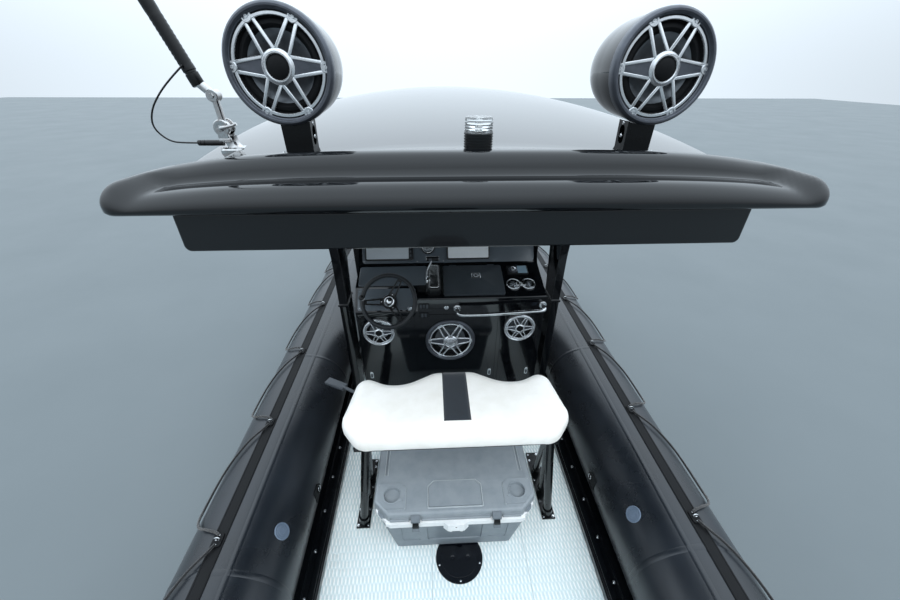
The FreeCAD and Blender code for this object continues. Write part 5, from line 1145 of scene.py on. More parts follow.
def smooth_through(rows: Points, steps: int) -> Points:
    """Catmull-Rom curve through rows of any width.

    p(t) = ((2 p1) + (p2 - p0) t + (2 p0 - 5 p1 + 4 p2 - p3) t^2 + (3 p1 - p0 - 3 p2 + p3) t^3) / 2

    Args:
        rows: the points that it passes through (n, k).
        steps: points for each span.

    Returns:
        Points ((n - 1) * steps + 1, k).
    """
    ends = np.concatenate([2 * rows[:1] - rows[1:2], rows, 2 * rows[-1:] - rows[-2:-1]])
    p0, p1, p2, p3 = (ends[i:len(ends) - 3 + i, None, :] for i in range(4))
    t = np.linspace(0, 1, steps, endpoint=False)[None, :, None]
    curve = (2 * p1 + (p2 - p0) * t + (2 * p0 - 5 * p1 + 4 * p2 - p3) * t ** 2
             + (3 * p1 - p0 - 3 * p2 + p3) * t ** 3) / 2
    return np.concatenate([curve.reshape(-1, rows.shape[1]), rows[-1:]])


# The hardtop and what stands on it


@dataclass
class Hardtop:
    """Crowned roof with a stepped aft edge, in black gelcoat."""

    aft: float = -1.575
    front: float = 0.560
    bottom: float = 2.180
    apex: float = 2.370
    apex_y: float = 0.0
    cross_radius: float = 3.30
    long_radius: float = 11.5
    crest: float = 2.297         # height of the aft edge's crest on the middle line
    crest_end: float = 0.83      # where the crest has fallen to the rim
    crest_fall: float = 0.057
    shoulder: float = 0.045      # width of the rounded edge along the sides
    # The crest's inner slope: start, length, how far it ends under the crown, radius of the blend with it
    lip: tuple[float, float, float, float] = (0.115, 0.16, 0.02, 0.006)
    crest_half: float = 0.85     # the stepped edge gives way to the shoulder towards this half breadth
    crest_fade: float = 0.08
    plan: tuple = ((0.840, -1.575, 0.045), (0.905, -1.000, 0.900), (0.955, -0.200, 0.900), (0.900, 0.520, 0.260),
                   (0.0, 0.620, 0.900))
    # Aft edge: distance from the edge in metres, share of the height between bottom and crest
    steps: tuple = ((0.0, 0.16), (0.003, 0.26), (0.010, 0.38), (0.020, 0.475), (0.032, 0.53), (0.050, 0.555),
                    (0.066, 0.565), (0.073, 0.60), (0.078, 0.67), (0.083, 0.80), (0.090, 0.90), (0.100, 0.965),
                    (0.115, 1.0), (0.150, 1.0))

    def build(self) -> None:
        """Makes the roof from a patch over its outline; heights follow the distance to the nearest edge."""
        *half, bow = self.plan
        outline = rounded([*half, bow, *((-x, y, r) for x, y, r in reversed(half))], 40)
        flat = self.patch(outline, 96, self.rows())
        rows = flat.reshape(-1, 2)
        top = np.column_stack([rows, self.lifted(rows, *self.edge_distance(rows, outline))])
        top = top.reshape(*flat.shape[:2], 3)
        rim = np.concatenate([top[0], top[1:, -1], top[-1, -2::-1], top[-2:0:-1, 0]])
        under = [at_height(self.drawn_in(rim[:, :2], depth), self.bottom + z)
                 for depth, z in ((0.25, 0.0), (0.020, 0.0), (0.005, 0.002), (0.0, 0.008))]
        form = Form("hardtop_shell")
        form.grid(top)
        form.grid(np.array(under + [rim]), around=True)
        # The innermost of these five rings is closed with one flat face
        form.faces.append(tuple(range(form.count - len(rim) * 5, form.count - len(rim) * 4)))
        form.marks.append(0)
        form.piece("root", [GELCOAT], ("hardtop",), sharp=60.0)

    def rows(self) -> Points:
        """Shares of the roof's length, close together over the stepped aft edge and at the front."""
        length = self.front - self.aft
        near = [row[0] for row in self.steps] + [0.18, 0.215, 0.25, 0.29, 0.34, 0.40, 0.48, 0.58, 0.70]
        extra = [(a + b) / 2 for a, b in zip(near[:13], near[1:14])]
        body = np.linspace(0.85, length - 0.16, 12)
        end = length - np.array([0.12, 0.09, 0.065, 0.045, 0.03, 0.018, 0.009, 0.003, 0.0])
        return np.unique(np.concatenate([sorted(near + extra), body, end])) / length

    @staticmethod
    def patch(outline: Points, across: int, along: Points) -> Points:
        """Coons patch in the outline's plane: the sum of the two ruled surfaces less the bilinear one.

        Args:
            outline: closed outline, anticlockwise, that starts at its starboard aft corner.
            across: columns.
            along: shares of the length for the rows.

        Returns:
            Points (rows, columns, 2), from port to starboard and from aft to forward.
        """
        marks = [int(np.argmax(outline @ corner)) for corner in np.array([(-1, -1), (1, -1), (1, 1), (-1, 1)])]
        shares = 0.5 - 0.5 * np.cos(np.linspace(0, math.pi, across))

        def side(first: int, last: int, places: Points) -> Points:
            """Points of the outline from one corner to the next, by arc length."""
            count = len(outline)
            run = outline[[(first + k) % count for k in range((last - first) % count + 1)]]
            length = np.concatenate([[0], np.cumsum(np.linalg.norm(np.diff(run, axis=0), axis=1))])
            length /= length[-1]
            return np.stack([np.interp(places, length, run[:, k]) for k in range(2)], 1)

        aft = side(marks[0], marks[1], shares)
        right = side(marks[1], marks[2], along)
        front = side(marks[2], marks[3], shares)[::-1]
        left = side(marks[3], marks[0], 1 - along[::-1])[::-1]
        u, v = shares[None, :, None], along[:, None, None]
        ruled = (1 - v) * aft[None] + v * front[None] + (1 - u) * left[:, None] + u * right[:, None]
        flat = ((1 - u) * (1 - v) * aft[0] + u * (1 - v) * aft[-1] + u * v * front[-1] + (1 - u) * v * front[0])
        return ruled - flat

    def edge_distance(self, rows: Points, outline: Points) -> tuple[Points, Points]:
        """Distance of each point to the outline, and how far that edge faces aft, from 0 to 1.

        An edge faces aft where its direction across the boat grows from 0.55 to 0.90 of its length, and only
        inside the crest's half breadth.
        """
        run = np.roll(outline, -1, 0) - outline
        share = ((rows[:, None] - outline) * run).sum(2) / np.maximum((run ** 2).sum(1), 1e-12)
        near = outline + np.clip(share, 0, 1)[..., None] * run
        away = np.linalg.norm(rows[:, None] - near, axis=2)
        inset = away.min(1)
        facing = np.clip((unit(run)[away.argmin(1), 0] - 0.55) / 0.35, 0, 1)
        facing = facing * np.clip((self.crest_half - np.abs(rows[:, 0]) - inset) / self.crest_fade, 0, 1)
        return inset, eased(facing)

    @staticmethod
    def drawn_in(ring: Points, depth: float) -> Points:
        """Closed ring of points moved inwards by depth along their normals."""
        tangent = unit(np.roll(ring, -1, 0) - np.roll(ring, 1, 0))
        return ring + joined(-tangent[:, 1], tangent[:, 0]) * depth

    def top(self, x: Points, y: Points) -> Points:
        """Height of the roof away from its edges.

        The crown is apex minus y^2 / 2 L minus x^2 / 2 C. The aft crest is crest minus fall (x / end)^4, and
        slopes down into the crown ahead of the stepped edge. The higher of the two counts, with a soft blend.

        Args:
            x: across the boat.
            y: along the boat.

        Returns:
            Heights of the same shape.
        """
        crown = self.apex - (y - self.apex_y) ** 2 / (2 * self.long_radius) - x ** 2 / (2 * self.cross_radius)
        crest = self.crest - self.crest_fall * (np.abs(x) / self.crest_end) ** 4
        start, length, sink, soft = self.lip
        run = eased(np.clip((y - self.aft - start) / length, 0, 1))
        lip = crest - (crest - crown + sink) * run
        return np.logaddexp(crown / soft, lip / soft) * soft

    def lifted(self, flat: Points, inset: Points, facing: Points) -> Points:
        """Heights with the stepped profile where the edge faces aft and a rounded shoulder elsewhere."""
        top = self.top(flat[:, 0], flat[:, 1])
        table = np.array(self.steps)
        stepped = np.interp(inset, table[:, 0], table[:, 1])
        near = 1 - np.minimum(inset / self.shoulder, 1.0)
        rounded_edge = 0.30 + 0.70 * np.sqrt(1 - near ** 2)
        share = stepped * facing + rounded_edge * (1 - facing)
        return self.bottom + (top - self.bottom) * share


# Cushions

PAD_PRESSURE = 4.0
PAD_STIFFNESS = 25.0
PAD_QUALITY = 4                  # the simulation's steps in each frame
PAD_FRAMES = 20


def relaxed(obj: bpy.types.Object, voxel: float, cap: float) -> None:
    """Swells a closed pad as its fabric would under its filling, by cloth simulation with inner pressure.

    Args:
        obj: the pad, a closed mesh with no modifiers.
        voxel: size of the remeshed quads.
        cap: how far a point may move.
    """
    bpy.context.view_layer.objects.active = obj
    mesher = obj.modifiers.new("voxels", "REMESH")
    mesher.mode = "VOXEL"
    mesher.voxel_size = voxel
    mesher.use_smooth_shade = True
    apply_modifiers(obj)
    count = len(obj.data.vertices)
    start = np.zeros(count * 3)
    obj.data.vertices.foreach_get("co", start)
    cloth = obj.modifiers.new("cloth", "CLOTH")
    cloth.settings.use_pressure = True
    cloth.settings.uniform_pressure_force = PAD_PRESSURE
    cloth.settings.effector_weights.gravity = 0.0
    cloth.settings.quality = PAD_QUALITY
    cloth.settings.tension_stiffness = PAD_STIFFNESS
    cloth.settings.compression_stiffness = PAD_STIFFNESS
    cloth.point_cache.frame_start = 1
    cloth.point_cache.frame_end = PAD_FRAMES
    scene = bpy.context.scene
    for step in range(1, PAD_FRAMES + 1):
        scene.frame_set(step)
    seen = obj.evaluated_get(bpy.context.evaluated_depsgraph_get())
    end = np.zeros(count * 3)
    seen.data.vertices.foreach_get("co", end)
    obj.modifiers.remove(cloth)
    scene.frame_set(1)
    start = start.reshape(-1, 3)
    move = end.reshape(-1, 3) - start
    far = np.linalg.norm(move, axis=1, keepdims=True)
    move *= np.minimum(1.0, cap / np.maximum(far, 1e-9))
    obj.data.vertices.foreach_set("co", (start + move).ravel())
    obj.data.update()


def apply_modifiers(obj: bpy.types.Object) -> None:
    """Replaces the object's mesh by what its modifiers make of it."""
    seen = obj.evaluated_get(bpy.context.evaluated_depsgraph_get())
    mesh = bpy.data.meshes.new_from_object(seen)
    old = obj.data
    obj.modifiers.clear()
    obj.data = mesh
    bpy.data.meshes.remove(old)


def upholstered(form: Form, replaces: str, voxel: float, cap: float) -> bpy.types.Object:
    """Vinyl pad from a form: swollen by the simulation and smoothed.

    Args:
        form: the pad's closed surface before it swells.
        replaces: the CAD node that it stands for.
        voxel: size of the remeshed quads.
        cap: how far a point may move.

    Returns:
        The pad.
    """
    pad = form.piece("root", [WHITE_VINYL], (replaces,), sharp=80.0)
    relaxed(pad, voxel, cap)
    smooth = pad.modifiers.new("smooth", "SUBSURF")
    smooth.levels = smooth.render_levels = 1
    pad.data.shade_smooth()
    return pad


@dataclass
class BenchCushion:
    """White vinyl bench cushion with two dips in its forward edge and a slate stripe."""

    x: float = -0.016
    bottom: float = 1.010
    top: float = 1.120
    # Half outline: distance from the middle, y, corner radius
    half: tuple = ((0.455, -1.345, 0.100), (0.545, -1.230, 0.090), (0.500, -0.915, 0.070), (0.285, -1.002, 0.200),
                   (0.105, -0.900, 0.120))
    slack: float = 0.004         # how much smaller the pad starts than its space
    stripe_x: tuple = (-0.060, 0.062)
    stripe_y: tuple = (-0.905, -1.262)
    stripe_lift: float = 0.0015

    def corners(self) -> list[Corner]:
        """Outline of the cushion's space, anticlockwise."""
        right = [(self.x + x, y, r) for x, y, r in self.half]
        return right + [(self.x - x, y, r) for x, y, r in reversed(self.half)]

    def build(self) -> None:
        """Simulates the pad, then lays the stripe on it."""
        height = self.top - self.bottom
        edge = [(0.022, 0.0), (0.004, 0.012), (0.0, 0.030), (0.0, height * 0.55), (0.006, height * 0.78),
                (0.020, height * 0.92), (0.045, height * 0.985), (0.085, height)]
        profile = [(self.slack + inset, self.bottom + self.slack * 0.4 + z * (1 - self.slack / height))
                   for inset, z in edge]
        form = Form("bench_cushion")
        form.slab(self.corners(), profile, steps=10)
        self.trim(upholstered(form, "seat_cushion", voxel=0.0075, cap=0.010))

    def trim(self, pad: bpy.types.Object) -> None:
        """Stripe panel over the cushion from its forward edge to its aft quarter, dropped on the pad by rays."""
        bpy.context.view_layer.update()
        rows = np.linspace(*self.stripe_y, 40)
        cols = np.linspace(*self.stripe_x, 9) + self.x
        seen = pad.evaluated_get(bpy.context.evaluated_depsgraph_get())
        surface = np.zeros((len(rows), len(cols), 3))
        for i, y in enumerate(rows):
            for j, x in enumerate(cols):
                hit, spot, normal, _ = seen.ray_cast(Vector((x, y, self.top + 0.1)), Vector((0, 0, -1)))
                if not hit:
                    spot = Vector((x, y, self.top - 0.05))
                    normal = Vector((0, 0, 1))
                rim = 0.0 if 0 < j < len(cols) - 1 and i < len(rows) - 1 else -0.001
                surface[i, j] = spot + normal * (self.stripe_lift + rim)
        form = Form("bench_stripe")
        form.grid(surface, uv=joined(rows[:, None], cols))
        form.piece("root", [STRIPE_MESH], sharp=60.0, solid=0.0012)


# Loudspeakers, light and aerial


@dataclass
class Loudspeaker:
    """Face of one loudspeaker: rim, surround, cone, grille ring, hub and six arms with screws.

    Lengths are shares of the outer radius, because the three sizes are one family with the same drawing.
    """

    centre: tuple[float, float, float]
    normal: tuple[float, float, float]
    radius: float
    turns: tuple[float, ...] = (62.0, 118.0, 242.0, 298.0)
    plate_turns: tuple[float, ...] = (0.0, 180.0)
    hub: float = 0.21            # inner radius of the silver ring round the dust cap
    web: float = 0.30           # its outer radius
    lobe: float = 0.86           # where the screws sit
    lobe_radius: float = 0.100
    # Half breadth of an arm at the hub and at its lobe: twin rails, and with a web between them
    arm: tuple[float, float] = (0.152, 0.108)
    web_arm: tuple[float, float] = (0.190, 0.100)
    rail: float = 0.062          # width of one rail
    bulge: float = 0.07          # how far the hub stands out over the ring
    cap_finish: int = 3
    rim_finish: int = 0
    proud: float = 0.0           # face of the rim over the face that it is let into
    rim: float = 0.085           # height of the rim

    def build(self, form: Form) -> None:
        """Adds the face to a form whose finishes are gunmetal, silver, cone and rubber.

        Args:
            form: where the surfaces go.
        """
        matrix = aim(self.centre, self.normal) @ Matrix.Scale(self.radius, 4)
        rim, low = self.rim, self.proud
        form.lathe([(1.0, low - 0.10), (1.0, low), (0.995, low + rim * 0.45), (0.975, low + rim * 0.8),
                    (0.945, low + rim), (0.915, low + rim), (0.895, low + rim * 0.85), (0.885, low + rim * 0.5),
                    (0.868, low + rim * 0.42), (0.862, low + 0.01), (0.850, low - 0.02)], matrix, 72, self.rim_finish)
        form.lathe([(0.855, -0.03), (0.80, -0.035), (0.785, -0.09), (0.76, -0.11), (0.72, -0.075), (0.67, -0.07),
                    (0.63, -0.10), (0.605, -0.13)], matrix, 64, 3)
        form.lathe([(0.615, -0.13), (0.60, -0.135), (0.45, -0.22), (0.33, -0.30), (0.20, -0.31), (0.0, -0.31)],
                   matrix, 64, 2)
        self.grille(form, matrix)

    def raised(self, points: Points) -> Points:
        """Local points lifted by bulge * (1 - (r / lobe)^2), so that the grille stands out at its hub."""
        out = points.copy()
        spread = np.hypot(points[:, 0], points[:, 1])
        out[:, 2] += self.bulge * np.clip(1 - (spread / self.lobe) ** 2, 0, 1) + self.proud
        return out

    def grille(self, form: Form, matrix: Matrix) -> None:
        """Ring, web, rails, plates, lobes and screws, worked out flat, then raised and placed."""
        local = Form("local")
        local.lathe([(0.785, 0.0), (0.785, 0.034), (0.797, 0.050), (0.838, 0.050), (0.850, 0.034), (0.850, 0.0)],
                    Matrix(), 72, 1)
        local.lathe([(self.web, 0.0), (self.web, 0.035), (self.web - 0.015, 0.050), (self.hub + 0.045, 0.060),
                     (self.hub + 0.03, 0.085), (self.hub + 0.015, 0.085), (self.hub, 0.070), (self.hub, 0.02)],
                    Matrix(), 48, 1)
        cap = [(self.hub * math.cos(a), 0.035 + 0.075 * math.sin(a)) for a in np.linspace(0, math.pi / 2, 9)]
        local.lathe([(self.hub + 0.005, 0.03)] + cap, Matrix(), 48, self.cap_finish)
        for turn in self.turns + self.plate_turns:
            self.spoke(local, turn)
        form.absorb(local, lambda points: placed(self.raised(points), matrix))

    def spoke(self, local: Form, turn: float) -> None:
        """One arm: twin rails, the web between them if it has one, and the lobe with its screw."""
        edge = [(0.0, 0.0), (0.0, 0.034), (0.010, 0.044)]
        spin = spun(turn)
        wide = turn in self.plate_turns
        inner, outer = self.web_arm if wide else self.arm
        for side in (-1, 1):
            corners = [(self.web - 0.03, side * (inner - self.rail), 0.002),
                       (self.lobe - 0.02, side * (outer - self.rail), 0.002),
                       (self.lobe - 0.02, side * outer, 0.002), (self.web - 0.06, side * inner, 0.002)]
            local.slab(corners if side > 0 else corners[::-1], edge, spin, 1, 1)
        if wide:
            corners = [(self.web - 0.02, -inner + 0.02, 0.002), (self.lobe, -outer + 0.02, 0.002),
                       (self.lobe, outer - 0.02, 0.002), (self.web - 0.02, inner - 0.02, 0.002)]
            local.slab(corners, [(0.0, 0.0), (0.0, 0.018), (0.004, 0.022)], spin, 0, 1)
        ring = [(self.lobe_radius, 0.0), (self.lobe_radius, 0.045), (self.lobe_radius - 0.012, 0.058),
                (self.lobe_radius - 0.035, 0.058), (self.lobe_radius - 0.045, 0.040), (0.0, 0.040)]
        at_lobe = spin @ Matrix.Translation((self.lobe, 0, 0))
        local.lathe(ring, at_lobe, 24, 1)
        local.lathe([(0.034, 0.03), (0.034, 0.055), (0.028, 0.065), (0.012, 0.065), (0.010, 0.050), (0.0, 0.050)],
                    at_lobe, 12, 1)


@dataclass
class TowerSpeakers:
    """Two bullet-shaped loudspeakers over the hardtop, with their brackets."""

    x: float = 0.457
    face_y: float = -1.360
    z: float = 2.462
    radius: float = 0.125
    barrel: float = 0.090
    length: float = 0.276
    foot_y: float = -1.295

    def build(self) -> None:
        """Makes both shells, both faces and both brackets."""
        shells = Form("tower_speaker_shells")
        faces = Form("tower_speaker_faces")
        trims = Form("tower_speaker_hardware")
        for side in (-1, 1):
            centre = (side * self.x, self.face_y, self.z)
            matrix = aim(centre, (0, -1, 0))
            self.shell(shells, matrix)
            speaker = Loudspeaker(centre, (0, -1, 0), self.radius * 0.996, proud=-0.06, rim=0.13)
            speaker.build(faces)
            self.hardware(trims, side)
        shells.piece("root", [GELCOAT, MOULDED_BLACK], ("speaker_pods",), sharp=40.0)
        faces.piece("root", [GUNMETAL, SPEAKER_SILVER, SPEAKER_CONE, TRIM_RUBBER],
                    ("pod_grilles",), sharp=40.0)
        trims.piece("root", [STAINLESS, POWDER_COAT], sharp=40.0)
        softened("pod_brackets", POWDER_COAT, "root", 0.004)

    def shell(self, form: Form, matrix: Matrix) -> None:
        """Barrel, a shallow groove behind the rim, then a nose that narrows in a full curve."""
        profile = [(self.radius * 0.90, -0.002), (self.radius * 0.975, -0.002), (self.radius * 0.985, -0.004),
                   (self.radius * 0.982, -0.012), (self.radius * 0.970, -0.014), (self.radius * 0.968, -0.017),
                   (self.radius * 0.972, -0.019), (self.radius * 0.955, -self.barrel)]
        for share in np.linspace(0.08, 1.0, 16):
            radius = self.radius * 0.955 * math.sqrt(1 - (share * 0.97) ** 2.6)
            profile.append((radius, -self.barrel - share * (self.length - self.barrel)))
        form.lathe(profile + [(0.0, -self.length)], matrix, 72)

    def hardware(self, form: Form, side: int) -> None:
        """Foot plate with four bolts where each bracket stands, and the clamp bolts at its side."""
        x, y = side * self.x, self.foot_y
        z = roof_height(x, y)
        form.plate((x - 0.048, x + 0.048, y - 0.040, y + 0.040, 0.010), (z - 0.004, z + 0.003, 0.002, z + 0.005),
                   finish=1, steps=4)
        for dx in (-0.041, 0.041):
            for dy in (-0.032, 0.032):
                form.screw((x + dx, y + dy, z + 0.005), (0, 0, 1), 0.005)
        for dz in (0.030, 0.062):
            form.screw((x - side * 0.0365, y, z + dz + 0.01), (-side, 0, 0), 0.006)


@dataclass
class AllRoundLight:
    """Light on the roof's middle line: black base with louvres, clear lens with its lamp inside."""

    x: float = 0.008
    y: float = -1.405
    foot: float = 2.284
    base_top: float = 2.329
    top: float = 2.363
    radius: float = 0.036

    def build(self) -> None:
        """Turns the base, the lens and the lamp."""
        matrix = Matrix.Translation((self.x, self.y, 0.0))
        base = Form("light_base")
        profile = [(self.radius, self.foot - 0.02), (self.radius, self.foot + 0.006)]
        for ridge in range(6):
            z = self.foot + 0.008 + ridge * 0.006
            profile += [(self.radius - 0.0018, z), (self.radius - 0.0018, z + 0.0022), (self.radius, z + 0.0030),
                        (self.radius, z + 0.0054)]
        profile += [(self.radius - 0.0015, self.base_top), (0.0, self.base_top)]
        base.lathe(profile, matrix, 48)
        base.lathe([(0.012, self.base_top), (0.012, self.base_top + 0.004), (0.006, self.base_top + 0.006),
                    (0.006, self.base_top + 0.020), (0.0, self.base_top + 0.022)], matrix, 24, 1)
        base.piece("root", [MOULDED_BLACK, CHEST_WHITE], ("stern_light",), sharp=35.0)
        lens = Form("light_lens_clear")
        rings = [(self.radius - 0.001, self.base_top + 0.0004)]
        for ridge in range(4):
            z = self.base_top + 0.003 + ridge * 0.0065
            rings += [(self.radius - 0.001, z), (self.radius - 0.0026, z + 0.0033)]
        rings += [(self.radius - 0.002, self.top - 0.004), (self.radius - 0.006, self.top), (0.0, self.top)]
        lens.lathe(rings + [(0.0, self.base_top + 0.0004)], matrix, 48)
        lens.piece("root", [ACRYLIC], ("light_lens",), sharp=30.0)


@dataclass
class AerialOnMount:
    """Leaning aerial on a ratchet mount: cast base, drum with serrated cheeks, lever, knuckle, grip and pole."""

    base: tuple[float, float] = (-0.735, -1.080)
    hinge_up: tuple[float, float, float] = (-0.020, 0.0, 0.066)
    arm: float = 0.088
    lean: float = 20.0
    grip: float = 0.330
    length: float = 2.400

    def build(self) -> None:
        """Makes the fixed mount and the folding aerial."""
        foot = Vector((*self.base, roof_height(*self.base)))
        hinge = foot + Vector(self.hinge_up)
        self.mount(foot, hinge)
        self.pole(hinge)

    def mount(self, foot: Vector, hinge: Vector) -> None:
        """Cast base with four screws, neck, fork, serrated drum and lever."""
        form = Form("aerial_ratchet")
        x, y, z = foot
        form.slab(rectangle(x - 0.040, x + 0.040, y - 0.034, y + 0.034, 0.014),
                  [(0.0, z - 0.012), (0.0, z + 0.003), (0.003, z + 0.007), (0.012, z + 0.0095), (0.018, z + 0.010)])
        for dx in (-0.030, 0.030):
            for dy in (-0.024, 0.024):
                form.screw((x + dx, y + dy, z + 0.0085), (0, 0, 1), 0.0055)
        neck = np.linspace(foot - Vector((0, 0, 0.004)), foot + Vector((-0.012, 0, 0.038)), 9)
        form.sweep(np.array(neck), np.array([0.031, 0.027, 0.0235, 0.021, 0.0195, 0.019, 0.0195, 0.021, 0.023]), 24)
        form.slab(rectangle(hinge.x - 0.019, hinge.x + 0.021, y - 0.0245, y + 0.0245, 0.007),
                  [(0.003, z + 0.026), (0.0, z + 0.029), (0.0, hinge.z - 0.030), (0.002, hinge.z - 0.027)], steps=4)
        for side in (-1, 1):
            self.cheek(form, aim((hinge.x, y + side * 0.015, hinge.z), (0, side, 0)))
        lever = [hinge + Vector(p) for p in ((0, -0.024, 0), (0.004, -0.028, 0.001), (0.020, -0.0285, 0.004),
                                             (0.040, -0.028, 0.008), (0.051, -0.027, 0.013))]
        form.sweep(np.array(lever), np.array([0.0075, 0.0065, 0.005, 0.0042, 0.0055]), 16)
        form.piece("root", [TARNISHED], ("aerial_mount",), sharp=36.0, bevel=0.0006)
        self.sleeve(hinge)

    @staticmethod
    def sleeve(hinge: Vector) -> None:
        """Ribbed sleeve beside the mount that the lead goes into."""
        form = Form("aerial_sleeve")
        form.lathe([(0.0035, 0.0), (0.0068, 0.0), (0.0085, 0.002), (0.0088, 0.010), (0.0072, 0.012), (0.0088, 0.014),
                    (0.0088, 0.022), (0.0072, 0.024), (0.0088, 0.026), (0.0088, 0.080), (0.0, 0.080)],
                   aim((-0.850, -1.080, hinge.z - 0.0452), (1, 0, 0)), 24)
        form.piece("root", [JACKET], ("cable_gland",), sharp=35.0)

    @staticmethod
    def cheek(form: Form, out: Matrix) -> None:
        """Serrated cheek of the drum, the side of the fork behind it and the nut on its pin."""
        teeth = [(0.024 + 0.0009 * (i % 2), a) for i, a in enumerate(circle(48))]
        edge = [(0.0, 0.0), (0.0, 0.0062), (0.0018, 0.0084), (0.007, 0.009), (0.0095, 0.0084)]
        rings = [[((r - shrink) * math.cos(a), (r - shrink) * math.sin(a), height) for r, a in teeth]
                 for shrink, height in edge]
        form.grid(placed(np.array(rings), out), around=True, caps=True)
        form.plate((-0.016, 0.016, -0.038, 0.0, 0.003), (0.0, 0.0075, 0.0015, 0.009), out, steps=3)
        form.lathe([(0.0095, 0.008), (0.0095, 0.0125), (0.008, 0.0150), (0.0035, 0.0150), (0.003, 0.012),
                    (0.0, 0.012)], out, 6)

    def pole(self, hinge: Vector) -> None:
        """Eye, chrome arm, knuckle, ferrule, ribbed grip and tapered pole, which fold together."""
        knuckle = hinge + Vector((-0.004, 0, self.arm))
        start = knuckle + Vector((-0.039, 0, 0.037))
        lean = math.radians(self.lean)
        ahead = Vector((-math.sin(lean), 0, math.cos(lean)))
        form = Form("aerial_pole_skin")
        eye = aim(hinge - Vector((0, 0.0127, 0)), (0, 1, 0))
        form.lathe([(0.0074, 0.0), (0.0185, 0.0), (0.020, 0.0015), (0.020, 0.0239), (0.0185, 0.0254),
                    (0.0074, 0.0254), (0.0074, 0.0)], eye, 40, 1)
        form.sweep(np.array([hinge + Vector((0, 0, 0.012)), hinge + Vector((-0.001, 0, 0.03)), knuckle]),
                   np.array([0.0125, 0.0105, 0.011]), 24, 1)
        turned = aim(knuckle - Vector((0, 0.017, 0)), (0, 1, 0))
        form.lathe([(0.0, 0.0), (0.0155, 0.0), (0.017, 0.0015), (0.017, 0.0325), (0.0155, 0.034), (0.0, 0.034)],
                   turned, 32, 1)
        form.lathe([(0.0, -0.004), (0.007, -0.004), (0.008, -0.003), (0.008, 0.037), (0.007, 0.038), (0.0, 0.038)],
                   turned, 6, 1)
        form.sweep(np.array([knuckle, knuckle + (start - knuckle) * 0.6, start]), np.array([0.0125, 0.013, 0.013]),
                   24, 1)
        ferrule = [(0.0, -0.012), (0.0165, -0.012), (0.0185, -0.009), (0.0185, 0.020), (0.0165, 0.022),
                   (0.0165, 0.026), (0.0185, 0.028)]
        ribs = [(0.0185 - 0.0010 * (i % 2), 0.040 + 0.006 * i) for i in range(22)]
        rod = [(0.0185, 0.180), (0.0185, self.grip - 0.02), (0.0160, self.grip - 0.006), (0.0125, self.grip),
               (0.0120, self.grip + 0.01), (0.0116, self.grip + 0.03), (0.0105, self.length * 0.5),
               (0.0085, self.length - 0.05), (0.0085, self.length - 0.01), (0.006, self.length), (0.0, self.length)]
        form.lathe(ferrule + ribs + rod, aim(tuple(start), tuple(ahead), (0, 1, 0)), 32)
        form.piece("aerial_pole", [MOULDED_BLACK, TARNISHED], ("aerial",), sharp=36.0)


def roof_height(x: float, y: float) -> float:
    """Height of the hardtop's crown at a place, from its own sizes."""
    roof = Hardtop()
    arc = roof.long_radius - math.sqrt(roof.long_radius ** 2 - (y - roof.apex_y) ** 2)
    cross = roof.cross_radius - arc
    return roof.apex - roof.cross_radius + math.sqrt(cross ** 2 - x ** 2)


# The console: body, instruments and steering wheel


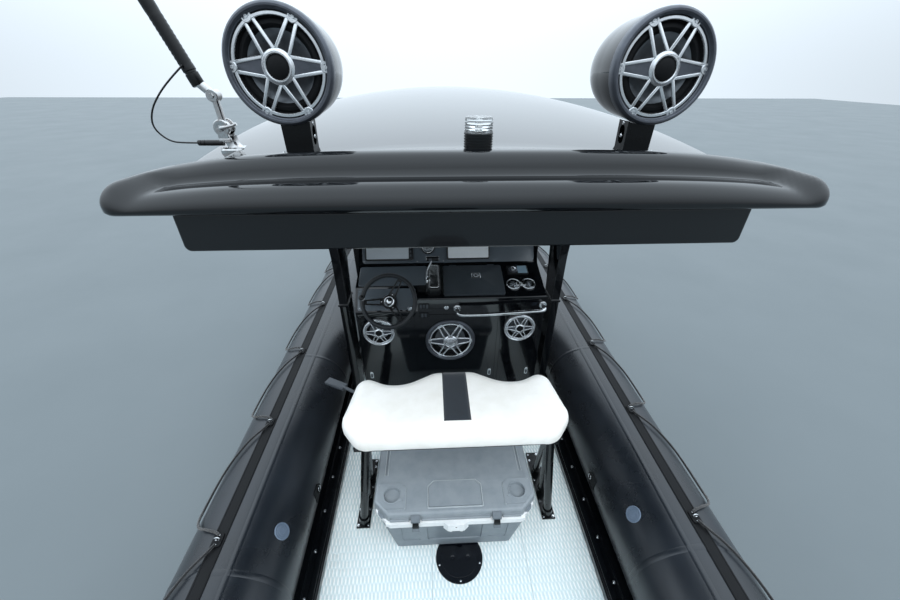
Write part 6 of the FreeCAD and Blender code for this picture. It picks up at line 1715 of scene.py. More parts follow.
@dataclass
class Console:
    """Helm console: gelcoat body with seams, instrument panels, loudspeakers, rail and glove-box lid."""

    aft: float = -0.400
    dash_edge: float = 1.240
    dash_top: tuple[float, float] = (-0.110, 1.330)
    riser_top: tuple[float, float] = (0.020, 1.555)
    helm: tuple[float, float] = (-0.605, -0.212)
    chamfer: tuple = ((-0.400, 1.146), (-0.300, 1.271))
    # Middle and width of each display, whether a white film lies on it
    displays: tuple = ((-0.400, 0.320, False), (0.130, 0.292, True))
    display: tuple[float, float] = (0.196, 0.022)
    # Middle, height and radius of each loudspeaker in the aft face
    speakers: tuple = ((-0.471, 0.992, 0.104), (0.455, 1.001, 0.104))
    bass: tuple[float, float, float] = (-0.004, 0.911, 0.166)
    # Doors in the aft face: x from and to, z from and to
    doors: tuple = ((-0.585, -0.235, 0.215, 1.115), (-0.195, 0.305, 0.215, 1.120), (0.330, 0.570, 0.215, 1.130))
    groove: float = 0.005
    cups: tuple = (0.408, 0.506)
    cup_y: float = -0.300
    lid_hinge: tuple[float, float] = (0.150, -0.135)
    lid_thick: float = 0.014

    def build(self) -> None:
        """Makes the body and everything that is fastened to it."""
        self.body()
        self.panels()
        self.screens()
        self.compass()
        self.throttle()
        self.cup_rings()
        self.remote()
        self.loudspeakers()
        self.rail()
        self.switches()
        self.lid()
        self.windscreen()

    def on_face(self, x: float, z: float) -> Matrix:
        """Frame on the aft face: +X starboard, +Y up, +Z aft."""
        return aim((x, self.aft, z), (0, -1, 0))

    def on_dash(self, x: float, y: float, lift: float = 0.0) -> Matrix:
        """Frame on the sloping dash: +X starboard, +Y up the slope, +Z off it."""
        slope = math.atan2(self.dash_top[1] - self.dash_edge, self.dash_top[0] - self.aft)
        normal = Vector((0, -math.sin(slope), math.cos(slope)))
        z = self.dash_edge + (y - self.aft) * math.tan(slope)
        return aim(tuple(Vector((x, y, z)) + normal * lift), tuple(normal))

    def on_riser(self, x: float, share: float) -> Matrix:
        """Frame on the display panel, share of the way up it: +X starboard, +Y up, +Z off it."""
        run, rise = self.riser_top[0] - self.dash_top[0], self.riser_top[1] - self.dash_top[1]
        slope = math.atan2(rise, run)
        normal = Vector((0, -math.sin(slope), math.cos(slope)))
        return aim((x, self.dash_top[0] + run * share, self.dash_top[1] + rise * share), tuple(normal))

    def body(self) -> None:
        """CAD body with recesses for the loudspeakers and a groove round each door."""
        cutter = Form("console_cutter")
        for x, z, radius in (*self.speakers, self.bass):
            cutter.lathe([(0.0, 0.03), (radius * 0.86, 0.03), (radius * 0.86, -radius * 0.42), (0.0, -radius * 0.42)],
                         self.on_face(x, z), 64)
        half, depth = self.groove / 2, 0.004
        section = np.array([(-half, -depth), (half, -depth), (half, 0.01), (-half, 0.01)])
        for x0, x1, z0, z1 in self.doors:
            ring = rounded(rectangle(x0, x1, z0, z1, 0.022), 6)
            path = placed(at_height(ring, 0.0), self.on_face(0, 0))
            cutter.sweep(path, 1.0, ring=True, section=section[:, ::-1], side=(0, -1, 0))
        softened("console", GELCOAT, "root", 0.0018, cutter=cutter)

    def panels(self) -> None:
        """Satin panels let into the helm's chamfer, the dash and the display panel, with their screws."""
        form = Form("console_panels")
        edge = (-0.001, 0.0015, 0.0012, 0.0025)
        (y0, z0), (y1, z1) = self.chamfer
        run = math.hypot(y1 - y0, z1 - z0)
        helm = aim((0, (y0 + y1) / 2, (z0 + z1) / 2), (0, -(z1 - z0), y1 - y0))
        x0, x1 = self.helm[0] + 0.014, self.helm[1] - 0.012
        form.plate((x0, x1, -run / 2 + 0.012, run / 2 - 0.010, 0.012), edge, helm)
        for x in (x0 + 0.014, x1 - 0.014):
            for y in (-run / 2 + 0.026, run / 2 - 0.024):
                form.screw_on(helm, (x, y, 0.0026), 0.004, 1)
        form.plate((x0, -0.150, -0.088, 0.088, 0.014), edge, self.on_dash(0, -0.205))
        riser = self.on_riser(0, 0.5)
        form.plate((-0.580, 0.580, -0.116, 0.116, 0.018), edge, riser)
        for x in (-0.568, -0.215, -0.040, 0.305, 0.568):
            for y in (-0.104, 0.104):
                form.screw_on(riser, (x, y, 0.0026), 0.004, 1)
        form.piece("root", [DASH_PANEL, STAINLESS], sharp=35.0)

    def screens(self) -> None:
        """Display cases: raised bezel, cover glass and a row of keys; one has a white film on its glass."""
        form = Form("display_screens")
        tall, thick = self.display
        for x, width, film in self.displays:
            spot = self.on_riser(x, 0.5)
            outer = rectangle(-width / 2, width / 2, -tall / 2, tall / 2, 0.012)
            form.slab(outer, [(0.0, 0.0), (0.0, thick * 0.75), (0.002, thick * 0.95), (0.005, thick)], spot, 0, 8)
            x0, x1 = -width / 2 + 0.010, width / 2 - (0.010 if film else 0.030)
            glass = rectangle(x0, x1, -tall / 2 + 0.010, tall / 2 - 0.010, 0.006)
            form.slab(glass, [(0.0, thick - 0.001), (0.0, thick + 0.0008), (0.0006, thick + 0.0014)], spot,
                      2 if film else 1, 5)
            if not film:
                for i in range(6):
                    key = rectangle(width / 2 - 0.024, width / 2 - 0.012, -0.074 + 0.026 * i, -0.058 + 0.026 * i,
                                    0.003)
                    form.slab(key, [(0.0, thick - 0.001), (0.0, thick + 0.001), (0.001, thick + 0.0018)], spot, 3, 3)
                knob = spot @ Matrix.Translation((width / 2 - 0.018, 0.082, thick))
                form.lathe([(0.0065, -0.001), (0.0065, 0.006), (0.0055, 0.008), (0.0, 0.008)], knob, 24, 3)
        form.piece("root", [MOULDED_BLACK, DISPLAY_GLASS, WHITE_FILM, LEVER_GREY], ("displays",),
                   sharp=32.0)

    def compass(self) -> None:
        """Square foot, bezel, card with its ring of marks and a clear dome."""
        spot = self.on_riser(-0.140, 0.45)
        form = Form("compass_case")
        form.lathe([(0.046, 0.0), (0.046, 0.010), (0.044, 0.014), (0.040, 0.0155), (0.037, 0.0145), (0.036, 0.006),
                    (0.0, 0.006)], spot, 64)
        form.lathe([(0.0365, 0.0125), (0.0365, 0.0155), (0.0345, 0.0165), (0.0325, 0.0155), (0.0325, 0.0125)],
                   spot, 64, 2)
        form.lathe([(0.0320, 0.006), (0.0315, 0.012), (0.026, 0.0145), (0.0, 0.0165)], spot, 48, 1)
        for i in range(24):
            turned = spot @ spun(15 * i)
            long = 0.006 if i % 6 == 0 else 0.003
            form.slab(rectangle(0.0245 - long, 0.0245, -0.0005, 0.0005, 0.0002),
                      [(0.0, 0.0145), (0.0, 0.0158)], turned, 3, 1)
        form.piece("root", [MOULDED_BLACK, SPEAKER_CONE, STAINLESS, WHITE_FILM], ("compass",),
                   sharp=32.0)
        dome = Form("compass_dome")
        arc = [(0.0330 * math.cos(a), 0.0150 + 0.0105 * math.sin(a)) for a in np.linspace(0, math.pi / 2, 12)]
        dome.lathe([(0.0330, 0.0135)] + arc, spot, 64)
        dome.piece("root", [ACRYLIC], sharp=50.0, solid=0.0012)

    def throttle(self) -> None:
        """Control box with a rounded top, side bosses, chrome lever and a grip across its end."""
        spot = self.on_dash(-0.105, -0.262)
        form = Form("throttle_box")
        base = rectangle(-0.042, 0.042, -0.120, 0.110, 0.020)
        form.slab(base, [(0.0, 0.0), (0.0, 0.040), (0.003, 0.050), (0.009, 0.056), (0.016, 0.058)], spot, 0, 8)
        form.slab(rectangle(-0.030, 0.030, -0.106, 0.096, 0.014),
                  [(0.0, 0.057), (0.0, 0.0590), (0.0015, 0.0605), (0.004, 0.0605), (0.0055, 0.0590)], spot, 2, 6)
        for y in np.linspace(-0.085, 0.0, 9):
            form.slab(rectangle(-0.022, 0.022, y - 0.0022, y + 0.0022, 0.0018), [(0.0, 0.058), (0.0008, 0.0612)],
                      spot, steps=3)
        side = spot @ Matrix.Translation((-0.0405, -0.020, 0.034)) @ spun(-90, "Y")
        form.lathe([(0.028, -0.004), (0.028, 0.006), (0.025, 0.010), (0.015, 0.011), (0.014, 0.008), (0.0, 0.008)],
                   side, 40, 1)
        self.lever(form, spot)
        form.piece("root", [MOULDED_BLACK, STAINLESS, TARNISHED, LEVER_GREY], ("throttle",),
                   sharp=34.0)

    @staticmethod
    def lever(form: Form, spot: Matrix) -> None:
        """Bent flat lever, a grip across its end with a bright ring at each side, and the grip's button."""
        lever = np.array([(-0.048, -0.020, 0.034), (-0.0475, -0.010, 0.062), (-0.040, 0.006, 0.100),
                          (-0.022, 0.022, 0.135), (-0.010, 0.032, 0.160), (-0.006, 0.034, 0.170)])
        path = placed(smooth_through(lever, 6), spot)
        turn = circle(16)
        flat = joined(0.0055 * np.cos(turn), 0.0115 * np.sin(turn))
        form.sweep(path, 1.0, section=flat, side=(1, 0, 0), finish=1)
        grip = spot @ Matrix.Translation((-0.046, 0.034, 0.172)) @ spun(90, "Y")
        form.lathe([(0.0, 0.0), (0.011, 0.0), (0.0135, 0.003), (0.0150, 0.012), (0.0146, 0.040), (0.0150, 0.068),
                    (0.0135, 0.077), (0.011, 0.080), (0.0, 0.080)], grip, 32)
        for along in (0.0015, 0.0785):
            form.lathe([(0.0128, along - 0.0016), (0.0142, along - 0.0008), (0.0142, along + 0.0008),
                        (0.0128, along + 0.0016)], grip, 32, 1)
        form.plate((-0.010, 0.010, -0.007, 0.007, 0.003), (0.013, 0.0165, 0.0015, 0.018),
                   spot @ Matrix.Translation((-0.020, 0.030, 0.171)) @ spun(60, "X"), 3, 4)

    def cup_rings(self) -> None:
        """Two bright rings with their wells, joined by a bridge."""
        form = Form("cup_holder_rings")
        for x in self.cups:
            spot = self.on_dash(x, self.cup_y)
            form.lathe([(0.0470, 0.0004), (0.0472, 0.006), (0.0465, 0.0095), (0.0440, 0.0120), (0.0415, 0.0120),
                        (0.0395, 0.0100), (0.0388, 0.004), (0.0376, -0.004)], spot, 72)
            low = Matrix.Translation(spot.to_translation())
            form.lathe([(0.0378, 0.004), (0.0374, -0.040), (0.0366, -0.066), (0.033, -0.0715), (0.0, -0.0715)],
                       low, 56)
            form.lathe([(0.0335, -0.0712), (0.0335, -0.069), (0.030, -0.068), (0.0, -0.068)], low, 48, 1)
        middle = self.on_dash(sum(self.cups) / 2, self.cup_y)
        form.plate((-0.030, 0.030, -0.015, 0.015, 0.004), (0.0004, 0.0085, 0.002, 0.0105), middle, steps=4)
        for y in (-0.008, 0.008):
            form.screw_on(middle, (0, y, 0.0103), 0.0035)
        form.piece("root", [STAINLESS, TRIM_RUBBER], ("cup_holders",), sharp=40.0)

    def remote(self) -> None:
        """Stereo remote: plate, pale blue screen, round knob with its ring of keys."""
        spot = self.on_dash(0.452, -0.178)
        form = Form("stereo_remote_panel")
        form.plate((-0.072, 0.072, -0.042, 0.042, 0.008), (0.0, 0.009, 0.0015, 0.012), spot)
        form.plate((0.002, 0.064, -0.034, 0.034, 0.003), (0.0115, 0.0128, 0.0006, 0.0132), spot, 1, 4)
        knob = spot @ Matrix.Translation((-0.028, 0, 0.0))
        form.lathe([(0.030, 0.0115), (0.030, 0.0130), (0.028, 0.0142), (0.020, 0.0142), (0.019, 0.0125)], knob, 48, 3)
        form.lathe([(0.016, 0.011), (0.016, 0.024), (0.0145, 0.028), (0.011, 0.0295), (0.0, 0.0290)], knob, 48, 2)
        form.piece("root", [MOULDED_BLACK, REMOTE_SCREEN, SPEAKER_SILVER, GUNMETAL],
                   ("stereo_remote",), sharp=32.0)

    def loudspeakers(self) -> None:
        """Two silver loudspeakers and the gunmetal bass loudspeaker."""
        form = Form("console_loudspeakers")
        for x, z, radius in self.speakers:
            Loudspeaker((x, self.aft - 0.0005, z), (0, -1, 0), radius, rim=0.12, proud=0.02, rim_finish=1).build(form)
        x, z, radius = self.bass
        Loudspeaker((x, self.aft - 0.0005, z), (0, -1, 0), radius, turns=(60.0, 120.0, 240.0, 300.0), hub=0.22,
                    web=0.29, cap_finish=1, proud=0.01).build(form)
        form.piece("root", [GUNMETAL, SPEAKER_SILVER, SPEAKER_CONE, TRIM_RUBBER],
                   ("console_speakers",), sharp=40.0)

    def rail(self) -> None:
        """Bent bright rail with a flange and two screws at each end."""
        form = Form("grab_rail_bar")
        stand = self.aft - 0.068
        points = np.array([(0.038, self.aft + 0.002, 1.162), (0.038, self.aft - 0.030, 1.162),
                           (0.040, stand + 0.014, 1.161), (0.056, stand + 0.002, 1.159), (0.085, stand, 1.156),
                           (0.20, stand, 1.156), (0.335, stand, 1.162), (0.46, stand, 1.1676), (0.545, stand, 1.1715),
                           (0.574, stand + 0.004, 1.174), (0.586, stand + 0.018, 1.1755),
                           (0.588, self.aft - 0.030, 1.176), (0.588, self.aft + 0.002, 1.176)])
        form.sweep(smooth_through(points, 6), 0.0125, steps=24)
        for x, z in ((0.038, 1.162), (0.588, 1.176)):
            spot = self.on_face(x, z)
            form.lathe([(0.0, 0.0), (0.024, 0.0), (0.024, 0.003), (0.021, 0.0055), (0.0135, 0.0065)], spot, 40)
            for dx, dz in ((-0.018, 0.0), (0.018, 0.0)):
                form.screw((x + dx, self.aft - 0.0042, z + dz), (0, -1, 0), 0.0034)
        form.piece("root", [STAINLESS], ("grab_rail",), sharp=40.0)

    def switches(self) -> None:
        """Two small plates of rocker switches, a sounder and a socket on the aft face, door latches."""
        form = Form("console_switches")
        for x, z, count in ((-0.172, 1.186, 3), (-0.174, 1.118, 2)):
            spot = self.on_face(x, z)
            form.plate((-0.034, 0.034, -0.019, 0.019, 0.004), (0.0, 0.003, 0.0012, 0.0042), spot, steps=4)
            for i in range(count):
                middle = (i - (count - 1) / 2) * 0.020
                rock = spun(10 if i % 2 else -10, "X")
                tilt = spot @ Matrix.Translation((middle, 0, 0.004)) @ rock
                form.plate((-0.0065, 0.0065, -0.013, 0.013, 0.002), (-0.002, 0.003, 0.0012, 0.0045), tilt, 1, 3)
        for x, z in ((-0.262, 1.170), (-0.030, 1.170)):
            spot = self.on_face(x, z)
            form.lathe([(0.0, 0.0), (0.015, 0.0), (0.015, 0.003), (0.0135, 0.0045), (0.010, 0.005), (0.009, 0.0035),
                        (0.0, 0.0035)], spot, 32, 2)
        for x0, x1, *_ in self.doors:
            spot = self.on_face(x1 - 0.030 if x0 > -0.3 else x0 + 0.030, 0.62)
            form.plate((-0.012, 0.012, -0.030, 0.030, 0.010), (0.0, 0.003, 0.002, 0.0045), spot, 2)
            form.plate((-0.007, 0.007, -0.020, 0.012, 0.005), (0.004, 0.0065, 0.0015, 0.0078), spot, 1, 5)
        form.piece("root", [MOULDED_BLACK, LEVER_GREY, STAINLESS], sharp=34.0)

    def lid(self) -> None:
        """Satin glove-box lid with its latch plate and pull, on the hinge's moving half."""
        softened("glovebox_lid", DASH_LID, "glovebox_lid", 0.0025)
        form = Form("glovebox_latch")
        x, y = self.lid_hinge
        spot = self.on_dash(x, y, 0.0003) @ Matrix.Translation((0.020, -0.100, self.lid_thick))
        form.slab(rectangle(-0.029, 0.029, -0.024, 0.024, 0.007),
                  [(0.0, 0.0002), (0.0, 0.0036), (0.0018, 0.0050), (0.005, 0.0052), (0.0062, 0.0042)], spot)
        turn = circle(32)
        ring = joined(0.0150 * np.cos(turn), 0.0125 * np.sin(turn), 0.0062)
        form.sweep(placed(ring, spot), 0.0020, steps=10, ring=True)
        form.lathe([(0.006, 0.003), (0.006, 0.0062), (0.0045, 0.0074), (0.0, 0.0074)], spot, 24, 1)
        form.piece("glovebox_lid", [STAINLESS, MOULDED_BLACK], sharp=36.0)

    def windscreen(self) -> None:
        """Clear screen with polished edges and four clamps at its foot."""
        softened("windscreen", ACRYLIC, "root", 0.0012)
        form = Form("windscreen_clamps")
        for x in (-0.46, -0.16, 0.16, 0.46):
            form.plate((x - 0.020, x + 0.020, 0.235, 0.255, 0.004), (1.556, 1.586, 0.002, 1.589), steps=4)
            form.screw((x, 0.2352, 1.575), (0, -1, 0), 0.005)
        form.piece("root", [STAINLESS], sharp=36.0)


@dataclass
class SteeringWheel:
    """Dished wheel with three slotted twin-bar arms, a soft rim, a bright hub and a spinner knob."""

    centre: tuple[float, float, float] = (-0.380, -0.465, 1.268)
    outer: float = 0.172
    rim: float = 0.014
    tilt: float = 38.0
    dish: float = 0.027
    arms: tuple[float, ...] = (62.0, 182.0, 302.0)
    bumps: int = 24
    dent: float = 0.0009
    slack: float = 0.0004        # how much thinner the soft rim is than its CAD ring

    def build(self) -> None:
        """Makes the wheel on its own body and the boss on the helm."""
        place = Matrix.Translation(self.centre) @ spun(90.0 - self.tilt, "X")
        form = Form("steering_wheel_skin")
        self.ring(form, place)
        self.spokes(form, place)
        self.hub(form, place)
        self.spinner(form, place)
        form.piece("wheel", [WHEEL_GRIP, GUNMETAL, STAINLESS, MOULDED_BLACK], ("steering_wheel",),
                   sharp=38.0)
        softened("helm_boss", MOULDED_BLACK, "root", 0.003)

    def ring(self, form: Form, place: Matrix) -> None:
        """Rim with finger dents on the side that faces the hub.

        Its radius at turn a round the wheel and b round the rim is rim - slack - dent * max(0, -cos b) *
        (1 + sin(bumps a)) / 2.
        """
        reach = self.outer - self.rim
        a = circle(192)[:, None]
        b = circle(24)
        dent = self.dent * np.clip(-np.cos(b), 0, 1) * (0.5 + 0.5 * np.sin(self.bumps * a))
        thick = self.rim - self.slack - dent
        away = reach + thick * np.cos(b)
        surface = joined(away * np.cos(a), away * np.sin(a), thick * np.sin(b))
        form.grid(placed(surface, place), around=True, ring=True, uv=joined(a * reach, b * self.rim))

    def spokes(self, form: Form, place: Matrix) -> None:
        """Two bars to each arm that lean together towards the rim, with a web at both ends."""
        reach = self.outer - self.rim
        lean = Matrix.Rotation(-math.atan2(self.dish, reach), 4, "Y")
        for turn in self.arms:
            spot = place @ spun(turn) @ Matrix.Translation((0, 0, -self.dish)) @ lean
            edge = [(0.0012, -0.0048), (0.0, -0.0036), (0.0, 0.0030), (0.0016, 0.0048)]
            for side in (-1, 1):
                bar = [(0.030, side * 0.0130, 0.001), (reach, side * 0.0060, 0.001), (reach, side * 0.0138, 0.001),
                       (0.030, side * 0.0245, 0.001)]
                form.slab(bar if side > 0 else bar[::-1], edge, spot, 3, 2)
            for x0, x1, half in ((0.030, 0.056, 0.0235), (reach - 0.024, reach, 0.0140)):
                form.slab(rectangle(x0, x1, -half, half, 0.004), edge, spot, 3, 3)
            form.screw_on(spot, (0.047, 0, 0.0046), 0.0035, 2)

    def hub(self, form: Form, place: Matrix) -> None:
        """Turned hub with a bright bezel, a dark band and a domed bright cap; the shaft stub behind it."""
        low = -self.dish - 0.013
        form.lathe([(0.0140, low - 0.058), (0.0140, low), (0.0455, low), (0.0455, low + 0.005),
                    (0.0385, low + 0.0255), (0.0365, low + 0.0270), (0.030, low + 0.0270)], place, 64, 3)
        form.lathe([(0.0310, low + 0.0265), (0.0310, low + 0.0300), (0.0285, low + 0.0320), (0.0260, low + 0.0315),
                    (0.0235, low + 0.0290), (0.0150, low + 0.0290), (0.0140, low + 0.0330), (0.010, low + 0.0350),
                    (0.0, low + 0.0356)], place, 64, 2)

    def spinner(self, form: Form, place: Matrix) -> None:
        """Knob on a bright collar that turns on the rim."""
        spot = place @ Matrix.Translation((-(self.outer - self.rim), 0.020, 0.0))
        form.lathe([(0.0, 0.006), (0.0160, 0.008), (0.0165, 0.0145), (0.0120, 0.0165), (0.0085, 0.0180)], spot, 40, 2)
        form.lathe([(0.0080, 0.0165), (0.0130, 0.0185), (0.0165, 0.0240), (0.0170, 0.0310), (0.0155, 0.0380),
                    (0.0110, 0.0415), (0.0, 0.0420)], spot, 40, 3)


# Ice chest, leaning post, deck and front cushions


@dataclass
class IceChest:
    """Rotomoulded ice chest: body with feet, white trim, stepped lid with cup recesses, two draw latches."""

    x: float = -0.025
    lid_aft: float = -1.400
    lid_z: tuple[float, float] = (0.5883, 0.6403)
    cups: tuple[float, float] = (0.315, -1.302)
    latches: tuple[float, float] = (-0.196, 0.199)
    face_top: tuple[float, float] = (-1.386, 0.588)
    face_foot: tuple[float, float] = (-1.316, 0.168)

    def build(self) -> None:
        """Makes the fixed box and everything that swings with the lid."""
        self.box()
        self.trim()
        self.lid()
        self.latch_pair()

    def on_face(self) -> Matrix:
        """Frame on the box's sloping aft face: origin at its upper edge, +Y up the face, +Z off it."""
        (y1, z1), (y0, z0) = self.face_top, self.face_foot
        return aim((self.x, y1, z1), (0, z0 - z1, y1 - y0))

    def box(self) -> None:
        """Box with a shallow recess in its aft face between two stiffening pads, and side handles."""
        cutter = Form("chest_cutter")
        face = self.on_face()
        for x0, x1, depth in ((-0.150, 0.150, 0.006), (-0.285, -0.180, 0.003), (0.180, 0.285, 0.003)):
            cutter.slab(rectangle(x0, x1, -0.345, -0.075, 0.020), [(0.006, -depth), (0.0, 0.02)], face, 0, 5)
        softened("chest_body", CHEST_BODY, "root", 0.0025, cutter=cutter)
        form = Form("chest_handles")
        for side, at in ((-1, -0.408), (1, 0.358)):
            for y in (-1.230, -1.080):
                spot = aim((at - side * 0.006, y, 0.510), (side, 0, 0))
                form.plate((-0.020, 0.020, -0.026, 0.026, 0.007), (-0.01, 0.014, 0.003, 0.018), spot, steps=5)
            bend = np.array([(at + side * 0.008, -1.230, 0.505), (at + side * 0.024, -1.226, 0.480),
                             (at + side * 0.028, -1.200, 0.462), (at + side * 0.028, -1.155, 0.458),
                             (at + side * 0.028, -1.110, 0.462), (at + side * 0.024, -1.084, 0.480),
                             (at + side * 0.008, -1.080, 0.505)])
            form.sweep(smooth_through(bend, 5), 0.0085, steps=14, finish=1)
        form.piece("root", [CHEST_BODY, MOULDED_BLACK], sharp=36.0)

    def trim(self) -> None:
        """White band with two stepped ribs between the latches, and the lock plate's hole."""
        softened("chest_trim", CHEST_WHITE, "root", 0.0015)
        form = Form("chest_trim_ribs")
        plane = aim((self.x, self.lid_aft + 0.0005, 0.0), (0, -1, 0))
        for z, tall, out in ((0.5835, 0.0030, 0.0095), (0.5760, 0.0035, 0.0070), (0.5660, 0.0040, 0.0050)):
            for x0, x1 in ((-0.322, -0.226), (-0.168, -0.064), (0.064, 0.171), (0.229, 0.322)):
                form.plate((x0, x1, z - tall, z + tall, 0.0015), (0.0, out - 0.001, 0.001, out), plane, steps=2)
        for x in (-0.332, 0.332):
            form.plate((x - 0.010, x + 0.010, 0.560, 0.586, 0.003), (0.0, 0.011, 0.0015, 0.0125), plane, steps=3)
        lock = aim((self.x, self.lid_aft - 0.034, 0.0), (0, -1, 0))
        for x in (-0.026, 0.026):
            form.plate((x - 0.007, x + 0.007, 0.524, 0.542, 0.003), (-0.014, -0.004, 0.002, -0.002), lock, steps=4)
        hole = aim((self.x, self.lid_aft - 0.0342, 0.570), (0, -1, 0))
        form.lathe([(0.0065, -0.001), (0.0065, 0.0012), (0.0052, 0.0016), (0.0042, 0.0006)], hole, 24)
        form.lathe([(0.0043, 0.0003), (0.0, 0.0003)], hole, 24, 1)
        form.piece("root", [CHEST_WHITE, TRIM_RUBBER], sharp=34.0)

    def lid(self) -> None:
        """Lid with crisp raised panels, its stepped aft flange, ribs and recess rims."""
        # The lid's finish is painted paler than the box, for the light of the sky on its upper face.
        softened("chest_lid", CHEST_LID_LIT, "chest_lid", 0.0016)
        form = Form("chest_lid_details")
        low = self.lid_z[0]
        plane = aim((self.x, self.lid_aft + 0.0005, 0.0), (0, -1, 0))
        for x0, x1 in ((-0.322, -0.226), (-0.168, 0.171), (0.229, 0.322)):
            form.plate((x0, x1, low + 0.001, low + 0.016, 0.003), (0.0, 0.0065, 0.0020, 0.0088), plane, steps=3)
            form.plate((x0 + 0.004, x1 - 0.004, low + 0.020, low + 0.024, 0.0015), (0.0, 0.0022, 0.0012, 0.0032),
                       plane, steps=2)
        self.cup_rims(form)
        self.ridges(form)
        form.piece("chest_lid", [CHEST_LID_LIT, CHEST_RIM_HIGHLIGHT], sharp=34.0)

    def cup_rims(self, form: Form) -> None:
        """Raised rim round each cup recess, with a short rib beside it."""
        cx, cy = self.cups
        for side in (-1, 1):
            spot = Matrix.Translation((self.x + side * cx, cy, self.lid_z[1] + 0.005))
            form.lathe([(0.0400, -0.012), (0.0405, 0.0), (0.0415, 0.0016), (0.0435, 0.0018), (0.0450, 0.0008),
                        (0.0455, -0.001)], spot, 56)
            form.plate((-0.006, 0.006, 0.040, 0.062, 0.002), (-0.002, 0.0012, 0.0012, 0.0022),
                       spot @ spun(120 * side), steps=2)

    def ridges(self, form: Form) -> None:
        """Ridges round the lid's middle and its aft corners, lines that run forward, and pads at the hinge."""
        top = self.lid_z[1]
        ridge = rounded([(-0.135, -1.375, 0.004), (0.135, -1.375, 0.004), (0.135, -1.262, 0.004),
                         (0.108, -1.236, 0.004), (-0.108, -1.236, 0.004), (-0.135, -1.262, 0.004)], 3)
        shift = (self.x, 0.0)
        # The ridges and lines carry the rim finish: a painted highlight, lighter than the lid.
        form.sweep(at_height(ridge + shift, top + 0.0016), 0.0034, steps=10, ring=True, finish=1)
        for side in (-1, 1):
            rim = rounded([(side * 0.392, -1.245, 0.004), (side * 0.275, -1.245, 0.004),
                           (side * 0.248, -1.268, 0.004), (side * 0.248, -1.380, 0.004)], 3)[2:-2]
            form.sweep(at_height(rim + shift, top + 0.0016), 0.0032, steps=10, finish=1)
            for inner in (0.345, 0.360):
                line = np.array([(self.x + side * inner, y, top + 0.0004) for y in (-1.195, -0.985)])
                form.sweep(line, 0.0024, steps=8, finish=1)
            spot = Matrix.Translation((self.x + side * 0.300, -0.962, top))
            form.plate((-0.052, 0.052, -0.034, 0.040, 0.016), (-0.001, 0.003, 0.002, 0.005), spot, steps=5)
        form.plate((self.x - 0.140, self.x + 0.140, -0.996, -0.925, 0.020),
                   (top - 0.001, top + 0.004, 0.002, top + 0.006), steps=5)

    def latch_pair(self) -> None:
        """Each latch: grey block on the lid, a black hook over its edge and a grey strap below."""
        form = Form("chest_latch_pair")
        back = self.lid_aft
        block = [(-0.0235, 0.600), (0.0, 0.600), (0.0, 0.6335), (-0.0030, 0.6325), (-0.0235, 0.6130)]
        hook = [(-0.0385, 0.5800), (-0.0250, 0.5800), (-0.0225, 0.6010), (-0.0278, 0.6010)]
        strap = [(-0.0438, 0.5625), (-0.0285, 0.5625), (-0.0255, 0.5805), (-0.0370, 0.5805)]
        round_edge = 0.0012
        for middle in self.latches:
            for shape, half, finish in ((block, 0.022, 0), (hook, 0.0150, 1), (strap, 0.0175, 0)):
                corners = [(back + y, z, round_edge) for y, z in shape]
                profile = [(round_edge, 0.0), (0.0, round_edge), (0.0, 2 * half - round_edge), (round_edge, 2 * half)]
                form.slab(corners, profile, aim((self.x + middle - half, 0, 0), (1, 0, 0)), finish, 2)
            for side in (-1, 1):
                spot = aim((self.x + middle + side * 0.0218, back - 0.012, 0.6085), (side, 0, 0))
                form.lathe([(0.0045, -0.002), (0.0045, 0.0010), (0.0032, 0.0016), (0.0, 0.0016)], spot, 20, 2)
            for z in (0.588, 0.594):
                matrix = aim((self.x + middle, back - 0.0335 + (z - 0.588) * 0.5, z), (0, -1, 0.2))
                form.slab(rectangle(-0.013, 0.013, -0.0012, 0.0012, 0.0008), [(0.0, -0.002), (0.0, 0.0008)],
                          matrix, 1, 2)
        form.piece("chest_lid", [LATCH_GREY, MOULDED_BLACK, STAINLESS], ("chest_latches",),
                   sharp=30.0)


